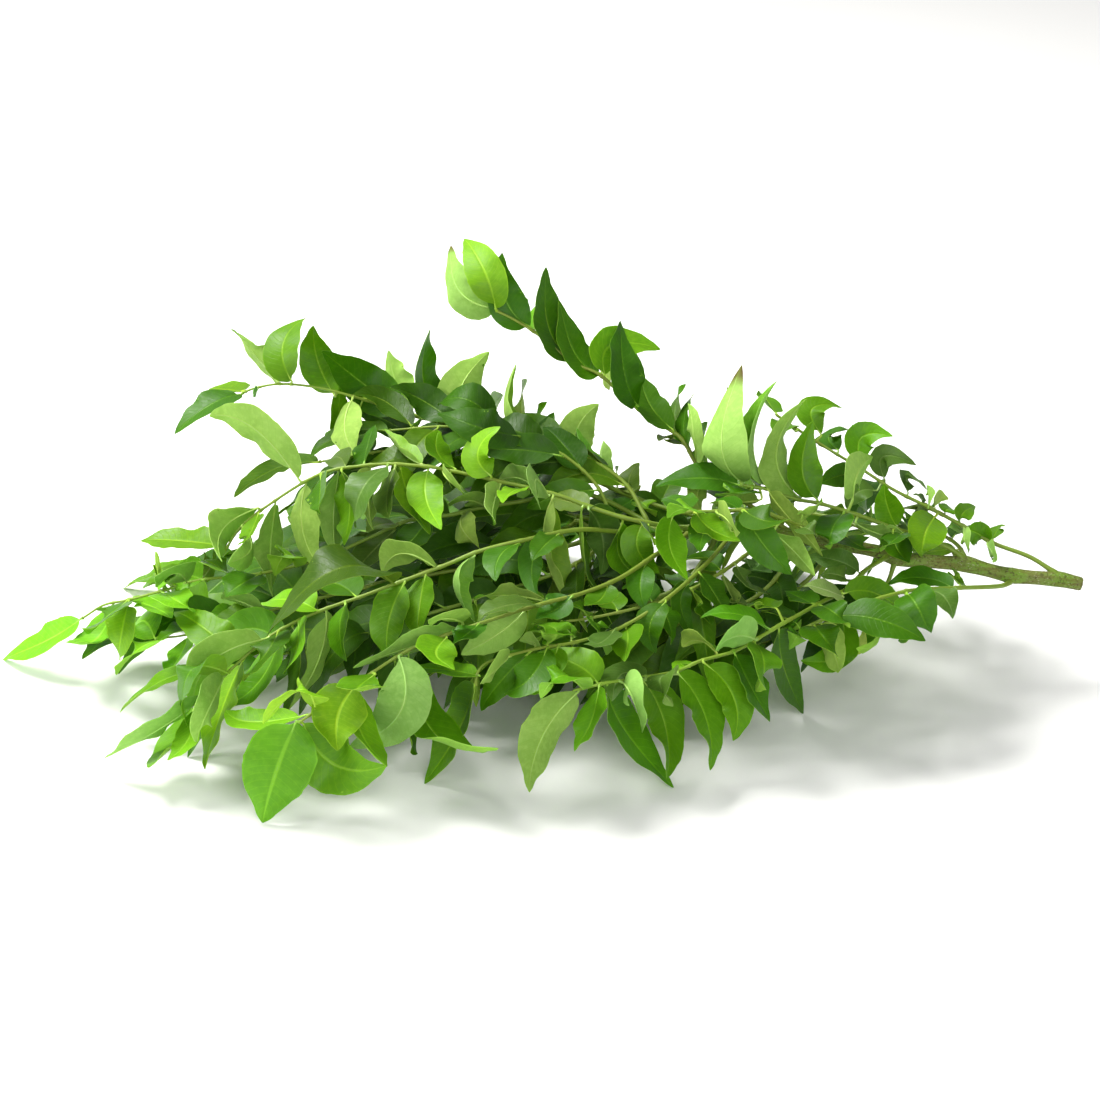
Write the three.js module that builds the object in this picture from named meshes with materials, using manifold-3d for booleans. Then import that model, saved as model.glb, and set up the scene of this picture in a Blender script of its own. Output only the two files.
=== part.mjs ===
// Curry leaf sprig: one cut woody stem carrying pinnate compound leaves.
// Millimetres, +Z up. The sprig lies along X with its cut end at +X, resting on
// the z = 0 surface on the tips of its lower leaflets. The origin is the centre
// of the bounding box, at its base.
import * as THREE from 'three';
import { mergeVertices } from 'three/addons/utils/BufferGeometryUtils.js';
import Module from 'manifold-3d';

const wasm = await Module();
wasm.setup();

// ---- driving dimensions (mm) ----
const BLADE_THICKNESS = 1.0;    // solid over the midrib; the blade tapers to its two edges
const ROOT_RADIUS = 0.6;        // short stalk where it enters the blade; it tapers towards the rachis
const STALK_DEPTH = 0.35;       // how far the stalk's point runs past the rachis axis
const JOIN_GAP = 0.33;          // clearance between a rachis base and the main stem
const DETAIL = 0.12;            // edges finer than this are merged
const STEM_SIDES = 8;
const RACHIS_SIDES = 4;
const NODE_SWELL = 0.45;        // extra stem radius where a leaf is attached
const NODE_REACH = 5.0;         // how far the swelling spreads along the stem
const SHAPE_RISE = 0.55;        // blade half-width ~ t^rise (1 - t)^fall, widest near 0.4
const SHAPE_FALL = 0.85;
const SHAPE_NORM = 2.556;
const SECTIONS = { 2: [0, 0.28, 0.64], 3: [0, 0.2, 0.46, 0.74] };

// Axis of the woody stem from the cut end to its tip: x, y, z, radius.
const MAIN_STEM = [
  [229.94, -3.9, 43.91, 2.9],
  [222.18, -3.89, 45.72, 2.95],
  [214.26, -4.21, 46.64, 2.93],
  [206.34, -4.57, 47.49, 2.92],
  [198.48, -4.94, 48.74, 2.9],
  [190.81, -5.32, 50.9, 2.88],
  [183.21, -5.72, 53.28, 2.86],
  [179.33, -5.91, 54.18, 2.85],
  [167.46, -6.45, 55.45, 2.77],
  [157.57, -6.92, 56.55, 2.7],
  [153.7, -7.14, 57.5, 2.69],
  [142.34, -7.92, 61.15, 2.65],
  [132.67, -8.69, 63.44, 2.6],
  [124.91, -9.32, 65.16, 2.55],
  [111.24, -10.05, 67.87, 2.46],
  [99.42, -10.09, 69.73, 2.35],
  [91.49, -9.79, 70.45, 2.28],
  [83.54, -9.23, 70.79, 2.22],
  [73.61, -8.34, 70.85, 2.13],
  [63.69, -7.45, 70.49, 2.02],
  [53.81, -6.53, 69.56, 1.88],
  [45.94, -5.62, 68.66, 1.75],
  [36.22, -3.99, 67.17, 1.5],
  [26.5, -2.9, 65.24, 1.2],
];

// Compound leaves from the cut end onwards. A leaflet row holds the stalk's start
// on the rachis, the blade's root, its middle and its tip (x, y, z each), the
// normal of the upper side at the middle, the full width, the fold along the
// midrib and the twist from root to tip in degrees, and the section count.
const LEAVES = [
  {
    name: "leaf_01",
    baseRadius: 1.2, tipRadius: 0.55,
    rachis: [
      [220.17, -3.95, 46.31],
      [219.97, -3.9, 48.11],
      [209.07, 1.91, 53.5],
      [192.85, 8.37, 57.66],
      [178.63, 12.97, 64.57],
      [152.35, 22.09, 75.66],
      [138.52, 26.29, 83.57],
      [113.03, 32.59, 97.99],
      [101.89, 36.1, 104.72],
    ],
    leaflets: [
      [192.85, 8.37, 57.66, 191.79, 10.34, 57.48, 186.72, 8.92, 61.64, 182.29, 11.05, 62.52, -0.724, -0.407, 0.557, 10.8, 10, 0, 2],
      [192.85, 8.37, 57.66, 194.16, 11.55, 57.5, 196.62, 18.5, 58.18, 199.41, 18.58, 61.41, -0.333, 0.14, 0.932, 8.57, 10, -13.2, 2],
      [181.22, 12.13, 63.32, 181.24, 8.87, 63.27, 180.58, 0.12, 61.99, 183.35, 2.56, 55.29, 0.955, 0.133, -0.265, 8.59, 10, 12, 2],
      [181.22, 12.13, 63.32, 181.2, 14.83, 59.86, 178.96, 20.53, 58.65, 175.26, 21.66, 58.6, 0.706, 0.407, 0.58, 8.47, 10, -10.4, 2],
      [191.56, 8.79, 58.29, 190.77, 5.65, 57.57, 191.31, -5.62, 59.58, 192.51, -5.07, 54.7, 0.999, 0.048, 0.009, 9.12, 10, 3.4, 2],
      [178.63, 12.97, 64.57, 179.82, 12.94, 65.38, 181.66, 15.57, 68.37, 188.37, 27.54, 65.78, 0.552, -0.295, 0.78, 8.63, 10, 0.3, 2],
      [172.06, 15.25, 67.34, 173.64, 15.69, 67.63, 175.21, 18.41, 68.48, 179.87, 26.95, 63.7, 0.429, 0.154, 0.89, 8.52, 10, -6.3, 2],
      [170.74, 15.7, 67.9, 169.12, 12.76, 67.32, 162.18, -10.78, 70.24, 160.75, -16.28, 62.27, 0.273, -0.348, 0.897, 17.03, 10, 8.1, 2],
      [168.12, 16.62, 69.01, 169.77, 19.54, 68.88, 170.66, 24.06, 70.14, 176.38, 31.82, 67.61, -0.855, 0.411, 0.315, 10.11, 10, 0.3, 2],
      [166.8, 17.07, 69.56, 166.74, 16.46, 71.7, 166.41, 15.21, 75.94, 166.66, 18.83, 78.96, 0.85, -0.093, -0.519, 9.98, 10, 1.4, 2],
      [165.49, 17.53, 70.12, 164.88, 20.9, 69.93, 163.57, 22.38, 72.28, 160.68, 23.56, 73.15, 0.333, 0.216, 0.918, 8.92, 10, -8.3, 2],
      [157.6, 20.27, 73.44, 158.51, 23.58, 74.07, 159.29, 32.33, 76.73, 166.68, 21.87, 76.69, 0.687, -0.216, 0.693, 10.52, 10, -0.5, 2],
      [166.8, 17.07, 69.56, 166.22, 20.44, 66.17, 161.82, 26.48, 64.85, 155.35, 18.99, 68.22, -0.42, 0.118, 0.9, 9.68, 10, 2.6, 2],
      [147.32, 23.62, 78.53, 148.41, 26.92, 79.1, 147.99, 27.24, 89.14, 161.8, 24.3, 86.26, 0.243, -0.829, 0.504, 10.8, 10, 8.5, 2],
      [147.32, 23.62, 78.53, 144.12, 20.51, 75.9, 136.55, 16.96, 77.01, 131.41, 13.39, 71.2, 0.392, -0.259, 0.883, 11.67, 10, -10.4, 2],
      [137.25, 26.6, 84.29, 138.62, 29.53, 84.92, 139.43, 37.7, 93.45, 152.08, 33.14, 95.84, 0.225, -0.758, 0.612, 13.74, 10, -6.2, 2],
      [138.52, 26.29, 83.57, 137.22, 26.75, 81.96, 128.42, 22.95, 81.77, 119.63, 13.8, 82.56, 0.605, -0.632, 0.485, 10.8, 10, 11.1, 2],
      [128.33, 28.81, 89.34, 128.87, 32.06, 89.84, 126.08, 45.15, 90.3, 133.56, 40.07, 96.16, -0.325, 0.035, 0.945, 12, 10, -9.9, 2],
      [119.4, 31.02, 94.38, 121.45, 32.97, 96.84, 117.81, 39.4, 105.65, 131.66, 46.51, 104.11, -0.028, -0.365, 0.931, 13, 10, -8.3, 2],
      [111.79, 32.98, 98.74, 110.18, 30.82, 99.19, 105.63, 27.96, 103.07, 100.37, 12.52, 104.11, 0.155, 0.228, 0.961, 13.13, 10, -7.9, 2],
      [103.13, 35.71, 103.97, 102.39, 37.31, 104.64, 99.64, 47.71, 105.46, 97.78, 59.22, 105.4, 0.47, 0.081, 0.879, 12.49, 10, -8.4, 2],
    ],
  },
  {
    name: "leaf_02",
    baseRadius: 1.2, tipRadius: 0.7,
    rachis: [
      [200.43, -5.01, 48.12],
      [200.45, -5.9, 46.73],
      [198.05, -9.69, 46.86],
      [191.98, -16.04, 48.58],
      [169.67, -34.31, 56.55],
      [157.41, -42.21, 59.88],
      [148.46, -47.53, 60.98],
      [140.51, -51.66, 60.7],
      [133.62, -54.27, 59.42],
      [125.28, -56.42, 56.92],
      [107.38, -59.9, 50.17],
    ],
    leaflets: [
      [173.02, -31.57, 55.36, 171.91, -30.54, 54.98, 160.33, -23.13, 55.89, 145.7, -25.26, 54.61, -0.184, -0.177, 0.967, 13.13, 10, -12.9, 2],
      [175.25, -29.74, 54.56, 175.61, -26.8, 54.74, 174.98, -16.16, 52.56, 175.33, -17.96, 57.56, 0.575, 0.04, 0.817, 9.72, 10, -2.7, 2],
      [159.86, -40.63, 59.21, 160.58, -43.49, 59.51, 165.51, -54.38, 62.3, 169.5, -58.48, 54.42, -0.025, -0.123, 0.992, 12.71, 10, 9.7, 2],
      [151.02, -46.01, 60.66, 151.42, -49.2, 60.97, 153.6, -63.59, 62.75, 159.52, -63.2, 50.01, -0.414, -0.366, 0.834, 17.67, 10, 1.3, 2],
      [161.09, -39.84, 58.88, 161.49, -41.49, 58.32, 157.08, -39.13, 53.54, 150.9, -47.24, 53.86, -0.086, 0.233, 0.969, 13.53, 10, 5.4, 2],
      [121.15, -57.23, 55.37, 122.17, -60.03, 56.48, 138.42, -68.89, 59.11, 156.78, -72.73, 51.65, 0.014, -0.53, 0.848, 17.42, 10, 12, 2],
      [151.02, -46.01, 60.66, 150.69, -47.81, 60.11, 153.08, -56.21, 48.33, 147.48, -57.34, 44.37, -0.874, -0.116, 0.472, 12.87, 10, 3.5, 2],
      [140.51, -51.66, 60.7, 139.87, -50.9, 59.01, 137.91, -48.28, 41.65, 126.05, -58.93, 39.73, -0.72, 0.675, 0.161, 13.28, 10, -1.6, 2],
      [135, -53.75, 59.68, 134.37, -56.9, 59.75, 138.48, -64.99, 48.21, 128.62, -75.46, 49.89, -0.878, 0.051, 0.476, 14.96, 10, 11.1, 2],
      [125.28, -56.42, 56.92, 124.4, -56, 55.56, 123.09, -60.64, 39.23, 108.01, -62.45, 37.88, -0.289, -0.569, 0.77, 15.31, 10, -13, 2],
      [115.64, -58.3, 53.29, 116.09, -57.79, 51.79, 120.22, -68.04, 45.24, 122.36, -78.41, 40.19, 0.836, 0.402, -0.372, 14.75, 10, -9.4, 2],
      [112.88, -58.83, 52.25, 113.48, -60.92, 52.21, 114.69, -77.07, 56.05, 121.89, -80.23, 48.28, -0.044, -0.033, 0.998, 16.41, 10, -10, 2],
      [107.38, -59.9, 50.17, 106.45, -63.07, 50.37, 105.5, -68.46, 51.74, 103.38, -62.47, 43.33, 0.423, 0.012, 0.906, 9.14, 10, -4, 2],
      [108.75, -59.64, 50.69, 107.31, -60.21, 50.68, 104.12, -58.89, 53.27, 101.65, -56.45, 47.09, -0.722, 0.297, 0.625, 11.31, 10, 10.4, 2],
    ],
  },
  {
    name: "leaf_03",
    baseRadius: 1.1, tipRadius: 0.55,
    rachis: [
      [183.2, -5.6, 52.94],
      [183.12, -4.9, 51],
      [180.48, 9.53, 53.7],
      [177.63, 17.99, 53.86],
      [171.77, 29.92, 52.08],
      [165.13, 39.39, 49.2],
      [156.56, 48.77, 44.88],
      [147.37, 57.05, 39.65],
      [132.34, 68.06, 30.2],
      [117.12, 78.1, 20],
    ],
    leaflets: [
      [180.48, 9.53, 53.7, 178.29, 9.53, 53.53, 167.06, 9.53, 52.44, 156.97, 11.27, 47.63, 0.568, -0.149, 0.81, 10.33, 11, 3.7, 2],
      [176.98, 19.31, 53.67, 178.56, 23.17, 52.85, 187.27, 38.58, 51.34, 191.39, 37.72, 42.96, -0.059, 0.415, 0.908, 12.49, 8.3, -13.5, 2],
      [173.07, 27.27, 52.48, 171.26, 28.21, 52.08, 156.7, 29.78, 51.31, 143.04, 32.91, 30.16, 0.01, -0.132, 0.991, 14.02, 6.5, -16.7, 2],
      [168.45, 34.65, 50.64, 168.89, 36.49, 49.72, 170.76, 47.91, 43.81, 171.16, 59.61, 23.44, -0.126, 0.59, 0.797, 11.38, 9.4, -9.2, 2],
      [163.22, 41.48, 48.24, 161.48, 44.3, 47.54, 145.32, 45.68, 50.83, 129.66, 46.8, 40.93, -0.089, 0.22, 0.971, 13.95, 11.1, 9.2, 2],
      [157.51, 47.73, 45.36, 158.7, 49.85, 44.3, 166.52, 61.66, 38.86, 171.42, 71.97, 14.23, 0.306, 0.354, 0.884, 13, 12.9, -9.3, 2],
      [151.45, 53.37, 41.97, 149.7, 54.89, 40.62, 135.86, 54.7, 36.12, 122.22, 54.84, 10.86, -0.094, 0.434, 0.896, 12.36, 11.8, -11.6, 2],
      [146.3, 57.84, 38.98, 145.53, 60.89, 38.2, 140.28, 83.44, 33.7, 132.54, 90.12, 19.6, -0.074, 0.236, 0.969, 12.63, 16, -15.9, 2],
      [139.86, 62.55, 34.93, 138.32, 64.79, 32.82, 123.57, 64.77, 24.69, 107.34, 48.08, 8.83, -0.71, -0.049, 0.703, 15.73, 8.6, -5.5, 2],
      [133.42, 67.27, 30.88, 133.23, 71.11, 28.81, 129.9, 81.71, 22.46, 123.05, 69.57, 13.78, -0.022, 0.704, 0.71, 13.4, 11.1, -5.3, 2],
      [126.91, 71.64, 26.56, 124.95, 73.77, 25.24, 108.32, 79.8, 21.64, 90.85, 71.43, 6.7, -0.62, -0.249, 0.744, 14.17, 12.2, 5.4, 2],
      [120.38, 75.94, 22.19, 119.38, 79.67, 20.61, 111.2, 98.73, 13.71, 100.61, 94.98, 5.66, -0.639, -0.024, 0.769, 13.85, 12.3, -5.9, 2],
      [117.12, 78.1, 20, 115.86, 76.83, 20.2, 104.09, 82.82, 13.18, 93.88, 93.4, 0, 0.064, -0.235, 0.97, 13.76, 10, 0, 2],
    ],
  },
  {
    name: "leaf_04",
    baseRadius: 1.3, tipRadius: 0.7,
    rachis: [
      [179.46, -5.91, 54.46],
      [180.19, -5.9, 56.01],
      [175.55, -4.59, 59.54],
      [167.46, -3.4, 63.16],
      [144.88, -1.41, 70.72],
      [122.27, -0.01, 78.34],
      [107.72, 0.1, 81.66],
      [96.64, 0.1, 86.01],
      [86.33, 0.1, 87.68],
    ],
    leaflets: [
      [134.99, -0.8, 74.06, 134.12, -3.29, 71.85, 146.93, 0.55, 64.57, 161.49, -10.8, 67.5, 0.44, 0.687, 0.579, 15.7, 10, -0.9, 2],
      [150.52, -1.91, 68.83, 149.5, -5.39, 68.68, 150.36, -14.96, 65.31, 153.94, -28.24, 65.61, 0.069, -0.051, 0.996, 13.62, 10, 5.5, 2],
      [154.76, -2.28, 67.41, 153.03, -6.43, 68.3, 147.09, -26.85, 74.48, 142.2, -24.64, 69.37, -0.067, 0.186, 0.98, 11.65, 10, -13.5, 2],
      [151.94, -2.03, 68.36, 151.8, 1.22, 68.29, 147.77, 1.86, 76.39, 145.5, 0.91, 87.78, -0.257, -0.483, 0.837, 12.76, 10, 13.9, 2],
      [157.58, -2.53, 66.47, 157.46, 0.72, 66.45, 157.26, 11.95, 66.29, 155.78, 8.53, 72.01, 0.717, 0.005, 0.697, 10.84, 10, 5.3, 2],
      [140.64, -1.15, 72.15, 140.04, 2.07, 72.05, 139.57, 6.47, 72.94, 135.57, -1.78, 80.31, 0.985, 0.122, 0.12, 9.72, 10, -13, 2],
      [130.75, -0.53, 75.49, 132.68, -0.51, 82.49, 134.13, 1.52, 92.05, 142.24, 24.94, 89.67, -0.886, 0.394, -0.245, 17.67, 10, 2.5, 3],
      [129.34, -0.45, 75.96, 128.6, -3.61, 76.05, 122.16, -27.9, 80.82, 120.53, -31.26, 73.36, -0.164, -0.082, 0.983, 16.43, 10, -5.1, 2],
      [133.58, -0.71, 74.53, 130.13, -3.87, 66.14, 134.61, -18.09, 68.14, 142.97, -11.26, 62.21, -0.089, 0.143, 0.986, 15.27, 10, -9.2, 2],
      [117.91, 0.02, 79.34, 117.88, 1.15, 80.67, 111.69, 7.55, 92.16, 116.34, 16.5, 109.68, 0.302, -0.842, 0.447, 16.69, 20, 9.5, 2],
      [119.36, 0.01, 79.01, 117.7, -3.09, 80.19, 113.71, -23.81, 85.7, 107.37, -25.88, 87.09, -0.666, 0.476, 0.575, 12.39, 10, -10.4, 2],
      [109.18, 0.09, 81.33, 109.52, 3.3, 81.42, 100.4, 4.92, 100.55, 111.43, -1.71, 127.93, -0.804, 0.587, -0.098, 20.67, 10, -8.5, 3],
      [110.64, 0.07, 81, 109.34, 2.21, 80.15, 107.12, 11.85, 74.67, 102.68, 20.12, 72.36, -0.293, 0.301, 0.908, 10.72, 10, 2.8, 2],
      [96.64, 0.1, 86.01, 97.31, -4.73, 86.99, 105.1, -12.28, 78.7, 119.58, -23.5, 66.31, 0.803, 0.588, 0.099, 13.77, 10, -13.2, 3],
      [96.64, 0.1, 86.01, 96.94, 3.3, 86.18, 90.34, 0.08, 108.02, 99.51, 6.23, 132.24, -0.922, -0.352, 0.163, 14.5, 42, -8.7, 3],
      [93.69, 0.1, 86.49, 93.88, -1.66, 81.63, 83.28, -4.98, 82.2, 72.06, -12.61, 85.17, -0.379, 0.566, 0.732, 16.88, 10, -13.5, 2],
      [90.75, 0.1, 86.96, 90.32, -3.11, 86.83, 82.21, -19.81, 92.88, 74.78, -14.33, 89.1, 0.162, 0.224, 0.961, 16.29, 10, 6.4, 2],
      [92.22, 0.1, 86.73, 91.86, 3.3, 86.67, 87.41, 27.93, 89.3, 83.72, 28.13, 101.63, 0.835, -0.046, 0.549, 18.04, 10, 9.9, 3],
      [86.33, 0.1, 87.68, 86.23, -0.71, 89.63, 77.13, -6.51, 110.82, 86.91, 23.49, 131.59, 0.625, 0.755, -0.2, 22.92, 10, -5.2, 3],
      [86.33, 0.1, 87.68, 85.05, 2.8, 86.49, 69.07, 5.6, 88.45, 50.33, 5.85, 85.14, -0.327, -0.366, 0.871, 15.34, 10, 13.4, 2],
      [86.33, 0.1, 87.68, 83.31, 3.31, 98.53, 82.31, 19.53, 106.6, 80.23, 19.87, 124.07, 0.974, 0.193, -0.12, 19.33, 10, -4.5, 3],
      [89.27, 0.1, 87.2, 88.27, 0.9, 85.64, 86.6, 2.24, 81.72, 83.74, 2.51, 79.77, -0.363, 0.26, 0.895, 9.52, 10, -5.2, 2],
    ],
  },
  {
    name: "leaf_05",
    baseRadius: 1.2, tipRadius: 0.55,
    rachis: [
      [155.4, -6.71, 56.68],
      [154.12, -4.9, 55],
      [147.36, 6.13, 58.89],
      [143.06, 12.18, 60],
      [130.56, 27.14, 59.38],
      [121.37, 36.88, 57.58],
      [111.92, 46.14, 54.79],
      [101.02, 55.77, 51.01],
      [90.68, 63.66, 47.35],
      [78.77, 71.69, 42.95],
      [65.22, 79.7, 37.93],
      [39.34, 91.61, 28.43],
      [24.6, 97.04, 23.31],
      [8.13, 102.09, 18],
      [-18.88, 108.1, 11],
    ],
    leaflets: [
      [142.1, 13.32, 59.96, 140.24, 14, 58.95, 125, 8.88, 57.08, 110.11, 4.41, 45.33, 0.265, 0.459, 0.848, 14.02, 16.3, 13.6, 2],
      [134.4, 22.53, 59.57, 135.46, 24.43, 60.68, 143.26, 39.02, 68.87, 148.11, 53.73, 64.95, -0.071, -0.042, 0.997, 15.71, 13.6, -4.3, 2],
      [128.51, 29.3, 58.98, 126.67, 28.61, 58.2, 111.32, 22.59, 50.65, 96.2, 19.49, 27.34, -0.112, -0.276, 0.955, 15.05, 15.9, 10.8, 2],
      [121.37, 36.88, 57.58, 122.05, 38.69, 56.54, 127.94, 55.61, 47.94, 129.4, 56.21, 28.22, 0.022, 0.457, 0.889, 16.69, 16.6, 9.2, 2],
      [115.07, 43.06, 55.72, 112.96, 42.42, 55.43, 96.37, 35.33, 55.1, 80.15, 28.51, 35.26, 0.407, 0.366, 0.837, 14.31, 7.2, -5.3, 2],
      [108.65, 49.03, 53.65, 108.72, 52.98, 51.63, 106.54, 56.29, 49.36, 103.51, 71.46, 18.32, -0.221, 0.528, 0.82, 15.18, 16.4, 5.3, 2],
      [101.02, 55.77, 51.01, 99.23, 53.29, 50.76, 85.12, 45.77, 45.03, 70.64, 39.3, 23.33, -0.267, -0.337, 0.903, 15.3, 6.6, -2.3, 2],
      [92.98, 61.9, 48.17, 92.43, 64.06, 47.87, 86.89, 85.61, 47.04, 79.52, 107.31, 16.22, -0.359, -0.299, 0.884, 18.88, 10.9, 9.8, 3],
      [84.72, 67.67, 45.15, 82.97, 65.77, 44.62, 66.38, 57.04, 35.47, 49.7, 57.96, 14.8, -0.252, -0.451, 0.857, 19.05, 8.5, -11.4, 3],
      [76.31, 73.15, 42.04, 75.65, 76.39, 40.02, 68.19, 87.36, 29.74, 58.71, 87.14, 10.71, 0.287, 0.401, 0.87, 16.95, 14.7, 4.4, 2],
      [68.91, 77.52, 39.3, 66.89, 76.83, 39.16, 45.93, 68.55, 39.74, 24.84, 53.02, 23.06, -0.319, -0.35, 0.881, 18.97, 8.7, -14.4, 3],
      [61.34, 81.49, 36.51, 61.8, 85.59, 34.53, 64.91, 109.94, 20.28, 63.38, 107.43, 7.85, 0.009, 0.058, 0.998, 20.67, 6.1, -13.9, 3],
      [52.28, 85.65, 33.18, 50.29, 86.74, 32.61, 29.6, 88.6, 33.5, 8.9, 84.5, 17, -0.104, -0.343, 0.934, 18.39, 17.1, -14.7, 3],
      [44.51, 89.23, 30.33, 43.55, 93.12, 28.83, 33.07, 108.6, 22.38, 21.19, 121.59, 2.1, -0.343, -0.429, 0.836, 17.79, 16.9, 0.6, 3],
      [35.32, 93.09, 27.03, 33.2, 95.05, 26.18, 10.93, 92.87, 27.15, -11.19, 80.75, 23.45, -0.349, -0.461, 0.816, 18.6, 15, -4.9, 3],
      [27.28, 96.05, 24.24, 25.7, 99.55, 22.98, 9.34, 111.93, 23.24, -7.68, 107.27, 9.63, -0.187, -0.391, 0.901, 18.07, 11.3, -4.6, 3],
      [17.73, 99.15, 21.1, 15.61, 97.03, 22.29, -5.06, 98.07, 25.17, -25.94, 97.99, 13.43, -0.563, -0.331, 0.757, 18.41, 10.2, 3.1, 3],
      [9.5, 101.67, 18.44, 7.87, 105.08, 17.04, -7.36, 122.97, 9.88, -23.01, 114.62, 7.21, -0.495, -0.385, 0.779, 18.27, 6.7, -7.9, 2],
      [-0.4, 103.99, 15.79, -1.72, 102.49, 14.75, -16.13, 89.06, 4.55, -31.94, 79.85, 1.2, -0.199, -0.444, 0.874, 19.33, 14.6, 10.4, 3],
      [-8.93, 105.88, 13.58, -10.29, 106.9, 13.82, -24.14, 121.73, 17.45, -39.4, 138.62, 1.2, -0.385, -0.33, 0.862, 18.59, 16.4, -15.8, 3],
      [-18.88, 108.1, 11, -20.31, 108.79, 10.46, -39.15, 108.58, 7.63, -56.09, 110.22, 2.76, 0.14, -0.071, 0.988, 17.2, 10, 0, 2],
    ],
  },
  {
    name: "leaf_06",
    baseRadius: 1.1, tipRadius: 0.55,
    rachis: [
      [151.71, -7.36, 58.1],
      [151.12, -7.9, 58],
      [147.58, -13.87, 50.12],
      [145.1, -15.91, 46.98],
      [139.38, -17.98, 42.61],
      [128.98, -19.93, 36.94],
      [116.45, -21.19, 32.06],
      [89.29, -23.34, 23.58],
      [57.12, -26.9, 17],
    ],
    leaflets: [
      [145.93, -15.24, 48.02, 146.83, -16.92, 46.69, 149.61, -22.63, 42.08, 151.26, -28.07, 34.37, -0.576, -0.339, 0.744, 7.03, 17.1, -8.7, 2],
      [138.08, -18.22, 41.9, 136.48, -15.91, 40.32, 121.79, -13.25, 37.79, 106.14, -21.21, 23.86, -0.607, -0.568, 0.557, 15.65, 9.1, -3, 2],
      [130.28, -19.68, 37.64, 128.98, -23.48, 38, 119.95, -34.78, 30.89, 109.65, -43.76, 22.74, -0.189, 0.272, 0.943, 16.5, 17.6, -12.5, 2],
      [122.02, -20.63, 34.23, 121.26, -16.83, 33.23, 111.9, 4.06, 32.45, 99.05, 0.31, 40.79, -0.548, 0.182, 0.817, 18.87, 16.3, 6.8, 3],
      [113.59, -21.42, 31.17, 111.5, -25.01, 32.24, 94.91, -22.45, 24.3, 76.88, -25.1, 8.76, -0.49, -0.067, 0.869, 16.23, 15.4, 1.7, 3],
      [103.58, -22.21, 28.05, 102.22, -18.5, 27.15, 86.27, 1.4, 28.26, 68.22, 3.41, 20.29, -0.333, -0.391, 0.858, 17.4, 8, 1.6, 3],
      [95.01, -22.88, 25.37, 93.64, -27.75, 26.9, 81.85, -44.79, 28.11, 69.2, -42.88, 1.39, -0.232, -0.209, 0.95, 18.76, 10.9, 5.3, 3],
      [86.37, -23.66, 22.98, 84.65, -20.65, 21.11, 66.52, -15.92, 15.7, 47.16, -30.52, 13.52, -0.044, -0.225, 0.973, 18.76, 15.1, 11.3, 3],
      [77.6, -24.63, 21.19, 75.66, -27.49, 21.74, 56.31, -37.75, 22.5, 36.18, -45.11, 13.29, 0.124, -0.497, 0.859, 18.49, 16.3, -3, 3],
      [67.36, -25.77, 19.09, 65.53, -25.88, 19.83, 48.13, -7.54, 21.11, 29.25, -10.66, 13.65, -0.105, -0.445, 0.889, 18.32, 17.8, 0.4, 3],
      [57.12, -26.9, 17, 55.57, -29.03, 17.73, 36.05, -32.34, 14.63, 18.54, -31.44, 1.2, 0.06, -0.172, 0.983, 17.2, 10, 0, 2],
    ],
  },
  {
    name: "leaf_07",
    baseRadius: 1.2, tipRadius: 0.6,
    rachis: [
      [147.96, -7.87, 59.49],
      [147.38, -9.9, 59.74],
      [136.67, -24.28, 59.9],
      [126.34, -40.66, 58.43],
      [114.02, -53.66, 58.28],
      [105.09, -61.49, 56.97],
      [92.02, -70.83, 53.5],
      [82.22, -76.85, 50.25],
      [65.89, -83.95, 48.36],
      [56.84, -88.84, 46.5],
      [27.6, -100.21, 46.83],
      [15.03, -104.9, 45.92],
    ],
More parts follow.
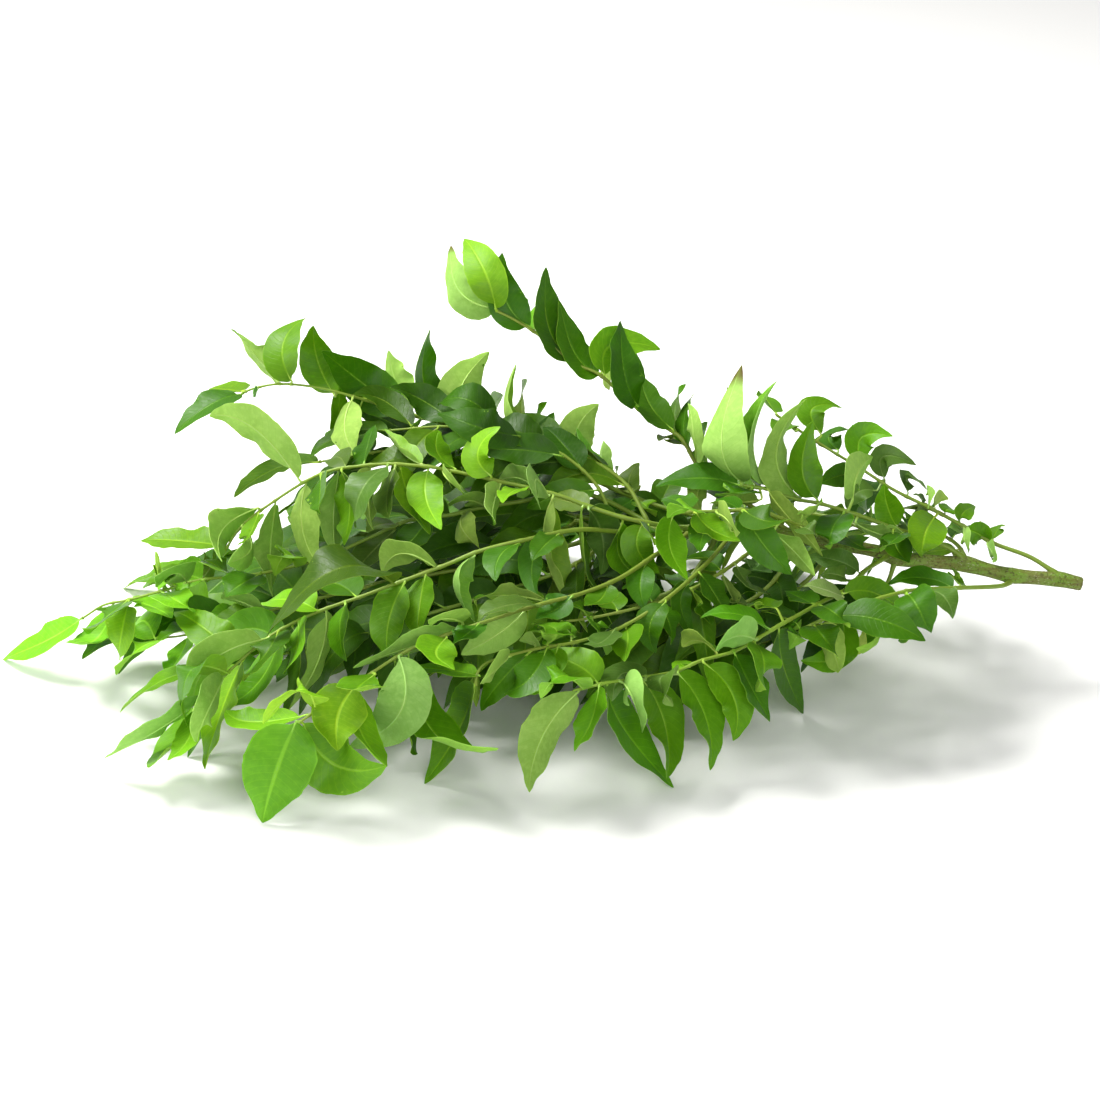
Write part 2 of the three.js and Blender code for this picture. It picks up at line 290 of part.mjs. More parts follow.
    leaflets: [
      [135.08, -26.8, 59.67, 133.99, -23.73, 58.72, 125.19, -23.88, 64.01, 113.44, -16.28, 62.73, -0.226, -0.519, 0.825, 11.39, 10, -9.5, 2],
      [130.31, -34.36, 58.99, 129.03, -35.26, 59.76, 124.33, -34.76, 62.79, 116.72, -28.57, 60.3, -0.397, 0.05, 0.916, 11.87, 10, -11.8, 2],
      [124.29, -42.82, 58.4, 125.59, -46.13, 58.3, 117.82, -49.55, 63.11, 108.85, -49.1, 65.59, 0.696, -0.07, 0.715, 12.94, 10, -7.5, 2],
      [125.32, -41.74, 58.41, 126.45, -44.99, 59.41, 139.21, -40.2, 57.24, 153.17, -30.61, 42.51, -0.132, -0.888, 0.441, 12.76, 10, -10.8, 2],
      [115.04, -52.58, 58.29, 115.97, -55.78, 59.02, 119.01, -73.57, 64.97, 125.94, -74.53, 58.79, -0.295, -0.013, 0.955, 13.93, 10, 3.8, 2],
      [114.02, -53.66, 58.28, 113.04, -50.49, 57.48, 108.4, -42.91, 56.29, 102.62, -37.48, 57.29, -0.063, 0.203, 0.977, 13.54, 10, 4, 2],
      [102.71, -63.19, 56.34, 101.6, -60.01, 55.31, 96.94, -45.66, 51.73, 90.36, -51.61, 55.55, -0.016, 0.301, 0.953, 14.5, 10, -10.3, 2],
      [100.34, -64.88, 55.71, 97.24, -61.66, 60.92, 92.19, -53.55, 58.3, 86.2, -58.19, 60.57, -0.218, 0.317, 0.923, 13.51, 10, -2.9, 2],
      [97.96, -66.58, 55.08, 98.38, -65.76, 53.29, 101.96, -53.97, 29.89, 112.35, -37.71, 0, 0.783, -0.608, -0.132, 16.65, 12, -10.8, 2],
      [95.58, -68.28, 54.45, 94.16, -68.19, 54.72, 80.45, -67.47, 61.09, 66.6, -65.15, 58.16, -0.056, 0.036, 0.998, 14.81, 10, 1.7, 2],
      [89.57, -72.33, 52.69, 88.05, -75.59, 53.86, 79.61, -83.85, 59.44, 70.62, -97.7, 60.25, -0.665, 0.597, 0.449, 17.68, 10, 11.4, 3],
      [88.34, -73.09, 52.28, 88.21, -76.36, 52.37, 90.64, -94.47, 52, 88.51, -90.36, 38.32, 0.607, -0.241, 0.757, 17.11, 10, -12.1, 2],
      [79.51, -78.03, 49.94, 80.09, -81.33, 49.91, 85.85, -87.84, 39.69, 93.86, -93.2, 25.92, 0.568, -0.263, 0.78, 18.28, 15, 5.1, 3],
      [72.7, -80.99, 49.15, 72.61, -77.91, 49.34, 66.48, -71.12, 51.28, 60.12, -62.67, 44.79, 0.414, 0.486, 0.77, 16.71, 10, -1, 2],
      [67.25, -83.36, 48.52, 67.6, -86.5, 48.69, 79.52, -89.83, 34.46, 78.92, -99.82, 20.94, 0.487, -0.739, 0.465, 16.76, 10, 8.5, 2],
      [63.3, -85.35, 47.83, 61.96, -84.61, 47.13, 59.32, -82.98, 45.67, 55.06, -89.75, 47.81, 0.251, 0.276, 0.928, 9.81, 10, 8.5, 2],
      [56.84, -88.84, 46.5, 57.2, -91.31, 46.3, 67.8, -96.2, 30.21, 70.06, -113.87, 15.63, 0.729, -0.567, 0.383, 18.95, 10, -6.5, 3],
      [56.84, -88.84, 46.5, 56.56, -91.99, 46.58, 49.62, -99.25, 47.83, 54.45, -100.94, 37.19, -0.583, 0.052, 0.811, 18.9, 10, -7, 3],
      [42.92, -94.25, 46.66, 43.31, -93.53, 44.52, 52.18, -92.43, 24.15, 52.67, -117.63, 14.14, 0.599, -0.719, 0.352, 19.06, 10, -3.1, 3],
      [44.31, -93.71, 46.64, 43.4, -96.88, 46.62, 34.83, -93, 47.26, 30.69, -106.07, 42.56, -0.02, 0.171, 0.985, 18.05, 10, -6, 3],
      [33.46, -97.92, 46.77, 35.31, -100.58, 47.2, 38.78, -110.51, 45.65, 43.6, -99.77, 24.88, 0.918, 0.356, -0.175, 18.37, 10, 2.9, 3],
      [28.99, -99.67, 46.82, 28.83, -98.93, 45.01, 35.81, -95.33, 23.91, 55.88, -100.47, 0, 0.804, -0.364, 0.47, 23.03, 12, 3.4, 3],
      [26.2, -100.73, 46.73, 25.59, -103.67, 46.9, 21.99, -116.6, 37.12, 15.35, -123.88, 30.03, -0.718, -0.1, 0.689, 17.65, 10, 6.6, 3],
      [17.82, -103.86, 46.12, 17.21, -103.55, 44.54, 3.67, -105.03, 26.45, -2.18, -121.97, 9.86, -0.499, 0.867, -0.01, 21.36, 10, 8.4, 3],
      [26.2, -100.73, 46.73, 25, -98.08, 46.07, 16.27, -93.08, 51.73, 1.26, -81.36, 51.09, -0.174, -0.187, 0.967, 17.93, 10, 1.5, 3],
      [20.62, -102.82, 46.33, 19.22, -105.66, 47.46, 11.05, -119.17, 59.89, 2.56, -120.01, 51.2, 0.197, 0.235, 0.952, 18.56, 10, 0.5, 3],
    ],
  },
  {
    name: "leaf_08",
    baseRadius: 1.1, tipRadius: 0.6,
    rachis: [
      [126.77, -9.28, 64.75],
      [118.16, -19.2, 73.24],
      [112.64, -24.26, 78.2],
      [101.98, -31.25, 86.04],
      [93.55, -35.09, 90.92],
      [88.13, -36.93, 92.68],
      [82.35, -38.18, 93.56],
      [54.04, -40.9, 92.98],
    ],
    leaflets: [
      [108.38, -27.06, 81.33, 109.5, -30.42, 82.04, 111.1, -37.25, 84.65, 115.14, -38.58, 82.14, -0.433, 0.126, 0.892, 9.9, 10, 13.4, 2],
      [100.78, -31.8, 86.74, 98.26, -31.06, 80.02, 106.82, -29.67, 70.81, 114.62, -42.44, 66.01, 0.616, 0.787, 0.048, 12.24, 10, -4.9, 2],
      [83.8, -37.87, 93.34, 85.01, -41.15, 94.59, 92.7, -53.76, 95.73, 103.13, -48.12, 94.04, -0.438, -0.082, 0.895, 14.11, 10, -13.2, 2],
      [83.8, -37.87, 93.34, 84.55, -40.49, 93.35, 92.61, -48.43, 82.69, 103.97, -52.6, 71.29, 0.012, -0.946, 0.325, 14.82, 12, 8.4, 2],
      [73.41, -39.04, 93.38, 74.14, -42.12, 93.67, 77.27, -57.66, 97.94, 81.16, -55.65, 90.01, 0.915, 0.245, 0.322, 14.14, 10, 3.8, 2],
      [64.47, -39.9, 93.2, 65.57, -42.07, 93.71, 71.55, -47.85, 89.07, 82.46, -54.95, 87.48, -0.004, -0.022, 1, 15.87, 10, 7.2, 2],
      [55.53, -40.76, 93.01, 55.84, -41.96, 92.12, 54.64, -51.51, 82.79, 61.58, -62.89, 73.98, 0.515, -0.575, 0.636, 14.85, 10, 4.1, 2],
      [67.45, -39.62, 93.26, 65.88, -42.67, 94.65, 60.28, -53, 101.08, 53.85, -45.72, 94.28, 0.297, 0.211, 0.931, 14.4, 10, 7, 2],
      [74.9, -38.9, 93.41, 75.2, -37.99, 91.66, 69.33, -36.98, 84.08, 66.48, -56.26, 83.23, -0.334, -0.119, 0.935, 14.16, 10, -9.7, 2],
      [95.96, -33.99, 89.53, 94.75, -33.76, 89.17, 87.57, -35.6, 87.91, 81.32, -39.1, 87.28, 0.166, 0.18, 0.969, 14.17, 10, 5.3, 2],
      [62.98, -40.05, 93.17, 61.78, -38.59, 93.6, 58.98, -27.84, 92.44, 52.58, -13.56, 88.31, -0.192, 0.138, 0.972, 13.81, 10, 1.7, 2],
      [83.8, -37.87, 93.34, 82.56, -36.64, 93.35, 78.57, -33.94, 94.73, 73.71, -33.41, 95.82, -0.216, 0.185, 0.959, 12.06, 10, -1.5, 2],
    ],
  },
  {
    name: "leaf_09",
    baseRadius: 1.1, tipRadius: 0.55,
    rachis: [
      [124.64, -9.1, 64.39],
      [123.12, -7.9, 60],
      [115.57, -12.79, 52],
      [110.01, -13.84, 47.12],
      [105.31, -12.7, 43.55],
      [99.4, -10.33, 39.54],
      [86.65, -5.64, 33.09],
      [66.18, 0.86, 26.12],
      [40.37, 6.22, 19.85],
      [10.91, 10.12, 14.97],
      [-18.88, 12.1, 11],
    ],
    leaflets: [
      [112.23, -13.42, 49.07, 111.13, -14.57, 48.29, 101.1, -19.77, 42.71, 89.9, -27.96, 22.15, -0.86, -0.277, 0.428, 14.58, 14.6, -6.7, 2],
      [105.31, -12.7, 43.55, 104.18, -9.16, 42.64, 93.91, 2.71, 44.01, 82.64, 8.88, 39.38, -0.586, -0.346, 0.733, 15.48, 17.7, -2.4, 2],
      [96.85, -9.4, 38.25, 95.36, -12.38, 37.74, 83.24, -11.27, 21.61, 68.98, -29.71, 3.75, -0.45, -0.393, 0.802, 16.75, 15.4, -14.2, 2],
      [87.92, -6.11, 33.73, 86.66, -2.5, 32.91, 73.1, 10.14, 38.07, 57.59, -2.13, 45.21, -0.351, 0.537, 0.767, 18.27, 17.7, 7.7, 2],
      [79.83, -3.48, 30.76, 77.83, -9.79, 33.04, 61.41, -13.98, 29.48, 43.02, -29.33, 20.51, -0.618, -0.109, 0.778, 13.44, 9.1, -14.3, 2],
      [70.27, -0.44, 27.51, 69.36, 3.55, 26.91, 59.67, 14.87, 33.25, 47.9, 4.26, 49.18, -0.502, -0.142, 0.853, 15.48, 13, -17.3, 2],
      [61.88, 1.76, 25.08, 59.82, 0.84, 24.8, 38.87, 0.97, 17.34, 17.4, 4.85, 9.98, -0.033, -0.529, 0.848, 19.26, 7.1, 12.7, 3],
      [51.84, 3.84, 22.64, 51.2, 8.03, 21.91, 42.9, 27.45, 30.62, 31.94, 24.33, 36.44, -0.149, -0.297, 0.943, 18.99, 8, -3.2, 3],
      [41.8, 5.92, 20.2, 40.02, 7.27, 18.22, 21.72, 5.35, 7.84, 2.57, -12.09, 3, 0.004, -0.237, 0.972, 18.39, 11.9, 6.3, 3],
      [31.54, 7.39, 18.39, 29.98, 10.97, 17.6, 13.38, 28.65, 23.02, -4.18, 16.43, 24.5, -0.105, -0.16, 0.981, 18.22, 15.1, -15.6, 3],
      [22.7, 8.56, 16.92, 20.78, 7.11, 17.79, 1.84, 7.95, 19.94, -17.73, -5.01, 21.92, -0.033, -0.552, 0.834, 17.1, 12.8, -13.1, 3],
      [13.86, 9.73, 15.46, 12.61, 13.45, 15.1, 0.84, 32.29, 22.62, -12.14, 23.02, 31.52, 0.037, -0.401, 0.915, 17.99, 11.5, -17.1, 2],
      [3.47, 10.61, 13.98, 2.42, 7.32, 13.96, -7.35, -7.63, 6.82, -18.93, -20.51, 0, 0.03, -0.542, 0.84, 16.45, 10.5, 16.2, 2],
      [-6.96, 11.3, 12.59, -8.67, 12.17, 11.42, -26.35, 19.64, 2.43, -45.15, 27.12, 1.2, -0.346, -0.199, 0.917, 19.16, 10.6, 12, 3],
      [-18.88, 12.1, 11, -20.36, 12.19, 10.81, -40.15, 13.42, 8.21, -57.97, 14.53, 1.2, 0.019, -0.107, 0.994, 17.2, 10, 0, 2],
    ],
  },
  {
    name: "leaf_10",
    baseRadius: 1.3, tipRadius: 0.6,
    rachis: [
      [111.11, -10.03, 67.89],
      [89.52, 4.53, 76.91],
      [70.42, 14.77, 86.96],
      [67.17, 16.99, 91.4],
      [62.89, 19.3, 98.92],
      [59.77, 20.61, 101.83],
      [45.93, 25.72, 109.04],
      [28.09, 31.88, 123.71],
      [14.88, 36.35, 128.89],
      [-1.52, 40.89, 141.04],
      [-9.19, 42.3, 145.45],
      [-15.88, 44.1, 148.27],
    ],
    leaflets: [
      [96.54, -0.21, 73.98, 95.56, 1.09, 72.1, 90.76, 8.79, 65.42, 86.58, 19.41, 53.54, -0.941, -0.156, 0.301, 11.08, 10, -12.2, 2],
      [87.13, 5.8, 78.17, 85.84, 7.76, 77.66, 79.11, 17.31, 76.85, 72.41, 26.46, 73.73, -0.255, 0.051, 0.966, 12.07, 10, 8.8, 2],
      [72.8, 13.49, 85.71, 72.46, 12.11, 84.45, 67.97, 5.65, 80.66, 70.09, 2.3, 72.52, -0.701, 0.395, -0.593, 11.86, 10, 8.5, 2],
      [70.42, 14.77, 86.96, 70.68, 17.98, 87.17, 69.77, 24.85, 95.22, 71.84, 12.59, 110.86, -0.752, 0.405, -0.52, 13.7, 10, 10.7, 2],
      [68.8, 15.87, 89.18, 68.33, 15.17, 90.92, 66.33, 8.41, 106.74, 64.96, 19.98, 115.92, 0.871, 0.45, -0.198, 13.09, 10, 10.5, 2],
      [65.03, 18.14, 95.16, 65.07, 18.74, 96.54, 62.7, 21.55, 105.75, 66.52, 36.86, 114.47, -0.894, -0.256, 0.367, 14.29, 10, -11.5, 2],
      [63.6, 18.91, 97.67, 62.4, 22.13, 96.67, 57.71, 30.44, 96.07, 52.37, 23.52, 98.08, -0.209, 0.238, 0.949, 12.59, 10, -1.3, 2],
      [61.85, 19.73, 99.89, 62.16, 22.71, 100.34, 58.96, 34.61, 106.26, 62.74, 29.84, 120.95, -0.78, 0.374, -0.502, 14.92, 10, 9.9, 2],
      [58.51, 21.07, 102.48, 57.81, 20.25, 104.32, 48.13, 29.32, 112.54, 44.63, 44.68, 121.37, 0.316, -0.662, 0.68, 14.57, 10, 3.3, 2],
      [47.18, 25.26, 108.38, 46.96, 28.52, 108.48, 41.83, 47.86, 113.22, 42.03, 47.26, 131.27, 0.618, -0.495, 0.611, 16.36, 10, 0.8, 2],
      [43.7, 26.49, 110.87, 43.28, 25.72, 112.66, 37.28, 22.5, 129.29, 36.37, 45.46, 143.71, 0.564, -0.738, 0.37, 16.96, 10, -10.2, 2],
      [32.55, 30.34, 120.04, 31.96, 33.58, 120.23, 30.14, 40.78, 120.19, 27.7, 48.43, 121.7, 0.958, 0.2, -0.205, 10.48, 10, 10.1, 2],
      [28.09, 31.88, 123.71, 29.43, 31.87, 124.34, 32.55, 40.2, 134.47, 54.06, 50.85, 128.51, 0.447, -0.737, 0.507, 16.69, 10, -13.7, 2],
      [28.09, 31.88, 123.71, 27.41, 33.77, 124.35, 16.53, 37.91, 132.21, 10.62, 44.46, 153.06, 0.554, -0.589, 0.588, 16.81, 10, -1.1, 2],
      [16.2, 35.91, 128.38, 15.72, 38.02, 128.87, 5.58, 42.71, 142.51, 5.16, 49, 166.1, 0.677, -0.586, 0.445, 19.43, 10, -12.8, 3],
      [-0.35, 40.57, 140.17, -0.19, 43.91, 140.56, 1.33, 54.07, 144.06, 1.3, 62.99, 146.16, -0.858, -0.019, 0.514, 13.65, 10, 1, 2],
      [-1.52, 40.89, 141.04, -2.07, 41.58, 142.23, -12.1, 46.48, 152.3, -13.71, 50.37, 171.82, -0.049, -0.865, 0.499, 16.69, 10, -2.3, 2],
      [-15.88, 44.1, 148.27, -16.47, 47.36, 148.5, -25.52, 63.83, 152.64, -25.22, 57.35, 168, 0.621, -0.185, 0.762, 17.21, 10, 6, 2],
      [-15.88, 44.1, 148.27, -16.74, 46.14, 148.79, -31.99, 52.01, 154.74, -35.18, 66.84, 169.11, 0.621, 0.764, -0.175, 18.18, 10, -5.9, 3],
      [-15.88, 44.1, 148.27, -16.47, 43.24, 150.01, -21.22, 45.66, 165.97, -30.15, 70.43, 171.43, -0.12, -0.782, 0.612, 16.69, 10, 10.3, 2],
    ],
  },
  {
    name: "leaf_11",
    baseRadius: 1.2, tipRadius: 0.55,
    rachis: [
      [107.28, -10.1, 67.88],
      [107.12, -9.9, 64],
      [102.81, -15.71, 56.45],
      [99.42, -18.27, 52.27],
      [91.65, -20.41, 45.67],
      [82.42, -21.11, 40.84],
      [62.56, -20.89, 34.31],
      [42.07, -20.86, 30.15],
      [25.85, -22.46, 28.13],
      [-10.88, -27.9, 24],
    ],
    leaflets: [
      [100.26, -17.63, 53.31, 100.75, -17.86, 51.7, 102.45, -33.85, 47.84, 102.07, -50.24, 24.29, -0.376, -0.625, 0.685, 16.14, 17.7, -13.5, 2],
      [93.86, -19.8, 47.56, 92.94, -16.78, 45.15, 84.86, -9.3, 39.47, 70.51, -43.66, 33.35, 0.003, -0.944, 0.331, 11.31, 10.7, 12.3, 2],
      [86.37, -20.81, 42.91, 84.93, -24.54, 43.24, 71.6, -37.94, 38.35, 57.31, -46.06, 28.34, -0.26, -0.182, 0.948, 18.95, 15.9, -4.9, 3],
      [78.17, -21.06, 39.44, 77.01, -18.91, 37.53, 70.17, 8.83, 9.51, 50.13, -16.28, 10.54, -0.031, -0.999, -0.029, 11.51, 7.5, -11, 3],
      [69.66, -20.97, 36.64, 69.02, -23.87, 35.84, 62.04, -42.95, 27.45, 52.48, -60.71, 1.65, -0.271, -0.525, 0.807, 20.7, 10.6, -7.6, 3],
      [61.1, -20.88, 34.01, 59.45, -21.54, 34.98, 43.34, 6.3, 28.41, 25.18, 4.68, 18.79, -0.398, -0.344, 0.85, 18.35, 15.8, -3, 3],
      [50.85, -20.87, 31.93, 49.41, -24.23, 32.07, 36.06, -42.39, 27.46, 21.4, -58.93, 18.96, 0.07, -0.314, 0.947, 17.41, 8.1, -16.7, 3],
      [42.07, -20.86, 30.15, 41.12, -20.15, 31.27, 31.52, 4.2, 36.32, 19.41, 14.33, 22.72, -0.33, -0.332, 0.884, 21.09, 11.5, -1.5, 3],
      [31.75, -21.88, 28.86, 29.97, -24.49, 29.15, 11.27, -36.12, 24.64, -8.86, -28.62, 3.44, 0.158, -0.215, 0.964, 16.11, 7.5, -11.8, 3],
      [22.91, -22.89, 27.8, 20.85, -23.86, 29.14, 0.21, -20.83, 37.67, -20.75, -34.43, 40.84, 0.148, -0.706, 0.693, 18.78, 13.8, -7.4, 3],
      [14.1, -24.2, 26.81, 12.38, -27.33, 28.41, -5.77, -45.61, 36.7, -25.35, -49.4, 27.89, 0.049, -0.34, 0.939, 19.6, 14, 10.6, 3],
      [5.28, -25.51, 25.82, 3.46, -23.36, 25.98, -15.56, -15.98, 36.88, -35.47, -9.71, 22.56, 0.152, -0.476, 0.866, 18.14, 9.9, -17.3, 3],
      [-5, -27.03, 24.66, -6.7, -31.62, 26.08, -21.68, -46.29, 27.2, -37.98, -47.04, 7.29, 0.065, -0.28, 0.958, 16.6, 17, -0.5, 2],
      [-10.88, -27.9, 24, -12.3, -31.09, 25.33, -32.85, -34.69, 23.15, -51.66, -31.34, 7.28, 0.059, 0.052, 0.997, 17.12, 10, 0, 3],
    ],
  },
  {
    name: "leaf_12",
    baseRadius: 1.1, tipRadius: 0.6,
    rachis: [
      [99.28, -10.52, 69.88],
      [98.48, -12.9, 70.76],
      [87.63, -28.97, 69.81],
      [79.47, -37.4, 67.52],
      [70.14, -44.2, 64.48],
      [58.52, -50.12, 61.21],
      [44.71, -55.26, 58.7],
      [31.79, -58.49, 56.86],
      [11.25, -61.9, 54.76],
    ],
    leaflets: [
      [77.14, -39.1, 66.76, 76.05, -36.1, 65.68, 70.14, -27.53, 66.18, 60.21, -37.7, 70.97, -0.344, -0.014, 0.939, 12.74, 10, 5.4, 2],
      [85.59, -31.07, 69.24, 87.02, -30.64, 68.36, 90.61, -30.34, 62.97, 96.7, -41.78, 67.94, -0.01, 0.205, 0.979, 12.41, 10, -12.8, 2],
      [81.51, -35.29, 68.09, 82.52, -38.6, 68.67, 87.78, -43.85, 62.62, 97.88, -30.82, 52.25, 0.252, -0.013, 0.968, 12.59, 10, 11.8, 2],
      [75.98, -39.95, 66.38, 76.95, -41.31, 65.76, 82.33, -36.49, 52.26, 85.88, -45.04, 55.06, 0.45, 0.081, 0.89, 12.96, 10, 13.3, 2],
      [63.68, -47.49, 62.66, 64.31, -52.93, 63.71, 67.24, -50.99, 57.05, 71.83, -59.3, 52.13, 0.343, -0.148, 0.928, 11.48, 10, 8.7, 2],
      [48.86, -53.72, 59.45, 47.75, -50.71, 58.49, 43.23, -38.58, 57.82, 35.84, -39.5, 59.17, -0.175, 0.12, 0.977, 13.07, 10, 11.1, 2],
      [48.86, -53.72, 59.45, 49.36, -57.06, 59.48, 53.86, -63.14, 56.27, 55.6, -64.46, 45.68, 0.407, -0.15, 0.901, 13.73, 10, 10.5, 2],
      [34.66, -57.77, 57.27, 33.49, -55.06, 56.6, 29.98, -48.38, 58.04, 23.53, -44.74, 57.17, -0.119, 0.215, 0.969, 14.03, 10, 3.5, 2],
      [22.99, -59.95, 55.96, 23.52, -63, 55.75, 26.43, -70.3, 54.45, 29.1, -60.89, 39.36, 0.573, 0.043, 0.819, 15.77, 10, 5.9, 2],
      [22.99, -59.95, 55.96, 21.78, -56.66, 54.76, 17.72, -56.47, 59.28, 11.29, -50.92, 57.47, -0.05, 0.247, 0.968, 14.23, 10, 13.2, 2],
      [11.25, -61.9, 54.76, 10.19, -65.08, 55.29, 5.62, -73.25, 56.82, 0.82, -72.87, 49.92, -0.243, 0.224, 0.944, 14.4, 10, -11.1, 2],
      [63.68, -47.49, 62.66, 62.76, -44.43, 61.83, 59.83, -31.29, 59.78, 55.93, -6.21, 49.21, -0.139, 0.181, 0.974, 12.39, 10, 12.7, 2],
    ],
  },
  {
    name: "leaf_13",
    baseRadius: 1.2, tipRadius: 0.55,
    rachis: [
      [87.46, -9.14, 70.11],
      [87.12, -6.9, 67],
      [80.29, -0.14, 62.86],
      [76.24, 3.95, 61.27],
      [71.12, 9.34, 60.55],
      [56.75, 24.57, 60.37],
      [44.77, 35.67, 58.51],
      [26.59, 50.5, 53.84],
      [8.99, 62.96, 47.67],
      [-13.21, 75.81, 39.54],
      [-37.69, 86.89, 30.31],
      [-60.29, 94.51, 21.53],
      [-86.88, 101.1, 14],
    ],
    leaflets: [
      [70.09, 10.43, 60.54, 67.93, 10.14, 61.14, 49.69, 12.57, 64.12, 31.73, 7.98, 65.16, -0.018, -0.383, 0.923, 15.93, 14.4, -7.8, 2],
      [63.94, 16.96, 60.46, 65.11, 20.89, 58.99, 72.62, 25.79, 60.55, 77.65, 41.85, 36.67, 0.179, 0.404, 0.897, 15.51, 11.3, -16.3, 2],
      [57.78, 23.48, 60.38, 55.78, 25.15, 60.47, 41.34, 33.04, 64.54, 25.21, 7.1, 60.28, -0.414, -0.574, 0.706, 11.36, 12.4, 9.7, 2],
      [51.31, 29.61, 59.52, 52.18, 31.57, 60.6, 58.01, 44.9, 68.03, 61.18, 58.07, 63.78, -0.13, -0.371, 0.92, 13.08, 12.8, -12.3, 2],
      [43.63, 36.59, 58.21, 41.61, 38.03, 57.6, 24.69, 36.64, 59.25, 7.91, 11.62, 63.76, -0.311, -0.406, 0.859, 14.47, 14.2, 13, 2],
      [35.68, 43.08, 56.17, 35.17, 45, 55.18, 29.93, 56.66, 45.45, 23.2, 70.95, 15.31, -0.202, 0.058, 0.978, 15.42, 14.4, -0.3, 2],
      [27.72, 49.57, 54.13, 25.57, 49.31, 54.2, 3.58, 46.57, 55.48, -17.92, 38.22, 35.9, -0.227, -0.501, 0.835, 18.32, 16.4, -9.6, 3],
      [20.72, 54.65, 51.78, 21.21, 56.66, 50.86, 25.3, 69, 39.5, 26.2, 77.4, 8.9, -0.28, -0.324, 0.904, 19.92, 11.5, 10.8, 3],
      [12.51, 60.47, 48.91, 10.36, 61.42, 48.63, -13.01, 58.45, 52.61, -35.72, 51.64, 44.56, -0.38, -0.381, 0.843, 21.53, 6.9, 15.7, 3],
      [4.06, 65.82, 45.87, 3.4, 70.09, 44.89, -4.44, 81.13, 50, -13.76, 82.23, 41.51, -0.548, 0.087, 0.832, 19.36, 17.1, -6.5, 3],
      [-3.34, 70.1, 43.15, -5.31, 68.7, 44.38, -28.3, 70.74, 50.71, -51.3, 77.63, 36.03, -0.227, -0.405, 0.885, 20.86, 15, -7.9, 3],
      [-11.97, 75.1, 39.99, -12.98, 79.08, 39.48, -23.83, 100.06, 42.92, -35.42, 91.39, 49.07, -0.35, -0.316, 0.882, 19.07, 13.5, 10.4, 3],
      [-19.65, 78.73, 37.11, -21.14, 77.88, 36.09, -36.15, 67.58, 28.7, -51.96, 60.11, 5.83, -0.189, -0.348, 0.918, 19.43, 6.1, -6, 3],
      [-29.96, 83.39, 33.23, -30.56, 87.74, 32.88, -37.21, 110.1, 35.98, -45.01, 101.04, 42.91, -0.664, -0.273, 0.696, 20.25, 9.7, 4.7, 3],
      [-39.01, 87.33, 29.8, -41.2, 88.97, 29.16, -63.4, 86.92, 34.26, -84.94, 75.44, 29.85, 0.024, 0.13, 0.991, 20.75, 6.2, 13.7, 3],
      [-48.32, 90.47, 26.18, -49.83, 94.17, 24.65, -65.82, 102.13, 24.56, -81.85, 98.35, 12.35, -0.652, -0.291, 0.7, 19.37, 10.4, 5.7, 3],
      [-57.63, 93.61, 22.57, -59.57, 91.14, 23.15, -80.41, 83.2, 22.29, -101.11, 73.64, 4.89, -0.629, -0.278, 0.726, 17.5, 10.2, 6.5, 3],
      [-65.88, 95.9, 19.95, -67.58, 99.43, 18.51, -85.77, 119.58, 11.95, -102.58, 108.41, 9.45, -0.071, -0.311, 0.948, 21.47, 13.4, 9.4, 3],
      [-75.68, 98.32, 17.17, -77.46, 95.61, 17.44, -99.28, 90.69, 12.15, -121.24, 81.62, 1.2, -0.286, -0.41, 0.866, 22, 8.7, -14.3, 3],
      [-86.88, 101.1, 14, -88.29, 101.57, 13.55, -107.83, 104.52, 8.91, -125.56, 109.04, 0.7, 0.053, -0.184, 0.982, 18.06, 10, 0, 3],
    ],
  },
  {
    name: "leaf_14",
    baseRadius: 1.3, tipRadius: 0.5,
    rachis: [
      [85.66, -9.01, 70.6],
      [86.4, -6.9, 69.83],
      [76.43, 2.17, 69.6],
      [66.08, 10.8, 69.3],
      [56.16, 17.5, 69.04],
      [49.59, 21.03, 69.67],
      [41.5, 24.57, 71.31],
      [25.35, 30.75, 76.12],
      [8.62, 34.17, 81.7],
      [-4.46, 36.72, 88.54],
      [-11.43, 37.72, 91.05],
      [-31.59, 39.83, 96.43],
      [-54.67, 41.06, 102.77],
      [-70.16, 41.15, 108.36],
      [-85.78, 40.41, 113.56],
      [-97.44, 39.74, 116.22],
      [-107.85, 39.1, 117.22],
      [-116.71, 38.34, 116.09],
      [-121.05, 38.03, 114.97],
      [-123.65, 38.1, 113.51],
    ],
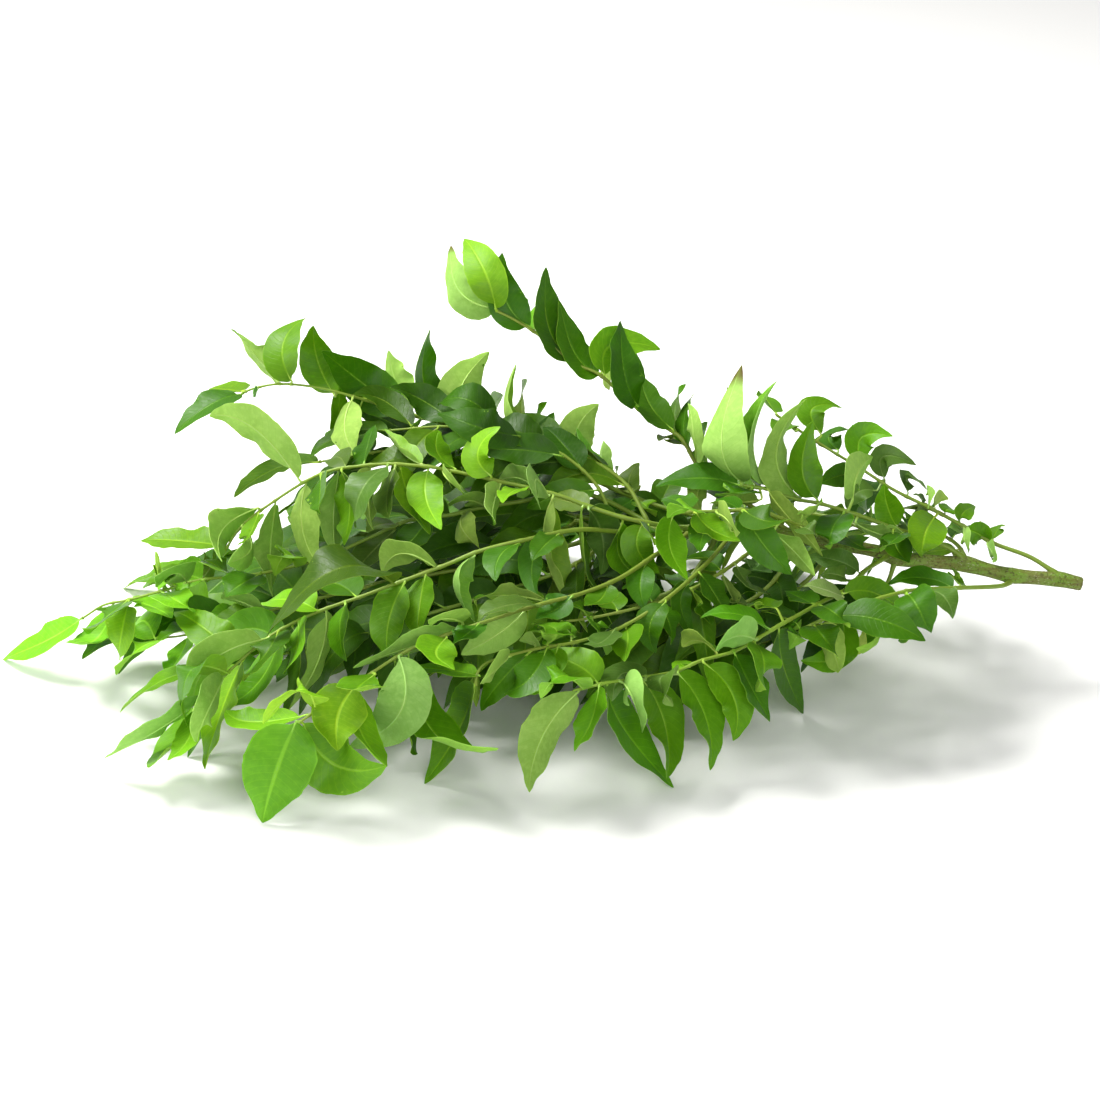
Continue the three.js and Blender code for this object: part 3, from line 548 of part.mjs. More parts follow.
    leaflets: [
      [44.2, 23.39, 70.76, 42.89, 29.7, 68.08, 36.68, 33.57, 67.64, 25.76, 41.57, 64.12, -0.477, -0.04, 0.878, 11.82, 10, -1.8, 2],
      [42.85, 23.98, 71.04, 41.44, 21.91, 71.23, 35.64, 16.96, 69.6, 30.09, 13.44, 68.87, 0.207, 0.062, 0.976, 12.46, 10, 6.6, 2],
      [44.2, 23.39, 70.76, 45.15, 20.19, 70.98, 46.83, 9.83, 73.73, 51.22, 13.05, 67.65, -0.049, 0.112, 0.993, 10.81, 10, -11.8, 2],
      [41.5, 24.57, 71.31, 41.83, 26.94, 71.86, 39.98, 25.57, 78.77, 44.39, 34.13, 83.39, -0.323, -0.216, 0.921, 12.05, 10, -3.9, 2],
      [34.77, 27.15, 73.31, 35.06, 30.72, 73.37, 34.79, 40.21, 73.27, 35.59, 39.84, 79.06, -0.901, 0.051, -0.431, 11, 10, -12, 2],
      [32.07, 28.18, 74.12, 33.25, 27.77, 75.94, 21.35, 34.81, 85.42, 17.93, 39.08, 97.03, 0.77, -0.244, 0.59, 11.5, 42, -7.9, 2],
      [32.07, 28.18, 74.12, 32.88, 30.94, 75.47, 28.7, 39.73, 81.9, 29.68, 49.45, 86.61, 0.899, 0.293, -0.326, 13.12, 10, 6.7, 2],
      [16.98, 32.46, 78.91, 17.43, 32.99, 80.06, 17.53, 40.87, 94.43, 27.32, 44.34, 105.92, -0.001, 0.911, -0.413, 16.69, 10, -13.2, 2],
      [15.59, 32.75, 79.38, 15.13, 36.06, 79.33, 5.99, 42.35, 89.17, 8.14, 48.89, 100.35, -0.042, -0.851, 0.523, 13.25, 10, -1.3, 2],
      [2.08, 35.45, 85.12, 2.21, 39.32, 85.02, -0.49, 55.37, 90.2, 4.71, 50.81, 104.19, -0.889, 0.21, -0.406, 15.26, 10, 11.6, 2],
      [-0.53, 35.96, 86.49, -0.83, 34.17, 88.87, -12.73, 39.41, 102.89, -8.24, 65.44, 115.89, 0.94, -0.275, 0.202, 12.33, 42, 10.8, 3],
      [-4.46, 36.72, 88.54, -4.46, 39.86, 88.82, -6.13, 62.8, 97.87, -4.21, 45.63, 116.42, -0.906, 0.314, -0.283, 15.07, 10, -2.6, 2],
      [-15.75, 38.17, 92.2, -15.68, 40.39, 92.87, -17.76, 57.96, 96.6, -13.66, 48.23, 108.47, -0.976, 0.025, -0.215, 16.96, 10, -3.8, 2],
      [-17.19, 38.32, 92.59, -17.39, 32.81, 96.45, -26.89, 53.68, 101.23, -21.85, 53.97, 120.6, -0.506, -0.782, 0.364, 11.68, 10, 2.1, 2],
      [-31.59, 39.83, 96.43, -31.04, 39, 98.3, -31.79, 41.09, 113.67, -19.78, 62.43, 122.61, -0.04, 0.915, -0.403, 19.63, 10, 4.6, 2],
      [-34.47, 39.98, 97.22, -34.82, 41.79, 98.11, -47.47, 51.19, 111.88, -43.92, 47.84, 139.2, 0.782, -0.529, 0.329, 19.68, 10, 11.6, 3],
      [-25.83, 39.23, 94.89, -26.5, 36.89, 94.26, -27.93, 14.89, 99.01, -31.48, 32.26, 85.13, -0.306, -0.218, 0.927, 12.36, 10, -10.7, 2],
      [-28.71, 39.53, 95.66, -29.25, 36.03, 95.57, -32.77, 35.6, 91.11, -33.76, 24.64, 89.8, -0.526, 0.115, 0.843, 12.68, 10, 10.4, 2],
      [-41.68, 40.37, 99.2, -41.69, 37.28, 98.94, -43.88, 27.84, 97.65, -44.56, 28.74, 94.45, -0.783, 0.016, 0.621, 12.34, 10, 2.6, 2],
      [-47.45, 40.68, 100.79, -48.57, 38.05, 100.94, -51.6, 30.97, 99.52, -57.23, 40.55, 93.17, -0.835, 0.297, 0.463, 10.73, 10, -3.5, 2],
      [-51.78, 40.91, 101.98, -52.43, 43.93, 102.21, -59.64, 55.31, 111.61, -62.62, 60.7, 124.21, 0.718, 0.597, -0.357, 17.14, 10, -5.8, 2],
      [-56.07, 41.07, 103.28, -57.36, 43.16, 103.35, -72.78, 52.33, 111.42, -89.91, 42.2, 130.98, 0.026, -0.863, 0.504, 20.4, 10, -4.9, 3],
      [-50.34, 40.83, 101.58, -51.77, 44.95, 100.74, -63.59, 56.26, 89.83, -66.77, 50.72, 108.85, 0.21, 0.154, 0.965, 12.99, 42, 0.1, 3],
      [-84.36, 40.48, 113.09, -85.13, 43.73, 109.85, -92.97, 57.37, 120, -94.23, 52.99, 138.14, -0.056, -0.704, 0.708, 16.69, 10, 13.1, 3],
      [-71.58, 41.08, 108.84, -72.78, 44.95, 108.49, -82.94, 49.42, 94.09, -82.88, 51.9, 116.66, 0.213, -0.164, 0.963, 15.81, 10, -0.4, 2],
      [-77.26, 40.81, 110.73, -77.54, 37.93, 110.38, -79.87, 23.52, 102.65, -74.4, 12.92, 95.75, 0.662, 0.421, -0.62, 17.08, 10, 12.2, 2],
      [-103.39, 39.37, 116.79, -102.89, 38.56, 118.85, -106.6, 45.58, 132.38, -98, 64.14, 137.99, -0.451, -0.5, 0.739, 18.03, 10, -4.7, 3],
      [-107.85, 39.1, 117.22, -109.08, 42.33, 117.12, -119.21, 55.41, 123.98, -128.54, 51.79, 137.69, 0.788, 0.577, 0.213, 17.1, 10, 2.6, 2],
      [-122.35, 38.06, 114.24, -124.12, 40.43, 113.42, -131.51, 52.17, 109.18, -140.97, 63.7, 105.44, -0.25, 0.168, 0.953, 15.29, 10, -10.4, 2],
      [-123.65, 38.1, 113.51, -124.72, 35.71, 113.7, -136.61, 27.24, 112.48, -151.52, 20.29, 102.19, -0.211, -0.235, 0.949, 16.71, 10, -3, 2],
      [-116.71, 38.34, 116.09, -117.53, 37.14, 115.3, -117.81, 34.95, 115.25, -119.26, 31.91, 114.66, -0.949, 0.303, 0.092, 5.5, 10, 0.5, 2],
    ],
  },
  {
    name: "leaf_15",
    baseRadius: 1.2, tipRadius: 0.55,
    rachis: [
      [83.36, -9.63, 70.85],
      [74.61, -29.86, 70.57],
      [69.12, -40.53, 69.66],
      [59.72, -53.86, 66.9],
      [49.72, -64.63, 63.71],
      [39.32, -72.61, 60.34],
      [29.22, -78.78, 58.18],
      [15.67, -85.25, 57.18],
      [-2.2, -93.13, 57.66],
      [-17.14, -100.14, 56.43],
      [-19.67, -101.46, 55.51],
      [-21.52, -102.73, 53.55],
      [-22.51, -104.9, 48.12],
    ],
    leaflets: [
      [-21.76, -103.26, 52.23, -20.92, -104.45, 52.28, -34.98, -93.02, 49.05, -50, -84.46, 45.54, -0.088, 0.002, 0.996, 12.36, 10, -4.8, 2],
      [-22.26, -104.36, 49.49, -23.09, -103.65, 47.78, -30.21, -92.75, 21.17, -43.95, -97.22, 0, -0.836, -0.474, 0.277, 20.81, 20, -13.7, 3],
      [-0.83, -92.52, 57.62, -1.7, -93.48, 57, -12.45, -98.18, 47.28, -21.17, -100.36, 34.66, -0.482, -0.598, 0.641, 14.31, 10, -12.4, 2],
      [6.05, -89.49, 57.44, 5.14, -92.78, 58.22, -2.12, -110.89, 53.86, -11.55, -106.46, 46.29, 0.019, -0.405, 0.914, 15.23, 10, 3.7, 2],
      [10.18, -87.67, 57.33, 9.49, -91.1, 57.84, 4.46, -100.53, 50.7, -3.42, -98.99, 41.06, -0.258, -0.291, 0.921, 14.78, 10, 12.8, 2],
      [-8.99, -96.32, 57.1, -10.05, -97.47, 56.92, -14.19, -107.75, 57.49, -20.51, -121.93, 57.85, -0.849, 0.377, 0.369, 14.18, 10, 11.8, 2],
      [6.05, -89.49, 57.44, 5.26, -90.38, 59.31, 8.77, -94.02, 67.16, -1.1, -80.87, 64.15, 0.145, 0.114, 0.983, 13.79, 10, 0.5, 2],
      [17.03, -84.6, 57.28, 15.68, -81.39, 55.94, 7.63, -64.28, 50.1, -2.41, -66.59, 53.5, -0.368, -0.02, 0.93, 14.45, 10, 8.3, 2],
      [33.01, -76.47, 58.99, 31.77, -79.78, 59.81, 26.03, -94.79, 61.85, 19.74, -96.16, 62.54, 0.033, 0.234, 0.972, 13, 10, -0.6, 2],
      [15.67, -85.25, 57.18, 14.85, -83.7, 57.64, 14.34, -82.6, 60.59, 10.37, -84.33, 65.86, 0.979, 0.197, -0.056, 11.41, 10, -5.9, 2],
      [36.79, -74.15, 59.8, 36.75, -73.58, 57.78, 37.26, -85.27, 58.39, 35.34, -101.45, 57.77, -0.43, -0.01, 0.903, 14.45, 10, 11.3, 2],
      [52.72, -61.4, 64.67, 52.53, -64.75, 64.72, 46.33, -72.31, 58.57, 48.55, -71.38, 44.68, -0.384, -0.59, 0.71, 12.99, 10, 8, 2],
      [62.28, -50.23, 67.66, 62.52, -49.44, 65.76, 59.25, -54.5, 58, 66.13, -52.29, 41.11, 0.469, -0.646, 0.602, 10.2, 10, -4.7, 2],
      [66.56, -44.17, 68.91, 67.32, -47.5, 69.23, 73.09, -53.27, 62.66, 78.37, -56.84, 54.06, 0.399, -0.283, 0.872, 13.13, 10, -1.4, 2],
      [1.92, -91.31, 57.55, 0.65, -88.13, 56.83, 0.11, -87.06, 58.4, -5.49, -80.58, 56.03, 0.774, 0.416, 0.477, 10.38, 10, 0.8, 2],
    ],
  },
  {
    name: "leaf_16",
    baseRadius: 1.3, tipRadius: 0.55,
    rachis: [
      [75.51, -8.73, 70.92],
      [74.98, -9.9, 71.21],
      [66.47, -17.31, 75.27],
      [59.05, -21.49, 78.06],
      [49.39, -24.31, 80.93],
      [37.79, -24.92, 83.78],
      [10.84, -20.96, 91.94],
      [-5.08, -18.07, 95.05],
      [-41.13, -9.02, 99.59],
      [-61.81, -5.66, 99.68],
      [-82.54, -4.72, 96.81],
      [-88.26, -4.88, 95.05],
      [-94.93, -5.35, 91.69],
      [-109.99, -7.15, 82.06],
      [-119.57, -9.27, 75.19],
      [-124.55, -10.75, 69.83],
      [-130.02, -12.9, 61.15],
    ],
    leaflets: [
      [43.59, -24.62, 82.35, 44.14, -25.64, 81.24, 42.42, -31.35, 72.5, 51.8, -25.65, 59.38, -0.121, -0.763, 0.635, 13.74, 10, 11.5, 2],
      [36.37, -24.72, 84.21, 35.95, -24.06, 80.87, 35.77, -21.24, 63.23, 49.99, -31.58, 57.64, 0.531, -0.649, 0.545, 14.51, 10, 8.4, 2],
      [46.5, -24.46, 81.64, 46.84, -27.88, 81.61, 46.98, -38.27, 83.78, 49.18, -35.77, 76.81, 0.559, 0.083, 0.825, 10.62, 10, 0.7, 2],
      [22.19, -22.63, 88.5, 22.33, -25.76, 88.01, 27.99, -12.84, 70.73, 27.74, -32.83, 62.33, 0.304, -0.88, 0.365, 17.94, 10, -2.8, 2],
      [20.77, -22.42, 88.93, 19.51, -24.07, 88.06, 21.02, -28.07, 61.78, 32.22, -49.85, 48.03, 0.977, -0.07, 0.201, 19.43, 10, 8.4, 3],
      [23.61, -22.84, 88.07, 22.14, -20.59, 87.1, 14.67, -13.63, 86.08, 6.01, -2.65, 83.44, -0.474, -0.187, 0.86, 12.42, 10, -13.2, 2],
      [7.94, -20.43, 92.51, 7.24, -24.03, 91.63, 5.6, -24.96, 64.06, 22.49, -37.59, 38.14, 0.892, -0.3, 0.339, 18.9, 42, 6.1, 3],
      [2.15, -19.38, 93.64, 0.77, -17.43, 93.27, -5.96, -8.67, 94.71, -14.43, 3.55, 88.44, 0.721, 0.561, 0.405, 14.14, 10, -3.8, 2],
      [6.5, -20.17, 92.79, 5.72, -22.24, 92.53, 0.35, -32.01, 104.06, 2.39, -41.8, 95.16, -0.943, 0.09, -0.32, 14.37, 10, -9.4, 2],
      [-3.63, -18.33, 94.76, -4.88, -19.57, 94.58, -9.02, -28.97, 97.4, -12.89, -41.96, 99.2, -0.127, 0.244, 0.962, 12.14, 10, 2.6, 2],
      [-18.06, -14.81, 96.68, -17.84, -15.33, 98.61, -23.09, -12.08, 107.84, -14.05, -8.89, 118.04, -0.549, -0.357, 0.756, 15.61, 10, 10.2, 2],
      [-13.73, -15.9, 96.14, -13.98, -17.27, 95.32, -16.8, -28.19, 91.26, -16.56, -43.27, 90.07, -0.943, 0.153, -0.296, 15.06, 10, 8, 2],
      [-36.8, -10.11, 99.04, -37.52, -13.33, 99.44, -33.63, -20.84, 97.81, -29.12, -9.18, 88.61, 0.9, 0.353, 0.254, 13.81, 10, -13.2, 2],
      [-18.06, -14.81, 96.68, -19.4, -12.15, 96.38, -24.24, -2.62, 94.77, -29.91, 7.6, 93.04, 0.084, 0.246, 0.966, 13.03, 10, -7.7, 2],
      [-32.48, -11.19, 98.5, -33.06, -8.03, 98.8, -40.2, -4.36, 104.53, -39.56, 4.36, 110.7, 0.522, -0.069, 0.85, 15.29, 10, -10.4, 2],
      [-44.08, -8.54, 99.6, -43.77, -8.21, 98.12, -44.42, -19.65, 90.57, -37.41, -47.24, 89.67, -0.089, -0.523, 0.848, 15.71, 10, -4.6, 2],
      [-55.9, -6.62, 99.65, -55.35, -5.57, 98.11, -51.31, -13.36, 86.86, -42.46, -33.54, 80.71, 0.599, -0.273, 0.753, 18.04, 10, 10.9, 3],
      [-45.55, -8.3, 99.61, -46.59, -6.73, 100.27, -55.79, 2.19, 102.62, -62.4, 12.81, 108.06, 0.406, 0.075, 0.911, 11.76, 42, -8.8, 2],
      [-60.33, -5.9, 99.67, -60.88, -9.04, 99.8, -69.96, -28.92, 98.26, -73.86, -26.06, 79.98, -0.366, -0.361, 0.858, 18.29, 10, -13.9, 3],
      [-67.72, -5.39, 98.86, -67.84, -4.31, 97.19, -68.38, -17.22, 88.59, -65.91, -35.6, 83.45, -0.916, 0.169, -0.363, 17.73, 10, -5.1, 3],
      [-57.38, -6.38, 99.66, -57.43, -9.4, 99.72, -59.82, -21.87, 94.25, -59.71, -35.22, 89.08, -0.807, -0.161, 0.568, 17.62, 10, -12.6, 2],
      [-70.69, -5.25, 98.45, -70.36, -3.44, 99.55, -69.27, 6.43, 103.07, -67.22, 17.29, 107.99, -0.766, -0.07, 0.638, 17.29, 10, 3.5, 2],
      [-76.62, -4.99, 97.63, -78.17, -2.89, 97.34, -81.96, 7.08, 97.36, -87.4, 17.26, 90.69, -0.524, 0.069, 0.849, 12.16, 10, 12.8, 2],
      [-81.06, -4.78, 97.02, -81.18, -3.9, 95.18, -83.97, -4.95, 73.98, -81.07, -29.53, 63.95, -0.789, 0.601, -0.127, 17.73, 10, 4.4, 3],
      [-79.58, -4.85, 97.22, -79.39, -7.93, 97.2, -76.1, -14.06, 83.56, -78.7, -24.46, 71.55, -0.865, -0.37, 0.34, 17.89, 10, -8, 3],
      [-88.26, -4.88, 95.05, -88.19, -8.09, 94.89, -87.77, -20.5, 92.3, -88.33, -27.14, 86.31, -0.858, -0.119, 0.5, 16.83, 10, 6.9, 2],
      [-96.18, -5.5, 90.89, -97.96, -4.27, 92.78, -115.77, 0.51, 113.21, -134.45, 7.11, 116.28, 0.435, 0.863, 0.258, 20.96, 10, 9, 3],
      [-94.93, -5.35, 91.69, -94.77, -4.87, 89.92, -95.92, -12.94, 73.06, -88.49, -24.17, 61.41, 0.76, 0.574, -0.304, 19.27, 10, -10.4, 3],
      [-107.48, -6.85, 83.67, -107.63, -6.47, 81.97, -111.21, -1, 56.03, -108.74, -20.89, 45.6, -0.795, 0.593, -0.127, 16.7, 10, -8.4, 2],
      [-113.58, -7.94, 79.49, -114.95, -9.41, 81.47, -129.95, -8.88, 71.2, -127.94, -31.82, 67.3, -0.802, 0.557, -0.216, 17.81, 10, 5.3, 3],
      [-113.58, -7.94, 79.49, -114.23, -11.05, 79.73, -116.26, -29, 78.62, -119.7, -24.73, 73.95, -0.638, 0.098, 0.764, 14.59, 10, 0.4, 2],
      [-127.68, -11.98, 64.87, -129.5, -8.8, 63.51, -148.62, 4.85, 59.81, -167.27, 11.61, 57.14, -0.213, -0.048, 0.976, 18.81, 10, -12, 3],
      [-120.56, -9.56, 74.12, -121.01, -12.76, 74.24, -117.67, -18.5, 66.51, -126.18, -33.06, 67.43, -0.984, 0.176, -0.028, 18.58, 10, -12.6, 3],
    ],
  },
  {
    name: "leaf_17",
    baseRadius: 1.2, tipRadius: 0.55,
    rachis: [
      [75.53, -8.43, 70.14],
      [75.12, -7.9, 66],
      [67.2, -15.57, 55.79],
      [61.98, -18.29, 51.18],
      [56.95, -19.43, 48.09],
      [50.21, -19.98, 44.83],
      [34.68, -19.11, 39.31],
      [13.14, -15, 34.1],
      [-11.09, -8.42, 29.32],
      [-42.31, 1.31, 24.39],
      [-73.68, 10.68, 19.71],
      [-93.94, 15.78, 17.16],
      [-112.88, 20.1, 15],
    ],
    leaflets: [
      [61.98, -18.29, 51.18, 62.67, -20.23, 50.29, 68.57, -42.99, 46.09, 70.92, -67.05, 24.32, -0.704, -0.136, 0.697, 16.16, 8.8, 13.4, 2],
      [52.91, -19.76, 46.13, 51.42, -16.39, 45.35, 36.55, -9.97, 53.62, 21.08, 0.18, 40.43, -0.054, -0.341, 0.939, 17.6, 17.2, 15.4, 2],
      [41.74, -19.51, 41.81, 40.34, -21.38, 40.82, 28.64, -33.66, 35.67, 15.87, -56.1, 21.36, -0.026, -0.475, 0.88, 15.61, 11.2, -12.1, 2],
      [33.24, -18.84, 38.96, 32.63, -14.92, 38.53, 26.15, 8.89, 41.5, 16.99, 7.5, 47.11, -0.389, 0.442, 0.808, 18.08, 8.5, 2.8, 3],
      [24.63, -17.19, 36.88, 23.7, -17.25, 34.78, 12.8, -22.3, 16.4, 3.7, -49, 5.5, -0.196, 0.017, 0.981, 14, 11, -14, 3],
      [14.57, -15.28, 34.45, 13.85, -11.43, 34.2, 7.38, -4.48, 47.41, -1.04, 3.36, 54.06, -0.362, 0.576, 0.733, 16.26, 17.9, 10.5, 2],
      [4.59, -12.68, 32.41, 3.01, -15.79, 32.4, -11.2, -16.87, 18.72, -29.51, -25.7, 1.2, 0.106, -0.568, 0.816, 16.01, 14.8, -10.9, 3],
      [-3.96, -10.36, 30.73, -4.33, -6.42, 30.28, -7.94, 17.08, 39.18, -14.06, 6.75, 46.89, -0.373, 0.28, 0.885, 21.52, 10.3, 1, 3],
      [-13.93, -7.54, 28.87, -15.84, -9.5, 28.66, -36.8, -10.36, 19.38, -57.9, -23.86, 8.33, -0.32, -0.348, 0.881, 19.29, 14.1, -8.1, 3],
      [-23.86, -4.44, 27.3, -25.33, -0.93, 26.61, -40.19, 17.76, 32.65, -55.34, 12.48, 43.32, -0.366, -0.262, 0.893, 21.18, 8, 7.1, 3],
      [-32.38, -1.79, 25.96, -34.33, -1.7, 25.08, -53.12, -18.58, 26.18, -72.33, -32.77, 7.68, -0.16, -0.297, 0.941, 18.27, 16.1, 12.4, 3],
      [-40.89, 0.87, 24.61, -42.42, 4.46, 23.93, -56.94, 21.87, 29.49, -70.82, 7.63, 33.82, -0.313, -0.502, 0.806, 18.26, 10.8, -9.4, 3],
      [-50.87, 3.87, 23.11, -52.51, 0.73, 23.54, -70.57, -12.86, 20.04, -90.7, -8.96, 1.2, -0.29, -0.344, 0.893, 20.6, 13.7, -16.4, 3],
      [-60.85, 6.85, 21.62, -62.18, 10.72, 20.73, -74.85, 31.13, 21.08, -87.46, 28, 22.65, -0.13, -0.432, 0.892, 17.9, 10.8, 4.9, 3],
      [-70.83, 9.83, 20.13, -72.91, 9.96, 20.64, -95.93, 20.65, 23.56, -116.81, 2.53, 15.8, -0.32, -0.502, 0.804, 20.38, 6.2, 17.6, 3],
      [-79.47, 12.14, 18.98, -80.87, 15.83, 18.21, -93.86, 29.29, 23.47, -107.86, 35.63, 24.1, -0.408, -0.367, 0.836, 20.75, 6.3, -8.3, 3],
      [-88.15, 14.32, 17.89, -89.73, 11.1, 19.66, -109.79, 6.68, 26.58, -129.33, -10.39, 15.26, -0.511, -0.204, 0.835, 18.64, 10.4, -3.5, 3],
      [-99.77, 17.11, 16.5, -101.51, 17.54, 17.53, -121.45, 34.25, 22.41, -141.38, 40.62, 15.68, -0.088, -0.439, 0.894, 21.76, 17, 4.3, 3],
      [-112.88, 20.1, 15, -114.26, 19.74, 15.17, -134.45, 23.37, 13.35, -152.62, 26.84, 2.48, -0.122, -0.092, 0.988, 18.06, 10, 0, 3],
    ],
  },
  {
    name: "leaf_18",
    baseRadius: 1.3, tipRadius: 0.6,
    rachis: [
      [65.51, -7.97, 70.56],
      [54.83, -26.76, 71.74],
      [48.85, -35.41, 71.7],
      [36.31, -50.26, 69.82],
      [24.76, -59.76, 68.67],
      [14.66, -66.26, 68.16],
      [-11.5, -80.99, 67.08],
      [-42.86, -94.47, 61.7],
      [-55.7, -100.94, 57.42],
      [-74.96, -112.62, 48.99],
      [-90.33, -121.9, 41.28],
    ],
    leaflets: [
      [6.81, -70.67, 67.84, 5.36, -66.23, 66.14, -9.72, -54.35, 63.18, -24.54, -59.14, 64.16, 0.227, 0.689, 0.688, 16.4, 10, -9.4, 2],
      [2.89, -72.89, 67.67, 1.5, -76, 69.25, -11.25, -86.71, 74.05, -22.55, -92.62, 70.83, 0.074, 0.138, 0.988, 16.72, 10, 7.6, 2],
      [15.92, -65.44, 68.23, 14.7, -68.24, 68.77, 8.41, -71.97, 65.07, 0.87, -77.17, 64.53, 0.291, -0.012, 0.957, 14.75, 10, 5.8, 2],
      [-2.35, -75.83, 67.46, -3.5, -75.11, 66.58, -14.17, -82.35, 59.58, -28.88, -83.81, 51.44, -0.489, 0.839, -0.24, 16.6, 10, -1.4, 2],
      [-21.04, -85.09, 65.44, -22.07, -88.51, 66.51, -25.99, -97.65, 67.22, -31.36, -102.01, 65.48, -0.056, 0.215, 0.975, 14.21, 10, -7.6, 2],
      [-26.5, -87.44, 64.51, -27.82, -86.86, 64.03, -44.86, -88.04, 58.45, -70.63, -106.91, 57.5, -0.346, 0.708, 0.616, 21.88, 10, 4.9, 3],
      [-27.86, -88.02, 64.27, -28.08, -91.37, 69.34, -33.94, -101.88, 76.27, -40.35, -98.22, 71.86, -0.303, 0.506, 0.808, 15.3, 10, 11.4, 2],
      [-34.68, -90.95, 63.1, -34.26, -92.48, 62.7, -37.93, -105.33, 61.93, -30.23, -116.35, 61.9, 0.32, 0.061, 0.945, 17.38, 10, 8.9, 2],
      [-51.85, -99, 58.7, -52.54, -101.96, 59.15, -51.96, -114.08, 41.5, -73.2, -95.49, 15.87, 0.027, 0.939, -0.344, 21.59, 10, 11.1, 3],
      [-49.28, -97.71, 59.56, -49.27, -96.4, 57.83, -38.37, -107.77, 27.93, -13.08, -138.62, 39.4, 0.564, -0.19, 0.804, 23.59, 10, -9.5, 3],
      [-54.42, -100.3, 57.85, -54.31, -99.46, 56.02, -49.63, -101.1, 28.8, -47.3, -112.73, 23.04, 0.967, -0.126, 0.221, 17.17, 10, -7.6, 2],
      [-62.92, -105.32, 54.26, -61.69, -108.53, 54.92, -67.45, -122.9, 55.76, -56.78, -120.22, 56.96, 0.086, 0.358, 0.93, 17.66, 10, -10.8, 3],
      [-68.94, -108.97, 51.63, -69.12, -112.16, 51.84, -75.64, -120.53, 43.61, -75.09, -133.44, 35.26, 0.178, -0.576, 0.798, 22.58, 10, -13.5, 2],
      [-71.35, -110.43, 50.57, -70.85, -109.71, 48.85, -66.82, -116.89, 32.86, -55.76, -137.66, 31.02, 0.694, -0.175, 0.698, 19.31, 10, -3.9, 3],
      [-83.24, -117.62, 44.84, -84.33, -120.77, 46.21, -89.28, -128.33, 58.59, -105.08, -121.46, 41.04, 0.2, 0.159, 0.967, 18.42, 10, -1.3, 3],
      [-90.33, -121.9, 41.28, -91.83, -122.37, 41.53, -99.77, -128.53, 22.88, -106.05, -129.06, 0, -0.032, -0.988, 0.151, 28.47, -10, 8.6, 3],
      [-90.33, -121.9, 41.28, -89.19, -121.17, 40.23, -77.63, -118.18, 20.25, -56.95, -130.65, 26.7, 0.234, -0.889, 0.394, 24.54, 10, 1, 3],
      [-86.78, -119.76, 43.06, -88.42, -116.63, 41.53, -110.95, -110.27, 35.05, -120.57, -106.28, 38.25, -0.192, -0.015, 0.981, 16.9, 10, -6, 2],
      [30.54, -55.01, 69.25, 29.71, -56.53, 68.79, 26.4, -66.74, 66.96, 20.26, -79.49, 71.4, 0.021, 0.096, 0.995, 12.77, 10, -5.4, 2],
      [44.99, -39.97, 71.12, 45.16, -41.34, 70.22, 42.79, -51.48, 66.28, 44.69, -59.26, 58.85, -0.022, -0.601, 0.799, 11.78, 10, 2.1, 2],
    ],
  },
  {
    name: "leaf_19",
    baseRadius: 1.3, tipRadius: 0.55,
    rachis: [
      [56.17, -7.25, 69.62],
      [45.85, 4.75, 69.6],
      [37.39, 10.37, 72.05],
      [30.85, 13.13, 74.46],
      [25.28, 14.51, 76.14],
      [18.05, 14.81, 78.08],
      [10.69, 14.1, 79.2],
      [6.35, 13.1, 78.72],
      [-3.31, 9.88, 76.27],
      [-20.87, 6.19, 74.99],
      [-35.18, 2.17, 73.1],
      [-52.63, -2.05, 72.46],
      [-81.28, -9.41, 61.74],
      [-93.86, -12.99, 58.43],
      [-99.61, -13.9, 57.04],
      [-118.32, -11.96, 52.03],
      [-137.51, -10.17, 49.18],
      [-144.71, -9.37, 47.26],
      [-168.18, -5.53, 38.11],
      [-180.84, -3.14, 34.15],
      [-191.66, -0.9, 26.48],
    ],
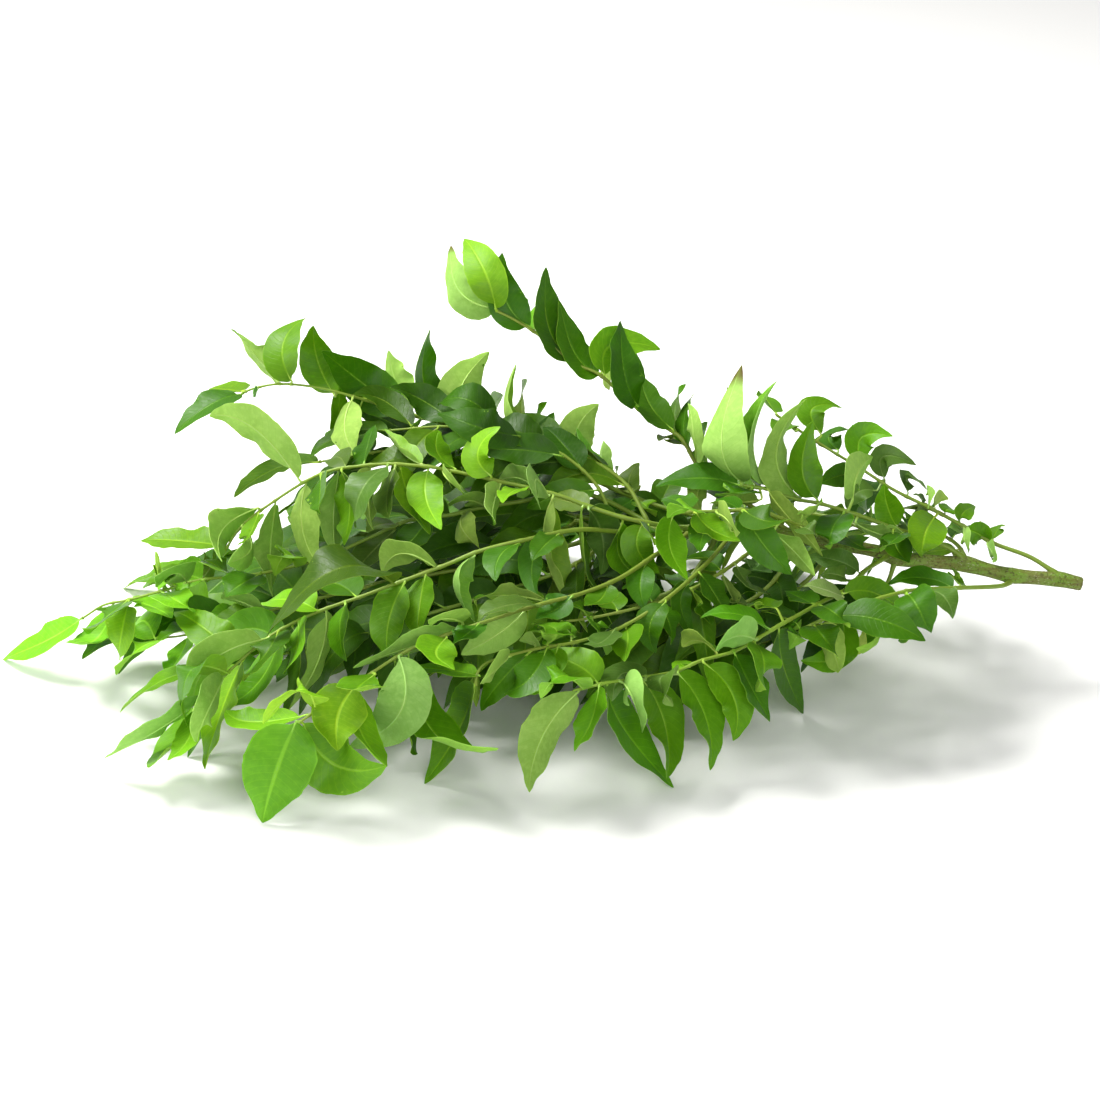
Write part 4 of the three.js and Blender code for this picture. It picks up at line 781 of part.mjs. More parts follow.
    leaflets: [
      [-19.41, 6.5, 75.09, -20.81, 3.32, 76.47, -27.67, -3.71, 82.55, -35.92, 5.17, 75.82, -0.384, 0.574, 0.723, 13.29, 10, 6.2, 2],
      [-15.01, 7.42, 75.41, -14.58, 8.65, 77.02, -21.08, 18.69, 76.71, -30.79, 32.55, 71.5, -0.154, 0.122, 0.98, 14.02, 10, -2.7, 2],
      [-30.89, 3.37, 73.66, -30.1, 0.18, 73.63, -29.55, -15.39, 74.18, -22.16, -16.52, 66.5, 0.784, 0.351, -0.513, 13.97, 10, 9.2, 2],
      [-56.71, -3.1, 70.93, -58.11, -6.27, 72.46, -62.88, -10.11, 74.5, -68.75, -23, 77.67, 0.238, 0.244, 0.94, 13.79, 10, -13.1, 2],
      [-59.44, -3.8, 69.91, -58.35, -2.94, 68.47, -67.77, -9.86, 61.56, -75.61, -33.17, 60.68, -0.147, -0.454, 0.879, 15.32, 10, -13.4, 2],
      [-43.91, 0.06, 72.78, -44.89, -3.18, 73.48, -50.81, -13.61, 68.81, -58.62, -24.34, 68.32, -0.115, -0.052, 0.992, 15.88, 10, -10.6, 2],
      [-98.17, -13.67, 57.39, -99.27, -16.95, 58.37, -102.65, -25.1, 67.31, -107.56, -20.5, 56.01, 0.289, 0.23, 0.929, 16.69, 10, -8, 2],
      [-85.47, -10.6, 60.64, -86.95, -9.33, 60.3, -94.55, 1.59, 57.14, -104.27, 16.67, 52.46, -0.239, 0.131, 0.962, 16.57, 10, 2.4, 2],
      [-114, -12.41, 53.19, -114.9, -15.7, 53.69, -121.3, -29.15, 55.56, -127.11, -34.47, 52.65, 0.126, 0.038, 0.991, 17.51, 10, -3.4, 2],
      [-125.7, -11.27, 50.93, -127.17, -9.41, 50.64, -133.63, -8.61, 54.98, -140.42, -3.56, 54.91, -0.006, 0.193, 0.981, 15.63, 10, -3.1, 2],
      [-138.95, -10.01, 48.8, -138.78, -6.85, 48.9, -136.2, 6.82, 50.03, -134.15, -0.67, 60.51, -0.987, 0.098, -0.125, 15.4, 10, -7.7, 2],
      [-137.51, -10.17, 49.18, -138.86, -10.94, 49.21, -149.13, -4.13, 47.28, -157.91, -9.79, 43.94, -0.685, -0.117, 0.719, 19.24, 10, -6.1, 3],
      [-155.75, -7.57, 42.96, -156.37, -4.65, 42.92, -160.86, 8.5, 43.61, -158.5, 1.22, 56.39, 0.918, 0.115, 0.38, 16.34, 10, 5, 2],
      [-144.21, -9.31, 47.26, -145.46, -12.74, 48.8, -148.92, -20.75, 57.04, -158.92, -10.85, 46.32, -0.509, 0.484, 0.712, 16.95, 10, -5.7, 2],
      [-170.99, -5, 37.23, -169.72, -4.24, 36.14, -162.39, -4.7, 34, -151.17, -20.98, 36.84, 0.033, 0.223, 0.974, 17.7, 10, 6, 3],
      [-170.99, -5, 37.23, -171.68, -8.17, 37.61, -178.85, -22.78, 37.27, -188.15, -11.79, 25.27, -0.324, 0.116, 0.939, 18.9, 10, 3.2, 3],
      [-170.99, -5, 37.23, -170.86, -8.17, 37.03, -172.67, -19.37, 29.05, -175.23, -18.65, 15.55, -0.413, -0.398, 0.819, 17.13, 10, -8.9, 2],
      [-178.03, -3.68, 35.03, -178.29, -2.92, 33.13, -185.85, -9.24, 20.23, -194.29, -31.27, 31.28, -0.167, -0.009, 0.986, 18.81, 10, 5.8, 3],
      [-191.66, -0.9, 26.48, -193.16, -0.15, 25.38, -208.2, -0.34, 15.28, -230.59, 12.78, 0, -0.622, -0.297, 0.724, 17.2, 10, 7.8, 2],
      [-157.13, -7.34, 42.42, -155.47, -10.76, 43.03, -147.72, -34.51, 51.3, -139.08, -36.6, 46.83, -0.057, 0.112, 0.992, 16.64, 10, -10.3, 2],
    ],
  },
  {
    name: "leaf_20",
    baseRadius: 1.1, tipRadius: 0.55,
    rachis: [
      [47.79, -5.58, 69.51],
      [47.12, -3.9, 73],
      [41.04, 7.37, 80.72],
      [35.73, 13.28, 84.84],
      [30.04, 17.19, 87.69],
      [22.44, 21.03, 90.53],
      [15.64, 23.58, 92.33],
      [8.51, 25.45, 93.58],
      [-10.67, 28.28, 95.05],
      [-30.09, 29.08, 94.47],
      [-58.39, 28.44, 91.82],
      [-90.88, 26.1, 87],
    ],
    leaflets: [
      [38.38, 10.33, 82.78, 36.53, 11.2, 82.99, 19.92, 13.55, 86.94, 4.02, 3.68, 82.68, 0.275, -0.48, 0.833, 13.54, 11.4, -12.3, 2],
      [31.18, 16.41, 87.12, 30.25, 20.43, 86.39, 22.47, 26.23, 90.54, 13.79, 27.66, 94.01, 0.477, 0.308, 0.823, 13.35, 12.6, -6.7, 2],
      [22.44, 21.03, 90.53, 20.26, 18.69, 91.09, 1.28, 20.96, 88.48, -17.84, 19.21, 88.41, 0.13, -0.513, 0.849, 16.03, 13.9, 15.2, 2],
      [12.79, 24.33, 92.83, 11.29, 27.77, 92.58, -2.03, 45.34, 94.13, -16.08, 39.89, 97.54, -0.142, -0.514, 0.846, 16.43, 6.2, 7.9, 2],
      [2.61, 26.32, 94.03, 1.06, 23.13, 94.61, -13.39, 13.04, 88.31, -28.96, 5.14, 76.76, -0.152, -0.423, 0.893, 17.05, 7.3, 16.3, 2],
      [-7.72, 27.84, 94.82, -9.12, 30.82, 94.27, -27.03, 53.37, 97.18, -42.16, 75.77, 85.23, -0.38, -0.7, 0.604, 8.8, 6.5, 14.3, 3],
      [-18.14, 28.59, 94.83, -19.59, 27.19, 94.43, -33.3, 29.43, 80.94, -47.74, 11.73, 71.49, -0.006, -0.183, 0.983, 16.42, 15.6, -15.3, 2],
      [-30.09, 29.08, 94.77, -32.04, 32.79, 95.02, -44.84, 47.07, 92.67, -58.83, 55.67, 82.09, -0.186, -0.079, 0.979, 15.74, 10.5, -0.7, 2],
      [-39.03, 28.88, 93.63, -40.8, 24.74, 95.07, -58.44, 14.98, 93.02, -77.93, 20.71, 85.06, 0.258, -0.172, 0.951, 15.84, 13.3, 11.5, 3],
      [-47.97, 28.68, 92.8, -49.62, 32.51, 92.65, -63.82, 49.24, 96.27, -76.99, 52.25, 98.78, -0.693, -0.652, 0.306, 12.43, 7.5, -15.5, 2],
      [-58.39, 28.44, 91.82, -59.97, 26.13, 91.38, -76.67, 24.05, 81.47, -93.68, 9.78, 73.41, -0.474, -0.183, 0.861, 18.24, 17.1, -11.4, 3],
      [-68.73, 27.7, 90.29, -70.05, 31.72, 89.33, -80.21, 52.17, 87.39, -90.34, 48.74, 90.24, -0.027, 0.047, 0.999, 14.99, 14.4, -0.8, 2],
      [-77.59, 27.06, 88.97, -79.08, 23.9, 89.18, -93.47, 11.25, 81.27, -109.95, 10.34, 67.95, -0.426, 0.166, 0.889, 16.9, 11.1, 4.3, 2],
      [-90.88, 26.1, 87, -92.52, 27.99, 85.9, -111.76, 31.63, 80.71, -126.52, 10.68, 77.22, -0.123, -0.028, 0.992, 16.34, 10, 0, 2],
    ],
  },
  {
    name: "leaf_21",
    baseRadius: 1.3, tipRadius: 0.55,
    rachis: [
      [43.98, -5.41, 68.28],
      [43.97, -5.9, 67.54],
      [32.07, -20.88, 76.16],
      [20.48, -31.19, 81.66],
      [14.39, -35.32, 83.03],
      [7.93, -39.09, 83.49],
      [-1.5, -43.67, 83.28],
      [-8.54, -46.18, 82.73],
      [-26.92, -51.63, 79.43],
      [-51.74, -59.36, 72.22],
      [-83.98, -67.47, 63.12],
      [-97.55, -71.61, 58.29],
      [-105.27, -74.38, 54.61],
      [-113.43, -77.83, 49],
      [-123.37, -81.99, 40.89],
      [-133.97, -85.9, 31.05],
    ],
    leaflets: [
      [-37.95, -55.07, 76.22, -39.27, -54.1, 75.31, -53.49, -43.95, 77.04, -62.62, -29.94, 61.41, 0.377, 0.708, 0.597, 16.95, 10, 5.5, 2],
      [-24.1, -50.79, 79.93, -24.08, -51.89, 79.18, -32.12, -58.33, 70.46, -23.27, -65.75, 56.67, 0.905, -0.368, 0.212, 15.01, 42, 5.1, 2],
      [-43.47, -56.78, 74.62, -43.5, -58.17, 73.54, -45.54, -67.16, 64.94, -46, -79.89, 56.57, -0.605, -0.425, 0.673, 16.04, 10, -4.4, 2],
      [-51.74, -59.36, 72.22, -51.97, -60.96, 71.46, -57.94, -69.49, 59.41, -58.03, -81.1, 48.73, -0.408, -0.624, 0.667, 17.12, 10, -0.5, 2],
      [-54.54, -60.07, 71.43, -55.77, -61.32, 71.41, -77.99, -81.27, 87.11, -105.7, -82.23, 58.63, -0.24, -0.162, 0.957, 29.09, 10, 12.2, 3],
      [-5.72, -45.17, 82.95, -6.45, -46.47, 82.25, -13.61, -56.37, 81.51, -15.42, -70.04, 77.4, -0.311, -0.077, 0.947, 14.52, 10, -3.2, 2],
      [10.52, -37.59, 83.3, 9.54, -39.71, 83.24, 4.41, -47.97, 82.47, -0.78, -58.34, 80.67, 0.059, -0.104, 0.993, 12.36, 10, 12, 2],
      [3.89, -41.05, 83.4, 3.75, -41.65, 82.16, -0.92, -37.5, 68.62, 1.16, -51.7, 61, -0.521, -0.665, 0.536, 12.87, 10, 8.4, 2],
      [-82.58, -67.12, 63.52, -83.2, -66.73, 61.91, -87.59, -71.55, 40.26, -101.97, -72.97, 17.38, -0.823, 0.527, 0.211, 21.75, 10, -1.4, 3],
      [-75.57, -65.36, 65.49, -75.35, -68.52, 65.36, -76.9, -79.56, 59.96, -74.75, -87.25, 49.64, -0.867, -0.24, 0.436, 18.11, 10, 8.6, 3],
      [-93.48, -70.37, 59.74, -93.73, -73.48, 59.93, -93.54, -91.89, 57.31, -99.34, -84.36, 43.7, -0.793, -0.07, 0.605, 19.15, 10, -9.7, 3],
      [-96.19, -71.2, 58.77, -96.5, -70.41, 56.9, -92.86, -85.3, 45.08, -100.09, -102.24, 28.08, -0.904, -0.364, 0.224, 19.63, 10, 3.6, 3],
      [-105.27, -74.38, 54.61, -106.22, -75.68, 54.22, -127.27, -84.78, 49.26, -136.73, -83.44, 28.84, -0.461, 0.867, 0.189, 19.99, 10, 9.3, 3],
      [-101.41, -73, 56.45, -102.05, -76.11, 56.9, -105.74, -92.69, 55.51, -115.6, -86.03, 40.98, -0.423, -0.073, 0.903, 18.21, 10, 12.9, 3],
      [-100.12, -72.54, 57.07, -101.13, -71.74, 55.54, -108.95, -77.01, 37.21, -123.12, -80.51, 26.39, -0.65, -0.415, 0.636, 17.76, 10, 0.7, 3],
      [-115.64, -78.75, 47.2, -116.3, -78.03, 45.41, -124.83, -83.68, 26.26, -130.87, -102.82, 9.94, -0.812, -0.406, 0.419, 21.41, 10, 4, 3],
      [-123.37, -81.99, 40.89, -123.65, -85.14, 41.09, -127.39, -111.67, 40.22, -132.42, -113.77, 28.51, -0.92, 0.379, -0.103, 18.37, 10, 0.3, 3],
      [-121.16, -81.07, 42.69, -121.75, -84.14, 43.07, -134.79, -99.12, 51.3, -137.86, -100.06, 26.9, -0.667, -0.247, 0.703, 17.55, 10, 0.1, 2],
      [-131.85, -85.12, 33.02, -132.65, -88.62, 34.04, -148.13, -97.31, 25.43, -172.3, -90.22, 7.98, -0.532, 0.642, 0.552, 19.09, 10, 10.9, 3],
      [-133.97, -85.9, 31.05, -134.99, -85.17, 29.42, -144.52, -91.88, 14.81, -150.77, -118.12, 19.77, -0.587, -0.108, 0.802, 17.95, 10, -0.7, 3],
      [-133.97, -85.9, 31.05, -134.47, -87.91, 30.74, -136.32, -104.73, 24.05, -144.3, -110.23, 18.09, -0.592, -0.126, 0.796, 17.26, 10, -6.9, 2],
      [-85.34, -67.89, 62.64, -86.68, -68.63, 63.25, -98.09, -59.93, 63.65, -111.87, -35.85, 50.58, -0.274, 0.086, 0.958, 19.37, 10, -5.2, 3],
      [-69.96, -63.95, 67.08, -71.48, -60.79, 65.59, -82.87, -45.91, 64.96, -95.26, -44.03, 62.71, -0.209, 0.077, 0.975, 19.12, 10, 2.7, 3],
    ],
  },
  {
    name: "leaf_22",
    baseRadius: 1.2, tipRadius: 0.55,
    rachis: [
      [38, -4.09, 67.88],
      [37.12, -2.9, 70],
      [26.24, 7.21, 68.15],
      [12.92, 16.79, 66.83],
      [1.12, 22.98, 64.92],
      [-20.56, 31.96, 60.09],
      [-52.45, 44.69, 49.48],
      [-84.69, 56.36, 38.72],
      [-117.18, 66.18, 26.89],
      [-148.88, 74.1, 16],
    ],
    leaflets: [
      [17.76, 13.31, 67.31, 15.69, 11.31, 68.04, -1, 12.96, 67.51, -17.5, 9.41, 53.8, -0.085, -0.572, 0.816, 14.84, 10.1, 9.7, 2],
      [10.3, 18.16, 66.41, 9.71, 22.33, 66.2, 4.5, 41.56, 71.76, -2.34, 49.31, 61.04, -0.38, 0.026, 0.924, 15, 17.8, -4.7, 2],
      [2.43, 22.3, 65.13, 0.28, 20.83, 65.8, -18.94, 24.02, 62.91, -37.76, 11.14, 65.2, -0.191, -0.386, 0.903, 17.21, 15, 1.1, 2],
      [-7.01, 26.35, 63.11, -8.27, 29.45, 62.7, -20.16, 48.5, 62.13, -32.58, 38.11, 53.42, -0.446, -0.373, 0.814, 16.97, 13.3, -4.6, 3],
      [-16.49, 30.28, 60.99, -18.33, 29.92, 59.95, -36.05, 31.18, 47.14, -54.94, 41.84, 11.85, -0.14, -0.364, 0.921, 17.74, 11.1, -1.7, 3],
      [-25.87, 34.08, 58.32, -26.72, 36, 59.01, -34.18, 57.88, 63.76, -42.86, 62.54, 60.9, -0.619, -0.231, 0.75, 17.54, 17.5, 1.6, 2],
      [-33.84, 37.27, 55.67, -36.07, 38.36, 55.72, -58.83, 40.36, 60.29, -80.62, 27.69, 60.29, -0.552, -0.272, 0.788, 20.82, 8.6, 6.7, 3],
      [-43.14, 40.98, 52.57, -44.58, 44.41, 52.17, -59.06, 59.57, 59.54, -74.82, 74.89, 36.08, -0.504, 0.124, 0.855, 20.52, 13.6, 17.5, 3],
      [-52.45, 44.69, 49.48, -53.93, 41.79, 49.16, -69.14, 45.83, 34.09, -84.64, 40.26, 1.2, -0.298, -0.49, 0.819, 17.87, 11.4, -8.8, 2],
      [-61.85, 48.1, 46.34, -63.05, 51.71, 44.3, -75.15, 66.53, 33.83, -87.03, 54.71, 13.86, -0.224, 0.553, 0.802, 21.44, 6.2, -15.7, 3],
      [-71.25, 51.5, 43.2, -73.22, 50.03, 43.29, -94.28, 56.33, 34.81, -112.67, 31.01, 15.55, -0.111, -0.563, 0.819, 17.02, 11.1, -16, 3],
      [-79.31, 54.42, 40.51, -80.11, 58.53, 40.28, -87.06, 81.48, 47.22, -94.82, 85.01, 50.53, -0.318, 0.525, 0.789, 19.46, 17.3, -8.6, 3],
      [-87.39, 57.18, 37.73, -89.18, 54.24, 38.76, -110.16, 39.89, 41.52, -133.17, 42.89, 26.26, -0.059, -0.195, 0.979, 19.8, 12.1, 11.4, 3],
      [-98.22, 60.45, 33.79, -98.84, 64.75, 33.32, -103.66, 84.35, 40.84, -110.64, 98.53, 33, -0.532, -0.249, 0.809, 18.06, 12, 17.1, 3],
      [-106.35, 62.91, 30.83, -107.87, 63.68, 28.92, -122.74, 46.14, 19.87, -137.92, 23.6, 6.71, -0.241, -0.36, 0.901, 21.89, 14.7, 1.6, 3],
      [-114.47, 65.36, 27.88, -116.31, 68.48, 26.46, -130.58, 71.15, 25.11, -144.78, 67.78, 11.41, 0.065, 0.359, 0.931, 16.44, 10, 6.8, 2],
      [-124.07, 67.9, 24.53, -125.4, 64.85, 24.43, -141.62, 52.23, 15.25, -158.38, 38.3, 3.39, 0.023, -0.112, 0.993, 20.97, 17.4, 7.7, 3],
      [-133.72, 70.31, 21.21, -135.31, 73.54, 19.01, -147.93, 82.1, 10.22, -158.75, 67.52, 12.91, -0.088, -0.499, 0.862, 17.11, 15.2, -1.9, 2],
      [-141.99, 72.37, 18.37, -142.87, 68.92, 18.15, -153.59, 54.2, 8.08, -166.28, 44.97, 1.2, -0.059, -0.335, 0.94, 17.44, 14.7, 10.4, 3],
      [-148.88, 74.1, 16, -150.08, 72.96, 16.22, -168.88, 73.97, 11.39, -187.02, 83.5, 0, -0.211, 0.03, 0.977, 18.06, 10, 0, 3],
    ],
  },
  {
    name: "leaf_23",
    baseRadius: 1, tipRadius: 0.5,
    rachis: [
      [34.1, -3.6, 67.61],
      [33.12, -2.9, 72],
      [28.52, 3.01, 81.31],
      [24.55, 6.49, 86.57],
      [15.96, 11.26, 93.34],
      [4.52, 15.65, 98.81],
      [-9.48, 19.34, 102.43],
      [-24.05, 22.17, 104.03],
      [-40.3, 24.57, 103.78],
      [-60.88, 27.1, 101],
    ],
    leaflets: [
      [26.93, 4.4, 83.41, 24.97, 1.89, 84.48, 10.32, -0.84, 83.65, -3.56, 1.21, 76.17, 0.514, -0.636, 0.576, 12.45, 9.8, -14.8, 2],
      [20.26, 8.87, 89.95, 19.61, 12.96, 89.73, 12.08, 22.17, 96.33, 3.56, 33.49, 100.67, 0.373, -0.733, 0.569, 15.55, 6.2, 15.6, 2],
      [12.15, 12.72, 95.16, 10.24, 10.15, 96.71, -7.57, 12.27, 98.5, -25.42, 9.37, 99.16, 0.214, -0.649, 0.73, 15.49, 14.8, 7.5, 2],
      [4.52, 15.65, 98.81, 3.1, 19.34, 97.7, -9.51, 23.25, 102.88, -23.22, 37.2, 98.33, 0.217, -0.526, 0.822, 17.86, 10.1, -5.2, 2],
      [-5.28, 18.23, 101.34, -6.94, 14.43, 103.76, -22.94, -1.52, 114.42, -40.64, 13.7, 115.21, 0.176, -0.709, 0.682, 17.09, 12.1, 15, 2],
      [-13.85, 20.19, 102.91, -15.3, 22.61, 103.61, -27.62, 19.87, 117.7, -41.48, 34.23, 109.82, 0.254, -0.609, 0.752, 16.03, 13.4, -8.7, 2],
      [-24.05, 22.17, 104.03, -25.83, 22.78, 102.5, -41.7, 6.21, 98.43, -58.86, 0.94, 84.47, -0.241, -0.06, 0.969, 17.63, 6.8, 12.7, 2],
      [-31.44, 23.26, 103.92, -33.01, 22.61, 105.6, -46.88, 38.38, 109.53, -60.7, 32, 118.97, -0.214, -0.534, 0.818, 15.54, 13.6, 11, 2],
      [-40.3, 24.57, 103.78, -41.44, 20.94, 103.75, -50.24, 5.91, 100.99, -60.49, -3.21, 82.75, 0.175, -0.056, 0.983, 14.25, 8.6, -13, 2],
      [-50.59, 25.83, 102.39, -52.11, 28.25, 102.56, -64.45, 41.86, 108.58, -76.68, 34.82, 114.01, -0.051, -0.432, 0.901, 13.15, 13.2, -8.8, 2],
      [-60.88, 27.1, 101, -62.47, 29.3, 99.95, -80.35, 33.62, 96.59, -95.84, 29.65, 87.91, 0.067, -0.101, 0.993, 15.48, 10, 0, 2],
    ],
  },
  {
    name: "leaf_24",
    baseRadius: 1.2, tipRadius: 0.55,
    rachis: [
      [34.1, -4.05, 67.16],
      [33.12, -5.9, 69],
      [24.23, -14.59, 63.72],
      [17.24, -19.36, 60.7],
      [6.52, -23.79, 57.62],
      [-15.76, -31.17, 52.55],
      [-49.81, -41.08, 46.17],
      [-74.14, -46.93, 41.16],
      [-97.25, -51.33, 36.34],
      [-130.88, -55.9, 30],
    ],
    leaflets: [
      [17.24, -19.36, 60.7, 17.22, -23.25, 60.94, 17.17, -45.57, 57.73, 14.69, -48.74, 29.06, -0.742, -0.08, 0.665, 14.97, 12.2, 0.8, 2],
      [6.52, -23.79, 57.62, 4.47, -24.93, 58.93, -13.04, -21.85, 63.77, -31, -13.37, 51.43, 0.002, -0.549, 0.836, 15.78, 6.4, -6.7, 2],
      [-3.23, -27.02, 55.4, -3.16, -29.02, 54.35, -2.85, -46.89, 48.74, -5.25, -62.4, 26.62, 0.272, -0.365, 0.891, 16.03, 12.3, -4.7, 2],
      [-12.98, -30.25, 53.18, -14.78, -29.68, 52.05, -31.83, -33.13, 46.61, -49.76, -28.57, 19.15, -0.237, -0.632, 0.738, 18.14, 13.3, -15.6, 3],
      [-24.27, -33.65, 50.95, -24, -37.79, 51.08, -22.36, -58.17, 46.23, -24.18, -63.43, 17.24, -0.025, 0.136, 0.99, 17.37, 12.7, -6.5, 2],
      [-35.62, -36.95, 48.83, -37.57, -38.31, 49.9, -57.6, -27.29, 50.67, -78.3, -16.69, 37.35, 0.02, -0.409, 0.912, 17.21, 14.9, -11.2, 3],
      [-45.55, -39.84, 46.97, -46.21, -41.96, 46.51, -53.12, -62.59, 44.77, -62.45, -81.27, 17.99, 0.079, 0.228, 0.97, 18.45, 16.4, 5.9, 3],
      [-55.53, -42.46, 44.99, -57.43, -44.09, 45.3, -77.61, -38.53, 38.47, -98.47, -33, 12.42, -0.322, -0.389, 0.863, 18.95, 8.9, -7.1, 3],
      [-66.98, -45.21, 42.64, -68.11, -49.06, 43.37, -81.55, -53.6, 36.81, -97.1, -53.92, 7.91, -0.002, -0.32, 0.947, 19.77, 16.1, -4.1, 3],
      [-78.47, -47.76, 40.26, -80.65, -45.12, 39.15, -101.9, -38.22, 38.76, -121.24, -54.19, 31.85, -0.054, -0.405, 0.913, 19.88, 8.6, 13, 3],
      [-87.14, -49.41, 38.45, -87.49, -53.58, 39.78, -94.45, -61.02, 35.81, -102.9, -80.7, 37.48, -0.489, -0.209, 0.847, 19.08, 7, 0.5, 3],
      [-98.71, -51.53, 36.07, -100.32, -52.23, 37.18, -117.69, -41.06, 41.31, -133.72, -49.79, 30.19, -0.406, -0.513, 0.756, 18.11, 11.7, -10.8, 3],
      [-108.95, -52.92, 34.14, -110.25, -56.18, 34.05, -124.66, -69.65, 27.08, -141.09, -75.55, 0, -0.138, -0.349, 0.927, 18.35, 13.6, 8.3, 3],
      [-119.18, -54.31, 32.21, -120.49, -53.95, 33.39, -133.34, -48.06, 43.93, -150.26, -23, 41.1, -0.439, 0.126, 0.889, 17.62, 6.9, 4.1, 3],
      [-130.88, -55.9, 30, -132.28, -56.58, 29.98, -151.68, -59.75, 26.77, -169.55, -59.83, 12.44, -0.014, 0.123, 0.992, 17.2, 10, 0, 2],
    ],
  },
  {
    name: "leaf_25",
    baseRadius: 1.2, tipRadius: 0.55,
    rachis: [
      [25.4, -2.9, 66.4],
      [19.12, -2.9, 73],
      [12.81, 4.45, 65.97],
      [7.06, 7.34, 62.19],
      [-6.16, 10.49, 55.9],
      [-21.57, 11.6, 50.2],
      [-47.49, 10.47, 42.81],
      [-75.09, 7.3, 36.52],
      [-102.64, 3.72, 30.24],
      [-127.69, 2.07, 25.87],
      [-152.88, 2.1, 22],
    ],
    leaflets: [
      [7.06, 7.34, 62.19, 5.19, 4.28, 62.62, -10.96, -11.55, 63.43, -27.31, -21.32, 43.49, -0.342, -0.412, 0.845, 17.46, 14.9, -13, 2],
      [-2.2, 9.55, 57.79, -3.28, 13.55, 56.67, -13.99, 30.5, 55.17, -25.37, 19.38, 50.68, -0.373, -0.443, 0.815, 17.21, 17.5, 11.9, 2],
      [-11.76, 10.89, 53.83, -13.63, 8.26, 54.95, -32.75, -3.06, 62.09, -52.88, -1.24, 52.19, -0.536, -0.439, 0.721, 19.57, 16.5, 16.7, 3],
      [-21.57, 11.6, 50.2, -23.34, 10.85, 51.39, -40.05, 24.05, 54.61, -56.99, 24.9, 51.29, -0.33, -0.554, 0.764, 17.61, 11.1, -16, 2],
      [-30.21, 11.22, 47.74, -30.42, 8, 47.5, -32.95, -17.1, 42.38, -40.43, -27.3, 10.83, 0.143, -0.524, 0.84, 17.88, 7.5, -14.5, 3],
      [-40.29, 10.78, 44.86, -41.88, 14.02, 44.16, -57.36, 30.41, 47.5, -73.49, 36.15, 43.87, -0.101, -0.573, 0.813, 17.56, 13.2, -1, 3],
      [-48.94, 10.3, 42.48, -49.12, 5.1, 43.22, -52.06, -22.15, 38.78, -58.53, -35.15, 13.57, -0.015, -0.313, 0.949, 19.79, 8.6, -2.5, 3],
      [-59.11, 9.13, 40.17, -60.7, 11.12, 40.13, -75.04, 25.68, 43.39, -90.36, 36.04, 35.97, -0.105, -0.537, 0.837, 18.4, 12.2, -10.6, 2],
      [-69.28, 7.97, 37.85, -69.23, 2.32, 38.71, -74.05, -14.59, 26.17, -76.69, -27.39, 6.95, 0.079, -0.538, 0.84, 15.74, 16.4, -1.5, 3],
      [-79.44, 6.74, 35.53, -80.98, 9.39, 35.42, -96.17, 22.34, 45.15, -112.52, 31.22, 43.79, -0.472, -0.447, 0.76, 19.85, 7.1, -11.3, 3],
      [-88.14, 5.61, 33.55, -88.59, 0.95, 33.85, -91.6, -24.64, 27.61, -110.8, -26.75, 12.29, 0.53, -0.769, 0.357, 13.67, 15.3, 6.2, 3],
      [-98.29, 4.29, 31.24, -99.63, 5.47, 31.74, -114.48, 19.7, 40.09, -130.41, 27.5, 28.34, -0.472, -0.173, 0.864, 20.54, 11.1, 6.9, 3],
      [-108.53, 3.33, 29.21, -110.3, 0.85, 29.73, -128.28, -10.4, 26.96, -145.25, -33.55, 17.4, -0.492, 0.223, 0.841, 14.7, 16.7, 12.7, 3],
      [-117.37, 2.75, 27.67, -119.64, 6.28, 25.82, -138.64, 22.48, 20.86, -156, 21.5, 14.86, -0.199, -0.21, 0.957, 15.37, 13, -6.6, 2],
      [-129.17, 2.07, 25.64, -130.98, -0.87, 26.62, -153.86, -4.05, 26.97, -177.4, -7.34, 2.85, -0.077, -0.354, 0.932, 18.9, 17.8, -13.6, 3],
      [-138.06, 2.08, 24.27, -139.72, 5.53, 23.74, -154.6, 22.9, 30.2, -166.69, 7.85, 36.42, -0.462, -0.407, 0.788, 20.08, 10.9, 1.9, 3],
      [-152.88, 2.1, 22, -154.62, 4.06, 20.8, -175.7, 5.99, 16.74, -190.13, -19.52, 16.41, -0.087, 0.02, 0.996, 18.06, 10, 0, 3],
    ],
  },
  {
    name: "terminal_leaf",
    baseRadius: 1.2, tipRadius: 0.5,
    rachis: [
      [24.83, -2.9, 64.78],
      [10.78, -1.9, 59.74],
      [-12.53, -3.67, 54.51],
      [-44.81, -8.73, 50.22],
      [-78.45, -14.23, 45.16],
      [-98.86, -16.92, 41.22],
      [-114.75, -17.98, 36.98],
      [-137.32, -17.9, 28.96],
      [-149.02, -17.9, 26.39],
      [-157.96, -17.9, 25.51],
    ],
